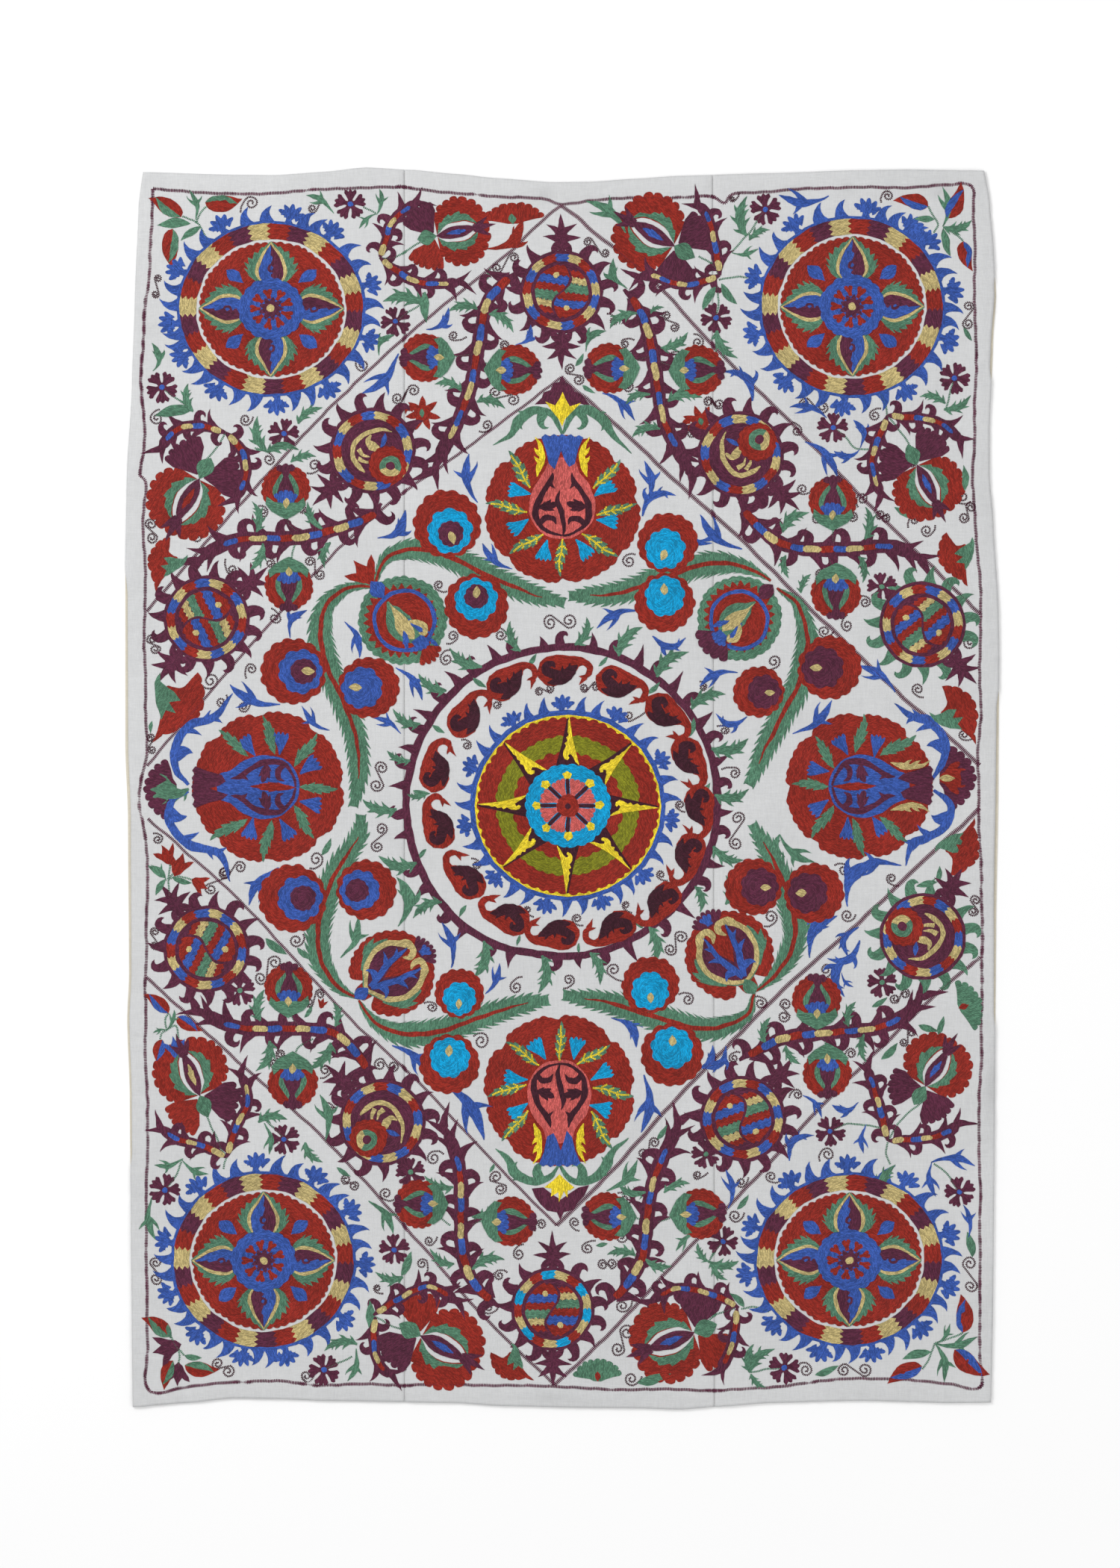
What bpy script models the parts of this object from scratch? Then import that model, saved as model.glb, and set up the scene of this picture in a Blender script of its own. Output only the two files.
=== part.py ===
"""A suzani: three strips of hand-woven ground cloth sewn side by side over a lining, lying flat, face up.

The cloth lies in the XY plane with its long side along Y, its top edge towards +Y and +Z up out of its face.
The origin is under its middle, on the surface that it rests on. The embroidered field holds the strips flat.
The bare margins round it are longer than the field, so they puff up between short creases.
"""

from collections import namedtuple

import bmesh
import bpy
import numpy as np

# Thicknesses, in metres like every size here
GROUND_THICKNESS = 0.0015
LINING_THICKNESS = 0.0010
CLEARANCE = 0.0003

# The rim of each sheet is rounded by this much, and the turned hem makes the outer rim this much thicker
RIM_ROUND = 0.0004
HEM_THICKENING = 0.0006
HEM_WIDTH = 0.008

# The bare margin puffs up by this much between creases, and lies flat again this far in from the edge
MARGIN_PUFF = 0.0022
MARGIN_REACH = 0.048
EDGE_REST = 0.35

# How far the lining keeps inside the ground where it is hidden
LINING_TUCK = 0.005

# Across the strips, mesh lines lie this far in from an outer edge or a seam, then no more than FIELD_STEP apart
MARGIN_LINES = (0.0, 0.003, 0.009, 0.018, 0.032, 0.05)
SEAM_LINES = (0.0, 0.004)
FIELD_STEP = 0.12
CLOSEST_LINES = 0.0035

EdgePoint = namedtuple("EdgePoint", "along out")
Crease = namedtuple("Crease", "along depth half_width")
Showing = namedtuple("Showing", "along width")

# The outline of the whole cloth: out is x on the sides and y on the top and bottom edges
LEFT_EDGE = (
    EdgePoint(-0.9936, -0.6900),
    EdgePoint(-0.8808, -0.6912),
    EdgePoint(-0.7008, -0.6930),
    EdgePoint(-0.4968, -0.6948),
    EdgePoint(-0.3768, -0.6990),
    EdgePoint(-0.3048, -0.6960),
    EdgePoint(-0.0528, -0.6978),
    EdgePoint(0.0552, -0.7020),
    EdgePoint(0.3432, -0.7020),
    EdgePoint(0.4872, -0.6996),
    EdgePoint(0.6312, -0.6912),
    EdgePoint(0.7752, -0.6864),
    EdgePoint(0.9192, -0.6804),
    EdgePoint(0.9888, -0.6720),
)
RIGHT_EDGE = (
    EdgePoint(-0.9864, 0.6888),
    EdgePoint(-0.9528, 0.6900),
    EdgePoint(-0.8088, 0.6924),
    EdgePoint(-0.5208, 0.6948),
    EdgePoint(-0.2328, 0.6972),
    EdgePoint(-0.0168, 0.7008),
    EdgePoint(0.1992, 0.7020),
    EdgePoint(0.2712, 0.7008),
    EdgePoint(0.4152, 0.6924),
    EdgePoint(0.4872, 0.6864),
    EdgePoint(0.5592, 0.6864),
    EdgePoint(0.7032, 0.6924),
    EdgePoint(0.7752, 0.6972),
    EdgePoint(0.8472, 0.6930),
    EdgePoint(0.9192, 0.6870),
    EdgePoint(0.9912, 0.6756),
)
TOP_EDGE = (
    EdgePoint(-0.6720, 0.9900),
    EdgePoint(-0.5316, 0.9858),
    EdgePoint(-0.4596, 0.9852),
    EdgePoint(-0.3876, 0.9900),
    EdgePoint(-0.3156, 0.9975),
    EdgePoint(-0.2436, 0.9936),
    EdgePoint(-0.1716, 0.9870),
    EdgePoint(-0.0996, 0.9798),
    EdgePoint(-0.0156, 0.9738),
    EdgePoint(0.0444, 0.9744),
    EdgePoint(0.1164, 0.9792),
    EdgePoint(0.1884, 0.9840),
    EdgePoint(0.3324, 0.9882),
    EdgePoint(0.4764, 0.9930),
    EdgePoint(0.5484, 0.9942),
    EdgePoint(0.6756, 0.9924),
)
BOTTOM_EDGE = (
    EdgePoint(-0.6900, -0.9936),
    EdgePoint(-0.6036, -0.9870),
    EdgePoint(-0.5316, -0.9798),
    EdgePoint(-0.4596, -0.9804),
    EdgePoint(-0.3876, -0.9834),
    EdgePoint(-0.1716, -0.9870),
    EdgePoint(-0.0996, -0.9918),
    EdgePoint(0.0444, -0.9948),
    EdgePoint(0.1164, -0.9954),
    EdgePoint(0.1884, -0.9975),
    EdgePoint(0.2604, -0.9924),
    EdgePoint(0.3324, -0.9870),
    EdgePoint(0.4764, -0.9834),
    EdgePoint(0.6204, -0.9870),
    EdgePoint(0.6888, -0.9864),
)

# The seams between the strips are straight, and lean a little: x at mid height, and how far x moves for each metre up
LEFT_SEAM_X = -0.2535
LEFT_SEAM_LEAN = 0.0
RIGHT_SEAM_X = 0.2432
RIGHT_SEAM_LEAN = -0.0014

# Creases across the margins: along is y on the sides and x on the top and bottom edges
LEFT_CREASES = (
    Crease(-0.907, 0.6, 0.006),
    Crease(-0.779, 0.6, 0.005),
    Crease(-0.739, 0.5, 0.005),
    Crease(-0.661, 1.0, 0.008),
    Crease(-0.605, 0.5, 0.005),
    Crease(-0.553, 0.6, 0.005),
    Crease(-0.491, 1.0, 0.008),
    Crease(-0.401, 0.6, 0.005),
    Crease(-0.323, 1.0, 0.008),
    Crease(-0.241, 0.6, 0.005),
    Crease(-0.209, 0.5, 0.005),
    Crease(-0.151, 0.6, 0.005),
    Crease(-0.085, 0.6, 0.005),
    Crease(-0.005, 1.0, 0.008),
    Crease(0.073, 0.6, 0.005),
    Crease(0.179, 0.6, 0.006),
    Crease(0.253, 0.6, 0.005),
    Crease(0.311, 0.6, 0.005),
    Crease(0.401, 0.6, 0.006),
    Crease(0.469, 0.5, 0.005),
    Crease(0.503, 1.0, 0.008),
    Crease(0.690, 0.4, 0.012),
    Crease(0.871, 0.4, 0.012),
)
RIGHT_CREASES = (
    Crease(-0.941, 0.5, 0.005),
    Crease(-0.905, 0.5, 0.005),
    Crease(-0.833, 0.6, 0.006),
    Crease(-0.773, 0.6, 0.005),
    Crease(-0.691, 0.6, 0.006),
    Crease(-0.569, 0.6, 0.005),
    Crease(-0.509, 1.0, 0.008),
    Crease(-0.317, 0.6, 0.005),
    Crease(-0.277, 0.6, 0.005),
    Crease(-0.157, 0.6, 0.006),
    Crease(-0.083, 0.6, 0.005),
    Crease(-0.031, 0.5, 0.005),
    Crease(0.001, 1.0, 0.006),
    Crease(0.073, 1.0, 0.008),
    Crease(0.127, 0.6, 0.005),
    Crease(0.181, 0.6, 0.005),
    Crease(0.271, 0.5, 0.005),
    Crease(0.307, 0.6, 0.005),
    Crease(0.391, 0.6, 0.006),
    Crease(0.479, 1.0, 0.008),
    Crease(0.583, 0.6, 0.006),
    Crease(0.715, 0.6, 0.006),
    Crease(0.799, 0.5, 0.005),
    Crease(0.829, 1.0, 0.007),
    Crease(0.923, 0.6, 0.006),
)
TOP_CREASES = (
    Crease(-0.522, 0.9, 0.007),
    Crease(-0.409, 0.9, 0.007),
    Crease(-0.254, 1.0, 0.006),
    Crease(-0.137, 0.7, 0.005),
    Crease(0.056, 0.4, 0.012),
    Crease(0.194, 0.7, 0.007),
    Crease(0.243, 1.0, 0.006),
    Crease(0.398, 0.5, 0.009),
    Crease(0.536, 0.5, 0.009),
)
BOTTOM_CREASES = (
    Crease(-0.604, 0.5, 0.009),
    Crease(-0.514, 0.9, 0.007),
    Crease(-0.407, 0.9, 0.007),
    Crease(-0.254, 1.0, 0.006),
    Crease(-0.064, 0.5, 0.010),
    Crease(0.080, 0.5, 0.010),
    Crease(0.244, 1.0, 0.006),
    Crease(0.398, 0.8, 0.006),
    Crease(0.439, 0.8, 0.006),
    Crease(0.572, 0.5, 0.009),
)

# How far the lining reaches past the ground's hem on each side, by y
HIDDEN = -LINING_TUCK
LEFT_LINING = (
    Showing(-0.640, HIDDEN),
    Showing(-0.590, 0.003),
    Showing(-0.300, 0.004),
    Showing(0.000, 0.005),
    Showing(0.300, 0.004),
    Showing(0.380, HIDDEN),
)
RIGHT_LINING = (
    Showing(-0.430, HIDDEN),
    Showing(-0.370, 0.003),
    Showing(-0.100, 0.005),
    Showing(0.120, 0.004),
    Showing(0.175, HIDDEN),
    Showing(0.610, HIDDEN),
    Showing(0.660, 0.004),
    Showing(0.790, 0.003),
    Showing(0.830, HIDDEN),
)

# Colours in linear light
GROUND_COLOUR = (0.60, 0.60, 0.59)
LINING_COLOUR = (0.74, 0.68, 0.56)
CLOTH_ROUGHNESS = 0.92


def remove_everything():
    """Empty the scene."""
    for thing in list(bpy.data.objects):
        bpy.data.objects.remove(thing)


def smooth_step(share):
    """Ease from 0 to 1 as share goes from 0 to 1."""
    share = min(max(share, 0.0), 1.0)
    return share * share * (3.0 - 2.0 * share)


def follow(points, along):
    """Read a table of (along, value) rows at one place, with an eased step from each row to the next."""
    if along <= points[0][0]:
        return points[0][1]
    for low, high in zip(points, points[1:]):
        if along <= high[0]:
            share = (along - low[0]) / (high[0] - low[0])
            eased = 0.5 * share + 0.5 * smooth_step(share)
            return low[1] + (high[1] - low[1]) * eased
    return points[-1][1]


def left_ground(y):
    """Where the left strip's hem lies."""
    return follow(LEFT_EDGE, y) + max(follow(LEFT_LINING, y), 0.0)


def right_ground(y):
    """Where the right strip's hem lies."""
    return follow(RIGHT_EDGE, y) - max(follow(RIGHT_LINING, y), 0.0)


def left_lining(y):
    """Where the lining's left edge lies."""
    return follow(LEFT_EDGE, y) - min(follow(LEFT_LINING, y), 0.0)


def right_lining(y):
    """Where the lining's right edge lies."""
    return follow(RIGHT_EDGE, y) + min(follow(RIGHT_LINING, y), 0.0)


def left_seam(y):
    """The seam between the left and middle strips."""
    return LEFT_SEAM_X + LEFT_SEAM_LEAN * y


def right_seam(y):
    """The seam between the middle and right strips."""
    return RIGHT_SEAM_X + RIGHT_SEAM_LEAN * y


def top_ground(x):
    """Where the hem at the top lies."""
    return follow(TOP_EDGE, x)


def bottom_ground(x):
    """Where the hem at the bottom lies."""
    return follow(BOTTOM_EDGE, x)


def margin_lift(inward, along, creases):
    """How high one margin puffs up, by the distance in from its edge and the creases that cross it."""
    if inward >= MARGIN_REACH:
        return 0.0
    inner_fade = 1.0 - smooth_step(inward / MARGIN_REACH)
    edge_rise = EDGE_REST + (1.0 - EDGE_REST) * smooth_step(inward / (0.4 * MARGIN_REACH))
    lift = MARGIN_PUFF * inner_fade * edge_rise
    for crease in creases:
        away = (along - crease.along) / crease.half_width
        lift *= 1.0 - crease.depth * np.exp(-away * away)
    return lift


def ground_lift(x, y):
    """How high the ground cloth stands above its flat lie at one place."""
    return max(
        margin_lift(x - left_ground(y), y, LEFT_CREASES),
        margin_lift(right_ground(y) - x, y, RIGHT_CREASES),
        margin_lift(top_ground(x) - y, x, TOP_CREASES),
        margin_lift(y - bottom_ground(x), x, BOTTOM_CREASES),
    )


def thinned(values):
    """Sort values and drop each that lies too close to the one before it, but keep both ends."""
    ordered = sorted(values)
    kept = [ordered[0]]
    for value in ordered[1:-1]:
        if value - kept[-1] >= CLOSEST_LINES and ordered[-1] - value >= CLOSEST_LINES:
            kept.append(value)
    return kept + [ordered[-1]]


def filled(values, step):
    """Add values so that no two neighbours lie more than step apart."""
    out = [values[0]]
    for value in values[1:]:
        parts = int(np.ceil((value - out[-1]) / step))
        out.extend(np.linspace(out[-1], value, parts + 1)[1:])
    return out


def mesh_lines(low, high, low_lines, high_lines, creases):
    """Places of mesh lines from low to high: close to each end, at each crease, and filled in between."""
    lines = [low + line for line in low_lines] + [high - line for line in high_lines]
    crease_lines = []
    for crease in creases:
        for side in (-1.0, 0.0, 1.0):
            crease_lines.append(crease.along + side * 1.3 * crease.half_width)
    lines += [line for line in crease_lines if low + low_lines[-1] < line < high - high_lines[-1]]
    return filled(thinned(lines), FIELD_STEP)


def share_of(values):
    """Turn places along a side into shares of its length."""
    return [(value - values[0]) / (values[-1] - values[0]) for value in values]


def make_sheet(name, columns, rows, place, thickness, material):
    """Build one closed sheet: a grid whose points place() sets, extruded down by the thickness."""
    shape = bmesh.new()
    bmesh.ops.create_grid(shape, x_segments=len(columns) - 1, y_segments=len(rows) - 1, size=0.5)
    for vert in shape.verts:
        column = round((vert.co.x + 0.5) * (len(columns) - 1))
        row = round((vert.co.y + 0.5) * (len(rows) - 1))
        vert.co = place(columns[column], rows[row])
    rim = {vert for vert in shape.verts if vert.is_boundary}
    top_faces = list(shape.faces)
    extruded = bmesh.ops.extrude_face_region(shape, geom=top_faces, use_keep_orig=True)
    lower = [item for item in extruded["geom"] if isinstance(item, bmesh.types.BMVert)]
    bmesh.ops.translate(shape, verts=lower, vec=(0.0, 0.0, -thickness))
    for vert in lower:
        if any(len(edge.link_faces) == 2 and edge.other_vert(vert) in rim for edge in vert.link_edges):
            vert.co.z += RIM_ROUND
    for vert in rim:
        vert.co.z -= RIM_ROUND
    bmesh.ops.recalc_face_normals(shape, faces=shape.faces)
    bmesh.ops.dissolve_limit(
        shape, angle_limit=0.002, verts=shape.verts, edges=shape.edges, use_dissolve_boundaries=False
    )
    bmesh.ops.triangulate(shape, faces=shape.faces)
    mesh = bpy.data.meshes.new(name)
    shape.to_mesh(mesh)
    shape.free()
    mesh.materials.append(material)
    sheet = bpy.data.objects.new(name, mesh)
    bpy.context.scene.collection.objects.link(sheet)
    return sheet


def cloth_material(name, colour):
    """A plain woven finish."""
    material = bpy.data.materials.new(name)
    material.use_nodes = True
    shader = material.node_tree.nodes["Principled BSDF"]
    shader.inputs["Base Color"].default_value = (*colour, 1.0)
    shader.inputs["Roughness"].default_value = CLOTH_ROUGHNESS
    shader.inputs["Metallic"].default_value = 0.0
    return material


def make_strip(name, left, right, left_is_hem, right_is_hem, material):
    """Build one strip of the ground between the two lines left(y) and right(y)."""
    half_gap = CLEARANCE / 2.0
    left_start = left(0.0) + (0.0 if left_is_hem else half_gap)
    right_end = right(0.0) - (0.0 if right_is_hem else half_gap)
    columns = share_of(
        mesh_lines(
            left_start,
            right_end,
            MARGIN_LINES if left_is_hem else SEAM_LINES,
            MARGIN_LINES if right_is_hem else SEAM_LINES,
            TOP_CREASES + BOTTOM_CREASES,
        )
    )
    side_creases = (LEFT_CREASES if left_is_hem else ()) + (RIGHT_CREASES if right_is_hem else ())
    rows = share_of(mesh_lines(bottom_ground(0.0), top_ground(0.0), MARGIN_LINES, MARGIN_LINES, side_creases))
    base = LINING_THICKNESS + CLEARANCE

    def place(across, up):
        """One point of the upper face."""
        rough_y = bottom_ground(0.0) + up * (top_ground(0.0) - bottom_ground(0.0))
        start = left(rough_y) + (0.0 if left_is_hem else half_gap)
        end = right(rough_y) - (0.0 if right_is_hem else half_gap)
        x = start + across * (end - start)
        y = bottom_ground(x) + up * (top_ground(x) - bottom_ground(x))
        to_hem = min(
            x - start if left_is_hem else 1.0,
            end - x if right_is_hem else 1.0,
            y - bottom_ground(x),
            top_ground(x) - y,
        )
        hem = HEM_THICKENING * (1.0 - smooth_step(to_hem / HEM_WIDTH))
        return (x, y, base + GROUND_THICKNESS + hem + ground_lift(x, y))

    return make_sheet(name, columns, rows, place, GROUND_THICKNESS, material)


def make_lining(material):
    """Build the lining: one flat sheet under the three strips, tucked in at the top and bottom."""
    low = bottom_ground(0.0) + LINING_TUCK
    high = top_ground(0.0) - LINING_TUCK
    row_places = [low, high] + [
        point.along for point in LEFT_EDGE + RIGHT_EDGE + LEFT_LINING + RIGHT_LINING if low < point.along < high
    ]
    rows = share_of(filled(thinned(row_places), FIELD_STEP))
    column_places = [left_lining(0.0), right_lining(0.0)] + [
        point.along for point in TOP_EDGE + BOTTOM_EDGE if left_lining(0.0) < point.along < right_lining(0.0)
    ]
    columns = share_of(filled(thinned(column_places), FIELD_STEP))

    def place(across, up):
        """One point of the upper face."""
        rough_y = low + up * (high - low)
        start = left_lining(rough_y)
        x = start + across * (right_lining(rough_y) - start)
        bottom = bottom_ground(x) + LINING_TUCK
        y = bottom + up * (top_ground(x) - LINING_TUCK - bottom)
        return (x, y, LINING_THICKNESS)

    return make_sheet("lining", columns, rows, place, LINING_THICKNESS, material)


def build():
    """Make the whole cloth."""
    remove_everything()
    ground = cloth_material("ground_cloth", GROUND_COLOUR)
    backing = cloth_material("lining_cloth", LINING_COLOUR)
    make_strip("panel_left", left_ground, left_seam, True, False, ground)
    make_strip("panel_middle", left_seam, right_seam, False, False, ground)
    make_strip("panel_right", right_seam, right_ground, False, True, ground)
    make_lining(backing)


build()
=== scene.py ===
"""The looks of a suzani: stitched motifs in ten threads on three strips of ground cloth and a lining.

Places on the cloth are charted in steps of 1.2 mm. A chart place is (across, down), from the chart's upper
left corner. A motif is drawn in its own steps, with x to its right and y up, and a Place puts it on the
chart.
"""

import logging
import math
from dataclasses import dataclass, field, replace
from enum import Enum
from typing import Callable, Optional, Sequence

import bmesh
import bpy
import numpy as np
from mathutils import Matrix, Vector


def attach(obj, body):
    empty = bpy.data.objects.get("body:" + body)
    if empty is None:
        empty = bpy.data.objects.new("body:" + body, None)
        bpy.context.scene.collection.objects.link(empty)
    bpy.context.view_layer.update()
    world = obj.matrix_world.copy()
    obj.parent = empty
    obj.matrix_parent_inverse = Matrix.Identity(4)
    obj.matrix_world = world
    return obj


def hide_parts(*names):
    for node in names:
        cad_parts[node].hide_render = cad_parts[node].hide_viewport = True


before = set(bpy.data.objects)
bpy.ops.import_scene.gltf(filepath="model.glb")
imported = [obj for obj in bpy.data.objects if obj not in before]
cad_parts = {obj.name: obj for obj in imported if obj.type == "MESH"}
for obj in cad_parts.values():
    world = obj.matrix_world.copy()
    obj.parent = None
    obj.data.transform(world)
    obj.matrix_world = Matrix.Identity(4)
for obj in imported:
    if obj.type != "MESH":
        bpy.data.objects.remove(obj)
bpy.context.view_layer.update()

LOG = logging.getLogger("suzani")

Points = np.ndarray
Pair = tuple[float, float]

CHART_STEP = 0.0012
CHART_MIDDLE = (753.0, 1056.0)

# Heights above the surface that the cloth rests on, in metres
GROUND_TOP = 0.0028
THREAD_RISE = 0.0005
LAYER_RISE = 0.00016
THREAD_SINK = 0.0002
SPREAD_STEP = 0.0000025
SPREAD_COUNT = 29

# One link of a chain: its length and height, the share of it that shows, how far it looks along its line for
# its direction, and its corners as shares of its length and width
LINK_LENGTH = 0.0030
LINK_RISE = 0.0010
LINK_SHARE = 0.86
LINK_AIM = 0.0004
LINK_CORNERS = ((0.5, 0.0), (0.26, 0.5), (-0.26, 0.5), (-0.5, 0.0), (-0.26, -0.5), (0.26, -0.5))


class Thread(Enum):
    """The threads, by the record's slots."""

    RED = "red_silk"
    PLUM = "plum_silk"
    DARK = "dark_silk"
    BLUE = "blue_silk"
    TURQUOISE = "turquoise_silk"
    GREEN = "green_silk"
    KHAKI = "khaki_silk"
    YELLOW = "yellow_silk"
    SALMON = "salmon_silk"
    OLIVE = "olive_silk"


RED, PLUM, DARK, BLUE, TURQUOISE, GREEN, KHAKI, YELLOW, SALMON, OLIVE = Thread


# The first direction of a spine in degrees, and how finely a leaf is drawn
UPWARDS = 90.0
PLAIN_STEPS = 16
TOOTH_STEPS = 6


def turned(points: Points, degrees: float) -> Points:
    """Turn points anticlockwise about the origin.

    Args:
        points: places in a motif's own steps.
        degrees: the turn.

    Returns:
        The turned places.
    """
    angle = math.radians(degrees)
    spin = np.array([[math.cos(angle), math.sin(angle)], [-math.sin(angle), math.cos(angle)]])
    return points @ spin


@dataclass(frozen=True)
class Place:
    """Where a motif is sewn: it carries the motif's own steps to chart places."""

    matrix: Points

    @staticmethod
    def local(x: float, y: float, turn: float, size: float, squash: float, flip: bool) -> Points:
        """The matrix of one placing.

        Args:
            x: the motif's middle, to the right.
            y: the motif's middle, up.
            turn: the turn anticlockwise, in degrees.
            size: the scale.
            squash: the height over the width, before the turn.
            flip: whether the motif is mirrored left to right before the turn.

        Returns:
            A 3 by 3 matrix.
        """
        angle = math.radians(turn)
        wide = -size if flip else size
        tall = size * squash
        return np.array(
            [
                [wide * math.cos(angle), -tall * math.sin(angle), x],
                [wide * math.sin(angle), tall * math.cos(angle), y],
                [0.0, 0.0, 1.0],
            ]
        )

    @classmethod
    def at(
        cls,
        across: float,
        down: float,
        turn: float = 0.0,
        size: float = 1.0,
        squash: float = 1.0,
        flip: bool = False,
    ) -> "Place":
        """A place on the chart.

        Args:
            across: chart steps from the left.
            down: chart steps from the top.
            turn: the turn anticlockwise, in degrees.
            size: the scale.
            squash: the height over the width, before the turn.
            flip: whether the motif is mirrored.

        Returns:
            The place.
        """
        return cls(cls.local(across, -down, turn, size, squash, flip))

    @classmethod
    def span(
        cls,
        across: float,
        down: float,
        to_across: float,
        to_down: float,
        flip: bool = False,
        length: float = 100.0,
    ) -> "Place":
        """A place that runs from one chart place to another.

        Args:
            across: where the motif's origin lies.
            down: the same, downwards.
            to_across: where the end of its y lies.
            to_down: the same, downwards.
            flip: whether the motif is mirrored.
            length: how long the motif is in its own steps.

        Returns:
            The place.
        """
        turn = math.degrees(math.atan2(down - to_down, to_across - across)) - 90.0
        size = math.hypot(to_across - across, to_down - down) / length
        return cls.at(across, down, turn, size, 1.0, flip)

    def spot(
        self,
        x: float,
        y: float,
        turn: float = 0.0,
        size: float = 1.0,
        squash: float = 1.0,
        flip: bool = False,
    ) -> "Place":
        """A place inside this one.

        Args:
            x: this motif's own steps to the right.
            y: this motif's own steps up.
            turn: the turn anticlockwise, in degrees.
            size: the scale.
            squash: the height over the width, before the turn.
            flip: whether the inner motif is mirrored.

        Returns:
            The inner place.
        """
        return Place(self.matrix @ self.local(x, y, turn, size, squash, flip))

    def mirrored(self, flip: bool) -> "Place":
        """This place, or its mirror image left to right."""
        return self.spot(0.0, 0.0, 0.0, 1.0, 1.0, flip)

    def around(self, radius: float, degrees: float, turn: float = 0.0, size: float = 1.0) -> "Place":
        """A place on a circle about this one, whose y points outwards.

        Args:
            radius: the circle's radius.
            degrees: where on the circle, anticlockwise from the right.
            turn: a further turn.
            size: the scale.

        Returns:
            The inner place.
        """
        x, y = polar(radius, degrees)
        return self.spot(x, y, degrees - 90.0 + turn, size)

    def carry(self, points: Points) -> Points:
        """Carry points to the chart, with y still up.

        Args:
            points: places in the motif's own steps.

        Returns:
            Chart places, with down as minus y.
        """
        return points @ self.matrix[:2, :2].T + self.matrix[:2, 2]


def polar(radius: float, degrees: float) -> Pair:
    """A point by its distance and direction.

    Args:
        radius: the distance.
        degrees: the direction, anticlockwise from the right.

    Returns:
        Its x and y.
    """
    return radius * math.cos(math.radians(degrees)), radius * math.sin(math.radians(degrees))


def round_line(radii: Points, degrees: Points) -> Points:
    """Points by their distances and directions.

    Args:
        radii: one distance for all, or one for each.
        degrees: the directions.

    Returns:
        The points.
    """
    angles = np.radians(degrees)
    return np.stack([radii * np.cos(angles), radii * np.sin(angles)], axis=1)


def disc(radius: float, lobes: int = 0, depth: float = 0.0, phase: float = 0.0) -> Points:
    """A round outline with rounded lobes, or a plain circle.

    Args:
        radius: its radius to the tops of the lobes.
        lobes: how many lobes go round.
        depth: how deep the notches between them are.
        phase: a turn in degrees.

    Returns:
        The outline.
    """
    count = max(28, lobes * 7)
    degrees = np.linspace(0.0, 360.0, count, endpoint=False)
    notch = 1.0 - np.sqrt(np.abs(np.cos(np.radians(degrees) * lobes / 2.0)))
    return round_line(radius - depth * notch, degrees + phase)


def star(outer: float, inner: float, points: int, phase: float = 90.0, sharp: float = 1.0) -> Points:
    """A star with straight or hollow sides.

    Args:
        outer: the radius of its tips.
        inner: the radius of its notches.
        points: how many tips it has.
        phase: where the first tip points.
        sharp: above 1 for hollow sides, below 1 for full ones.

    Returns:
        The outline.
    """
    degrees = np.linspace(0.0, 360.0, points * 10, endpoint=False)
    wave = np.abs((degrees * points / 360.0) % 1.0 * 2.0 - 1.0) ** sharp
    return round_line(inner + (outer - inner) * wave, degrees + phase)


def fan(
    radius: float,
    lobes: int,
    depth: float,
    spread: float,
    pointed: bool = False,
    waist: float = 0.0,
    foot: float = 0.0,
) -> Points:
    """A fan that opens upwards from its foot.

    Args:
        radius: from the foot to the tops of the lobes.
        lobes: how many lobes its rim has.
        depth: how deep the notches between the lobes are.
        spread: its opening angle in degrees.
        pointed: whether the lobes are pointed and not round.
        waist: how far its sides are drawn in, as a share of the radius.
        foot: half the width of its foot.

    Returns:
        The outline.
    """
    share = np.linspace(0.0, 1.0, max(lobes * 8, 12) + 1)
    wave = np.abs(np.sin(share * lobes * math.pi))
    shape = wave**1.3 if pointed else np.sqrt(wave)
    rim = round_line(radius - depth * (1.0 - shape), 90.0 + spread * (0.5 - share))
    half = math.radians(spread / 2.0)
    side_share = np.array([0.35, 0.65])
    pull = 1.0 - waist * np.array([1.0, 0.7])
    right_x = radius * math.sin(half) * side_share * pull
    side_y = radius * math.cos(half) * side_share
    left = np.stack([-np.maximum(right_x, foot), side_y], axis=1)
    right = np.stack([np.maximum(right_x, foot), side_y], axis=1)[::-1]
    return np.concatenate([[(-foot, 0.0)], left, rim, right, [(foot, 0.0)]])


def spine(length: float, bends: Sequence[float] = (0.0,), steps: int = 24) -> Points:
    """A bending line from the origin, upwards at first.

    Args:
        length: its length.
        bends: how many degrees it turns left over each equal share of its length.
        steps: how many points it has, less one.

    Returns:
        The points along it.
    """
    share = (np.arange(steps) + 0.5) / steps
    knots = np.linspace(0.0, 1.0, len(bends) + 1)
    totals = np.concatenate([[0.0], np.cumsum(bends)])
    angles = np.radians(UPWARDS + np.interp(share, knots, totals))
    moves = np.stack([np.cos(angles), np.sin(angles)], axis=1) * (length / steps)
    return np.concatenate([[(0.0, 0.0)], np.cumsum(moves, axis=0)])


def smooth_path(points: Sequence[Pair], steps: int = 8) -> Points:
    """A smooth line through points.

    Args:
        points: the places it passes.
        steps: how many points each stretch gets.

    Returns:
        The points along it.
    """
    knots = np.array(points, float)
    padded = np.concatenate([[2 * knots[0] - knots[1]], knots, [2 * knots[-1] - knots[-2]]])
    out = []
    for before, start, end, after in zip(padded, padded[1:], padded[2:], padded[3:]):
        for share in np.arange(steps) / steps:
            out.append(
                0.5
                * (
                    2 * start
                    + (end - before) * share
                    + (2 * before - 5 * start + 4 * end - after) * share**2
                    + (3 * start - before - 3 * end + after) * share**3
                )
            )
    out.append(knots[-1])
    return np.array(out)


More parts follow.
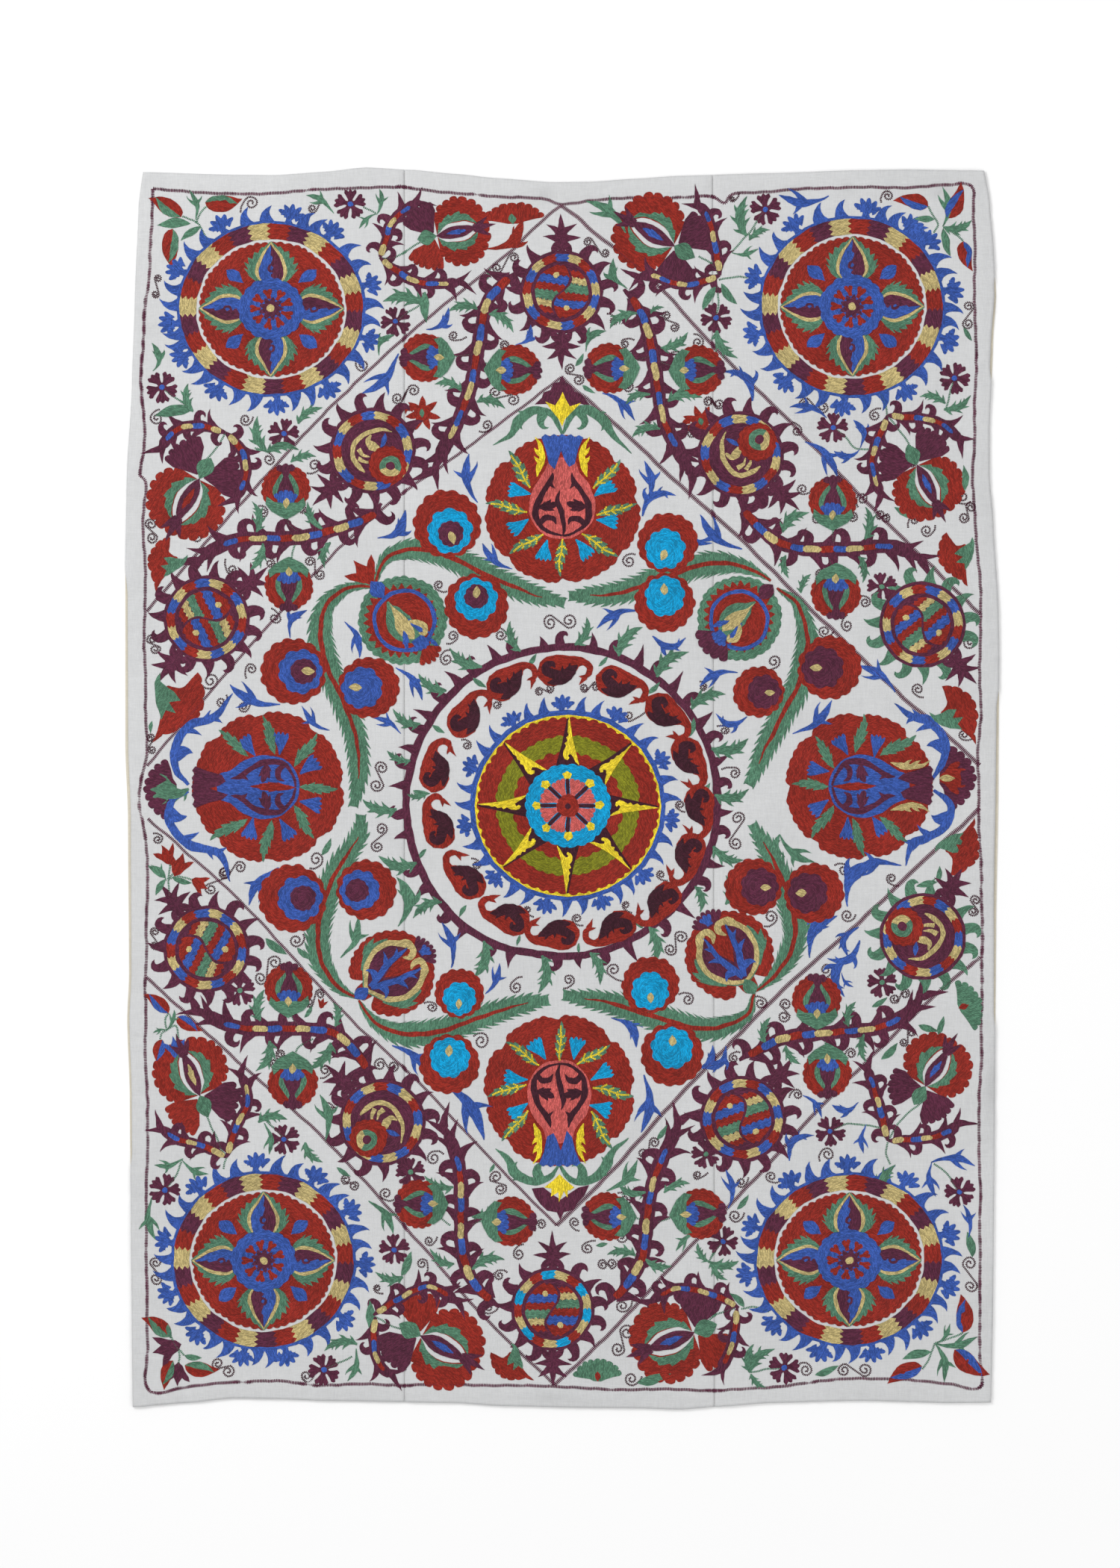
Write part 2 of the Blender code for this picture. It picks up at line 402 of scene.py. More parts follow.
def normals_of(line: Points) -> Points:
    """The unit normals to the left of a line.

    Args:
        line: the points along it.

    Returns:
        One normal a point.
    """
    along = np.gradient(line, axis=0)
    along /= np.maximum(np.linalg.norm(along, axis=1, keepdims=True), 1e-9)
    return np.stack([-along[:, 1], along[:, 0]], axis=1)


def ribbon(line: Points, halves: Points) -> Points:
    """The outline of a band along a line.

    Args:
        line: the points along its middle.
        halves: half its width at each point, on both sides, or two rows, left and right.

    Returns:
        The outline.
    """
    sides = np.broadcast_to(halves, (2, len(line))) if np.ndim(halves) < 2 else halves
    normals = normals_of(line)
    left = line + normals * sides[0][:, None]
    right = line - normals * sides[1][:, None]
    return np.concatenate([left, right[::-1]])


def horn(
    length: float, width: float, bends: Sequence[float] = (0.0,), power: float = 1.0, steps: int = 12
) -> Points:
    """A thorn or hook: wide at its foot, with a fine tip.

    Args:
        length: its length along its middle.
        width: its width at the foot.
        bends: how it turns left, in degrees for each equal share.
        power: above 1 for a full middle, below 1 for a hollow one.
        steps: how finely it is drawn.

    Returns:
        The outline.
    """
    line = spine(length, bends, steps=steps)
    share = np.linspace(0.0, 1.0, len(line))
    return ribbon(line, width / 2.0 * (1.0 - share**power))


def toothed(line: Points, halves: Points, teeth: int, depth: float, lean: float = 0.5) -> Points:
    """The outline of a band along a line, with teeth that point forwards on both sides.

    Args:
        line: the points along its middle.
        halves: half its width at each point, to the tips of the teeth.
        teeth: how many teeth each side has.
        depth: how deep they are cut, as a share of the width.
        lean: how far their tips lean forwards, as a share of half the width.

    Returns:
        The outline.
    """
    share = np.linspace(0.0, 1.0, len(line))
    saw = (share * teeth) % 1.0
    halves = halves * (1.0 - depth * (1.0 - saw))
    normals = normals_of(line)
    ahead = np.stack([normals[:, 1], -normals[:, 0]], axis=1) * (halves * saw * lean)[:, None]
    left = line + normals * halves[:, None] + ahead
    right = line - normals * halves[:, None] + ahead
    return np.concatenate([left, right[::-1]])


def leaf(
    length: float,
    width: float,
    bends: Sequence[float] = (0.0,),
    fat: float = 0.4,
    teeth: int = 0,
    depth: float = 0.0,
    lean: float = 0.5,
) -> Points:
    """A leaf, drop or petal along a bending middle.

    Args:
        length: its length.
        width: its greatest width.
        bends: how it turns left, in degrees for each equal share.
        fat: where it is widest, as a share of its length.
        teeth: how many teeth each side has.
        depth: how deep they are cut, as a share of the width.
        lean: how far the teeth lean forwards, as a share of half the width.

    Returns:
        The outline.
    """
    count = teeth * TOOTH_STEPS if teeth else PLAIN_STEPS
    line = spine(length, bends, steps=count)
    share = np.linspace(0.0, 1.0, count + 1)
    halves = width / 2.0 * np.sin(math.pi * share ** (math.log(0.5) / math.log(fat)))
    if teeth:
        return toothed(line, halves, teeth, depth, lean)
    return ribbon(line, halves)


def ring_block(
    inner: float, outer: float, start: float, end: float, teeth: int = 3, tooth: float = 2.0
) -> Points:
    """A block of a ring whose two ends are cut into teeth.

    Args:
        inner: the ring's inner radius.
        outer: the ring's outer radius.
        start: the direction of one end, in degrees.
        end: the direction of the other end.
        teeth: how many teeth each end has.
        tooth: how far the teeth reach, in degrees.

    Returns:
        The outline.
    """
    arc = np.linspace(start, end, max(3, int(abs(end - start) / 6.0) + 2))
    cuts = np.linspace(0.0, 1.0, 2 * teeth + 1)
    jag = np.where(np.arange(2 * teeth + 1) % 2 == 1, tooth, 0.0)
    up = round_line(outer + (inner - outer) * cuts, end + jag)
    back = round_line(inner + (outer - inner) * cuts, start + jag[::-1])
    return np.concatenate(
        [round_line(outer, arc)[:-1], up[:-1], round_line(inner, arc[::-1])[:-1], back[:-1]]
    )


def fewer_points(outline: Points, tolerance: float) -> Points:
    """Drop the points that an outline's shape doesn't need.

    Args:
        outline: the closed outline.
        tolerance: how far the outline may move.

    Returns:
        The outline with fewer points.
    """
    far = int(np.argmax(np.linalg.norm(outline - outline[0], axis=1)))
    keep = {0, far}
    spans = [(0, far), (far, len(outline))]
    closed = np.concatenate([outline, outline[:1]])
    while spans:
        low, high = spans.pop()
        if high - low < 2:
            continue
        chord = closed[high] - closed[low]
        length = np.linalg.norm(chord)
        middle = closed[low + 1 : high] - closed[low]
        if length < 1e-9:
            gaps = np.linalg.norm(middle, axis=1)
        else:
            gaps = np.abs(middle[:, 0] * chord[1] - middle[:, 1] * chord[0]) / length
        worst = int(np.argmax(gaps))
        if gaps[worst] > tolerance:
            split = low + 1 + worst
            keep.add(split)
            spans += [(low, split), (split, high)]
    return outline[sorted(keep)]


def drawn_by_hand(points: Points) -> Points:
    """Move points a little, as a pattern drawn by hand on cloth does.

    Args:
        points: chart places.

    Returns:
        The moved places.
    """
    x, y = points[:, 0], points[:, 1]
    side = 0.55 * np.sin(x * 0.11 + y * 0.07) + 0.4 * np.sin(y * 0.23 - x * 0.09 + 1.0)
    side = side + 0.22 * np.sin(x * 0.61 + y * 0.47)
    up = 0.55 * np.sin(y * 0.10 - x * 0.06 + 2.0) + 0.4 * np.sin(x * 0.21 + y * 0.12)
    up = up + 0.22 * np.sin(y * 0.66 - x * 0.38)
    return points + np.stack([side, up], axis=1)


def arc_band(inner: float, outer: float, start: float, end: float) -> Points:
    """A plain stretch of a ring.

    Args:
        inner: the ring's inner radius.
        outer: the ring's outer radius.
        start: the direction of one end, in degrees.
        end: the direction of the other end.

    Returns:
        The outline.
    """
    arc = np.linspace(start, end, max(4, int(abs(end - start) / 6.0)))
    return np.concatenate([round_line(outer, arc), round_line(inner, arc[::-1])])


def interpolated(values: Sequence[float], count: int) -> Points:
    """Spread a few widths evenly over many points, smoothly.

    Args:
        values: the widths at equal shares of a line.
        count: how many points the line has.

    Returns:
        A width for each point.
    """
    return np.interp(np.linspace(0.0, 1.0, count), np.linspace(0.0, 1.0, len(values)), values)


def tapered(points: Sequence[Pair], halves: Sequence[float], steps: int = 8) -> Points:
    """A band through a few points, with half its width given at each.

    Args:
        points: the places that its middle passes.
        halves: half its width at each of them.
        steps: how many points each stretch gets.

    Returns:
        The outline.
    """
    line = smooth_path(points, steps)
    return ribbon(line, interpolated(halves, len(line)))


@dataclass
class Patch:
    """One stitched area: its outline in metres, its layer, how its stitches run, and its own small lift."""

    outline: Points
    layer: float
    grain: tuple[float, float, float]
    slot: int = 0


@dataclass
class Chain:
    """One row of chain stitches: its line in metres, the width of a link, and how high it lies."""

    line: Points
    width: float
    layer: float = 0.0


@dataclass
class Embroidery:
    """Collects what is stitched, thread by thread, until the pieces are made."""

    patches: dict[Thread, list[Patch]] = field(default_factory=lambda: {thread: [] for thread in Thread})
    chains: dict[Thread, list[Chain]] = field(default_factory=lambda: {thread: [] for thread in Thread})
    tolerance: float = 0.14

    def fill(
        self,
        place: Place,
        outline: Points,
        thread: Thread,
        layer: float = 0,
        grain: Optional[float] = None,
    ) -> None:
        """Stitch an area.

        Args:
            place: where it lies.
            outline: its outline, in the place's own steps.
            thread: its thread.
            layer: how many areas it lies on.
            grain: the way its rows run, in degrees from the place's y. None makes them run round its middle.
        """
        on_chart = drawn_by_hand(place.carry(np.asarray(outline, float)))
        slim = fewer_points(on_chart, self.tolerance)
        if len(slim) < 3:
            return
        area = 0.5 * float(
            np.sum(slim[:, 0] * np.roll(slim[:, 1], -1) - np.roll(slim[:, 0], -1) * slim[:, 1])
        )
        if area < 0.0:
            slim = slim[::-1]
        if grain is None:
            middle = to_cloth(place.matrix[:2, 2][None, :])[0]
            run = (float(middle[0]), float(middle[1]), 1.0)
        else:
            way = place.matrix[:2, 1]
            run = (math.atan2(way[1], way[0]) + math.radians(grain), 0.0, 0.0)
        self.patches[thread].append(Patch(to_cloth(slim), layer, run))

    def line(
        self, place: Place, points: Points, thread: Thread, width: float = 2.4, layer: float = 0.0
    ) -> None:
        """Stitch a chain along a line.

        Args:
            place: where it lies.
            points: the line, in the place's own steps.
            thread: its thread.
            width: the chain's width in chart steps.
            layer: how many areas it lies on.
        """
        on_chart = drawn_by_hand(place.carry(np.asarray(points, float)))
        self.chains[thread].append(Chain(to_cloth(on_chart), width * CHART_STEP, layer))

    def settle(self) -> None:
        """Give areas that meet on one layer small lifts of their own, so that no two share a plane."""
        areas = [patch for thread in Thread for patch in self.patches[thread]]
        low = np.array([patch.outline.min(axis=0) for patch in areas])
        high = np.array([patch.outline.max(axis=0) for patch in areas])
        layers = np.array([patch.layer for patch in areas])
        slots = np.full(len(areas), -1)
        for number, patch in enumerate(areas):
            level = np.abs(layers[:number] - patch.layer) < 0.1
            inside = np.all((low[:number] < high[number]) & (high[:number] > low[number]), axis=1)
            taken = set(slots[:number][level & inside].tolist())
            free = [slot for slot in range(SPREAD_COUNT) if slot not in taken]
            patch.slot = free[0] if free else number % SPREAD_COUNT
            slots[number] = patch.slot


def to_cloth(points: Points) -> Points:
    """Turn chart places, with down as minus y, into metres on the cloth.

    Args:
        points: chart places.

    Returns:
        Places in metres.
    """
    return (points - np.array([CHART_MIDDLE[0], -CHART_MIDDLE[1]])) * CHART_STEP


# How finely curves are drawn, the teeth of bands and the turns of a coil
CHORD_STEPS = 20
LOOP_STEPS = 6
BAND_TOOTH = 2.6
COIL_TURNS = 1.6


@dataclass(frozen=True)
class Thorn:
    """A thorn or a curl on a stem: where along it, on which side, and its own form."""

    share: float
    side: float
    length: float
    width: float
    lean: float = 40.0
    bend: float = 30.0
    power: float = 1.0


def along(line: Points, share: float, side: float, lean: float) -> Place:
    """A place on a line, whose y leans from the line's own way to one side.

    Args:
        line: the points of the line.
        share: how far along it.
        side: 1 for its left and -1 for its right.
        lean: the angle from the line's way, in degrees.

    Returns:
        The place, in the line's own steps.
    """
    spot = share * (len(line) - 1)
    low = min(int(spot), len(line) - 2)
    here = line[low] + (line[low + 1] - line[low]) * (spot - low)
    way = line[min(low + 2, len(line) - 1)] - line[max(low - 1, 0)]
    heading = math.degrees(math.atan2(way[1], way[0])) - 90
    return Place(Place.local(here[0], here[1], heading + side * lean, 1, 1, side < 0))


@dataclass
class Motif:
    """Something stitched at one place."""

    place: Place
    work: Embroidery = field(init=False, repr=False)

    def sew(self, work: Embroidery) -> None:
        """Stitch it.

        Args:
            work: takes the stitching.
        """
        self.work = work
        self.stitch()

    def stitch(self) -> None:
        """Stitch it."""
        raise NotImplementedError

    def fill(
        self, place: Place, outline: Points, thread: Thread, layer: float = 0, grain: Optional[float] = None
    ) -> None:
        """Stitch an area, as Embroidery.fill does."""
        self.work.fill(place, outline, thread, layer, grain)

    def line(self, place: Place, route: Points, thread: Thread, width: float, layer: float = 0) -> None:
        """Stitch a line, as Embroidery.line does."""
        self.work.line(place, route, thread, width, layer)

    def thorny(
        self,
        place: Place,
        thread: Thread,
        line: Points,
        halves: Sequence[float],
        thorns: Sequence[Thorn],
        layer: int = 0,
    ) -> None:
        """Stitch a bending stem or leaf with thorns and curls on it.

        Args:
            place: where it lies.
            thread: its thread.
            line: its middle, in the place's own steps.
            halves: half its width at even shares of the line.
            thorns: what stands on it.
            layer: how many areas it lies on.
        """
        self.fill(place, ribbon(line, interpolated(halves, len(line))), thread, layer + 0.5, 0)
        for thorn in thorns:
            foot = along(line, thorn.share, thorn.side, thorn.lean)
            at = Place(place.matrix @ foot.matrix)
            bends = (-thorn.bend * 0.08, -thorn.bend * 0.36, -thorn.bend * 0.56)
            self.fill(at, horn(thorn.length, thorn.width, bends, thorn.power, 12), thread, layer, 0)

    def jagged_flower(self, at: Place) -> None:
        """Stitch a small blue flower: a jagged head on a short neck, with a curl at its foot.

        Args:
            at: its foot, with y along the neck.
        """
        self.fill(at.spot(0.5, 9), fan(18, 5, 6, 165, True, 0, 5), BLUE, 0, 0)
        self.fill(at, tapered([(0, -1), (-1, 6), (0, 15)], [6.5, 3.6, 8]), BLUE, 0, 0)
        self.fill(at.spot(-5, 8), horn(10, 6, (80, 60), 1.6, 8), BLUE, 0, 0)
        self.fill(at.spot(6, 9, -70), horn(11, 7, (30,), 1.2, 6), BLUE, 0, 0)


class LeafKind(Enum):
    """The kinds of small leaves between the blossoms."""

    HOLLY = "holly"
    FORK = "fork"
    TAIL = "tail"
    PLAIN = "plain"
    SCROLL = "scroll"


@dataclass
class Leaf(Motif):
    """A small leaf, 100 of its own steps from foot to tip."""

    kind: LeafKind = LeafKind.HOLLY
    thread: Thread = GREEN

    def stitch(self) -> None:
        """Stitch it."""
        here, thread = self.place, self.thread
        if self.kind is LeafKind.HOLLY:
            thorns = (
                Thorn(0.10, 1, 27, 16, 62, 30),
                Thorn(0.30, 1, 34, 18, 50, 30),
                Thorn(0.54, 1, 30, 17, 42, 26),
                Thorn(0.22, -1, 32, 17, 54, -18),
                Thorn(0.44, -1, 32, 17, 46, -18),
                Thorn(0.66, -1, 22, 14, 40, -18),
            )
            self.thorny(here, thread, chord_line(100, 17), (3, 9, 11.5, 11, 7, 0.5), thorns)
        elif self.kind is LeafKind.FORK:
            thorns = (
                Thorn(0.46, 1, 46, 15, 50, 34, 1.1),
                Thorn(0.54, -1, 30, 13, 62, 26, 1.1),
            )
            self.thorny(here, thread, chord_line(100, -14), (1, 3.5, 6.5, 9, 6, 0.5), thorns)
        elif self.kind is LeafKind.TAIL:
            thorns = (
                Thorn(0.46, 1, 40, 19, 56, 70, 1.4),
                Thorn(0.60, -1, 27, 15, 50, 30),
            )
            self.thorny(here, thread, chord_line(100, 24), (1, 4, 8.5, 13, 9, 0.5), thorns)
        elif self.kind is LeafKind.PLAIN:
            self.fill(here, leaf(100, 30, (20,), 0.45), thread, 0, 0)
        elif self.kind is LeafKind.SCROLL:
            thorns = (
                Thorn(0.34, 1, 38, 16, 66, 90, 1.5),
                Thorn(0.62, 1, 24, 12, 56, 40),
                Thorn(0.78, -1, 16, 10, 60, 30),
            )
            self.thorny(here, thread, chord_line(100, 30), (1.5, 6, 10, 9.5, 6, 0.5), thorns)


def chord_line(length: float, bow: float) -> Points:
    """A bowed line that starts at the origin and ends straight up from it.

    Args:
        length: how far its ends are apart.
        bow: how far its middle stands out to the left.

    Returns:
        Its points.
    """
    share = np.linspace(0, 1, CHORD_STEPS + 1)
    return np.stack([-bow * np.sin(math.pi * share), length * share], axis=1)


@dataclass
class CornerMedallion(Motif):
    """A great ringed medallion. Its ring's outer radius is 100 of its own steps."""

    flowers: tuple[float, ...] = (70, 40, 8, -20, -52, -90, -125, -150, 190, 160, 130)
    blocks: int = 27
    first_block: float = 97.0

    def stitch(self) -> None:
        """Stitch the corona, the ring, the field, its buds and the rosette."""
        here = self.place
        self.corona()
        for start in (0, 120, 240):
            self.fill(here, arc_band(97, 102.6, start, start + 121), BLUE, 0)
        colours = (KHAKI, RED, PLUM)
        step = 360 / self.blocks
        for number in range(self.blocks):
            middle = self.first_block - number * step
            block = ring_block(81.5, 99.5, middle - step / 2, middle + step / 2, 3, 2.6)
            self.fill(here, block, colours[number % 3], 1)
        self.fill(here, disc(78.8, 54, 3.2, 2), RED, 3)
        for quarter in range(4):
            self.bud(here.around(25, 90 * quarter), quarter % 2 == 0)
            drop = here.around(42, 45 + 90 * quarter, 6 if quarter % 2 else -6)
            self.fill(drop, leaf(25, 14.5, (0,), 0.58), BLUE, 4, 0)
        self.rosette()

    def corona(self) -> None:
        """Stitch the flowers and thorns round the ring."""
        order = sorted(angle % 360 for angle in self.flowers)
        for angle, after in zip(order, order[1:] + [order[0] + 360]):
            self.jagged_flower(self.place.around(100, angle, 0, 0.9))
            gap = after - angle
            for share, length in ((0.34, 24), (0.64, 26)):
                thorn = self.place.around(99, angle + share * gap, 22)
                self.fill(thorn, horn(length, 17, (-36, -40), 0.95), BLUE, 0, 0)

    def bud(self, at: Place, swapped: bool) -> None:
        """Stitch one almond bud with its toothed sheath, tip outwards.

        Args:
            at: the bud's foot.
            swapped: which half is blue.
        """
        self.fill(at.spot(0, -1), leaf(55, 62, (0,), 0.4, 8, 0.2, lean=0.17), GREEN, 4, 20)
        self.fill(at, leaf(53.5, 35, (0,), 0.38), KHAKI, 5, 0)
        self.fill(at, leaf(51, 27, (0,), 0.38), PLUM, 6, 0)
        side = -1 if swapped else 1
        self.fill(at.mirrored(swapped), half_leaf(50, 27, 0.38, 4, 0.35), BLUE, 7, 15)
        curl = at.spot(side * 1, 16, 0, 1, 1, not swapped)
        hook = tapered([(0, 0), (6, 3), (7, 9), (3, 11), (1, 8)], [0.8, 1.8, 1.7, 1.4, 0.8])
        self.fill(curl, hook, BLUE, 7, 0)
        self.fill(at.spot(side * 3, 27, 180, 0.8, 1, swapped), hook, PLUM, 8, 0)

    def rosette(self) -> None:
        """Stitch the rosette in the middle."""
        here = self.place
        self.fill(here, disc(36, 18, 2.6), BLUE, 9)
        petals = 9
        for number in range(petals):
            petal = here.around(11.5, 20 + 360 / petals * number)
            self.fill(petal, fan(12.5, 2, 2.6, 56, False, 0, 2), RED, 10, 0)
        self.fill(here, star(14, 8.5, petals, 0, 0.9), PLUM, 11)
        self.fill(here, disc(4.4), KHAKI, 12)


def half_leaf(length: float, width: float, fat: float, teeth: int, depth: float) -> Points:
    """The left half of a leaf, with a toothed edge down its middle.

    Args:
        length: its length.
        width: the whole leaf's width.
        fat: where it is widest.
        teeth: how many teeth the middle edge has.
        depth: how far they reach, as a share of half the width.

    Returns:
        The outline.
    """
    share = np.linspace(0, 1, teeth * 6 + 1)
    halves = width / 2 * np.sin(math.pi * share ** (math.log(0.5) / math.log(fat)))
    saw = (share * teeth) % 1
    line = np.stack([np.zeros_like(share), share * length], axis=1)
    return ribbon(line, np.stack([halves, halves * depth * (saw - 0.3)]))


@dataclass
class CentreMedallion(Motif):
    """The eight-rayed medallion in the middle, with its corona."""

    radius: float = 125.0
    rays: int = 8
    flowers: tuple[float, ...] = (122.9, 157.4, 93, 62, 26.7, -7.9, -43.3, -70.8, -102.3, -134.4, -168.7)

    def stitch(self) -> None:
        """Stitch the ring, the bands, the rays and the rosette."""
        here = self.place
        self.corona()
        self.fill(here, disc(self.radius + 6.5), BLUE, 0)
        self.fill(here, disc(self.radius), YELLOW, 1)
        self.fill(here, disc(self.radius - 2.5, 54, 5), RED, 2)
        self.fill(here, disc(97, 44, 3.5), OLIVE, 3)
        self.fill(here, disc(75, 26, 6), RED, 4)
        for number in range(self.rays):
            self.ray(here.around(50, 45 * number))
        self.rosette()

    def ray(self, at: Place) -> None:
        """Stitch one ray, dark on its left and yellow on its right.

        Args:
            at: its foot, with y towards the ring.
        """
        dark = [(-16.5, 2), (-8, 34), (-0.5, 70), (1.5, 71), (6, 36), (14, 6), (6, 0), (-8, 0)]
        self.fill(at, dark, DARK, 5, 0)
        gold = [
            (15, 5), (10, 24), (6.5, 40), (2.2, 72), (1, 66), (0.2, 56), (-1.2, 52), (0, 47),
            (-2.6, 43), (-1, 38), (-4.4, 35), (-2.2, 31), (-5.8, 25), (-6.6, 19), (-4.2, 14.5),
            (-0.2, 13), (1.8, 15.6), (-0.6, 19), (2.8, 21), (6.6, 17), (10, 10),
        ]
        self.fill(at, gold, YELLOW, 6, 0)

    def rosette(self) -> None:
        """Stitch the turquoise rosette and the petals in it."""
        here = self.place
        self.fill(here, disc(58, 26, 3), TURQUOISE, 7)
        for number in range(self.rays):
            dot = here.around(42, 45 * number + 1)
            self.fill(dot, star(6.6, 5, 5, 90, 0.8), YELLOW, 8, 0)
        for number in range(self.rays):
            petal = here.around(9, 22.5 + 45 * number)
            self.fill(petal, fan(29, 3, 2.6, 46, False, 0, 2), SALMON, 8, 0)
            spoke = here.around(12, 45 * number)
            lance = [(-2.2, 0), (-2.8, 22), (-1.4, 25), (1.6, 25), (2.8, 21), (2, 0)]
            self.fill(spoke, lance, DARK, 9, 0)
        self.fill(here, disc(15.5, 12, 2), RED, 10)
        self.fill(here, disc(4), DARK, 11)

    def corona(self) -> None:
        """Stitch the blue flowers and thorns round the ring."""
        order = sorted(angle % 360 for angle in self.flowers)
        for angle, after in zip(order, order[1:] + [order[0] + 360]):
            self.jagged_flower(self.place.around(self.radius + 1, angle, 0, 0.98))
            gap = after - angle
            for share, length in ((0.36, 28), (0.66, 27)):
                thorn = self.place.around(self.radius + 1, angle + share * gap, 16)
                self.fill(thorn, horn(length, 18, (-26, -30), 0.9), BLUE, 0, 0)


@dataclass
class Paisley(Motif):
    """A paisley with a curled, forked tail. Its head is at its origin, and its tail leads to the right."""

    def stitch(self) -> None:
        """Stitch the red body, the dark half with its curl, and the fork."""
        here = self.place
        body = [
            (-24, -4), (-17, -3), (-6, -1), (8, 2), (20, 6), (31, 9), (40, 7), (46, 0), (45, -9), (38, -14)
        ]
        halves = [3, 15, 20.5, 19, 13, 7, 4.6, 4.2, 4.2, 2]
        self.fill(here, tapered(body, halves, 6), RED, 1, 90)
        for turn, length in ((128, 15), (72, 10)):
            self.fill(here.spot(40, -13, turn), horn(length, 7, (10,), 1.2, 6), RED, 1, 0)
        dark = [(-12, -15), (-4, -15), (6, -13), (14, -8), (22, -1), (31, 5)]
        self.fill(here, tapered(dark, [0.8, 4.5, 7, 8.5, 6.5, 0.6], 5), DARK, 2, 90)
        hook = [(8, -12), (2, -6), (-6, -3), (-12, 1), (-10, 8), (-3, 9), (0, 4)]
        self.fill(here, tapered(hook, [6, 7, 6.5, 6, 5, 3.6, 1], 5), DARK, 2, 0)
        for x, y, turn, size in ((10, -6, 16, 1), (19, 0, 0, 0.8)):
            self.fill(here.spot(x, y, turn, size), horn(12, 9, (-30,), 0.9, 6), DARK, 2, 0)


@dataclass
class Rosette(Motif):
    """A red blossom seen from above, with rings that lie off centre towards its stem, at +y."""

    radius: float = 42.0
    inner: Thread = TURQUOISE
    middle: Optional[Thread] = PLUM
    dot: Optional[Thread] = KHAKI
    outer: Thread = RED

    def stitch(self) -> None:
        """Stitch it."""
        here, size = self.place, self.radius / 42
        self.fill(here, disc(43 * size, 15, 5 * size), self.outer, 1)
        self.fill(here.spot(0, 9 * size), disc(29 * size, 9, 5.5 * size, 10), self.inner, 2)
        if self.middle:
            self.fill(here.spot(0, 13 * size), disc(16.5 * size, 10, 2.2 * size), self.middle, 3)
        if self.dot:
            drop = here.spot(0, 10 * size)
            self.fill(drop, leaf(17 * size, 10.5 * size, (0,), 0.45), self.dot, 4, 0)


@dataclass
class Feather(Motif):
    """A long toothed leaf with a red midrib, along chart places."""

    route: tuple[Pair, ...]
    width: float = 20.5

    def stitch(self) -> None:
        """Stitch it."""
        line = smooth_path(chart(self.route), 22)
        length = float(np.linalg.norm(np.diff(line, axis=0), axis=1).sum())
        teeth = int(length / 11.5)
        line = resampled(line, teeth * 7 + 1)
        halves = self.width * interpolated((0.12, 0.55, 0.9, 1, 1.05, 1, 0.9, 0.75, 0.35), len(line))
        self.fill(self.place, toothed(line, halves, teeth, 0.36, 0.62), GREEN, 0, 0)
        rib = line[: int(len(line) * 0.9)]
        self.fill(self.place, ribbon(rib, interpolated((1.6, 2.4, 3, 3.4, 3, 2.6, 0.5), len(rib))), RED, 1, 0)


def chart(points: Sequence[Pair]) -> Points:
    """Turn chart places, measured downwards, into points with y up."""
    return np.array(points, float) * np.array([1, -1])


def resampled(line: Points, count: int) -> Points:
    """Points spread evenly along a line.

    Args:
        line: the points along it.
        count: how many points to make.

    Returns:
        The new points.
    """
    steps = np.linalg.norm(np.diff(line, axis=0), axis=1)
    far = np.concatenate([[0], np.cumsum(steps)])
    wanted = np.linspace(0, far[-1], count)
    return np.stack([np.interp(wanted, far, line[:, 0]), np.interp(wanted, far, line[:, 1])], axis=1)


@dataclass
class Branch(Motif):
    """A plum branch with curls and thorns, and coloured blocks along its middle, by chart places."""

    route: tuple[Pair, ...]
    width: float = 11.0
    colours: tuple[Thread, ...] = (RED, BLUE, KHAKI)
    block: float = 19.0

    def stitch(self) -> None:
        """Stitch it."""
        line = smooth_path(chart(self.route), 16)
        length = float(np.linalg.norm(np.diff(line, axis=0), axis=1).sum())
        line = resampled(line, int(length / 3) + 1)
        size = self.width / 11
        thorns = []
        pairs = max(2, int(length / (24 * size)))
        for number in range(pairs):
            share = (number + 0.5) / pairs
            for side in (1, -1):
                at = min(share + (0 if side > 0 else 0.3 / pairs), 0.98)
                if share > 0.86:
                    thorns.append(Thorn(at, side, 34 * size, 13 * size, 34, -12))
                elif (number + (side > 0)) % 2:
                    thorns.append(Thorn(at, side, 39 * size, 13.5 * size, 66, -215, 2.6))
                else:
                    thorns.append(Thorn(at, side, 37 * size, 20 * size, 50, -36, 0.85))
        halves = (2, 7, 9, 9.5, 9.5, 9.5, 9.5, 9.5, 9, 0.8)
        self.thorny(self.place, PLUM, line, [half * size for half in halves], thorns)
        blocks = max(3, int(length * 0.80 / self.block))
        for number in range(blocks):
            low = int((0.06 + 0.76 * number / blocks) * (len(line) - 1))
            high = int((0.06 + 0.76 * (number + 1) / blocks) * (len(line) - 1)) + 1
            part = resampled(line[low : high + 1], 7)
            half = 5.2 * size * (1 - 0.35 * number / blocks)
            jag = np.array([0.55, 1, 1, 1, 1, 1, 0.3]) * half
            self.fill(self.place, ribbon(part, jag), self.colours[number % len(self.colours)], 2, 0)


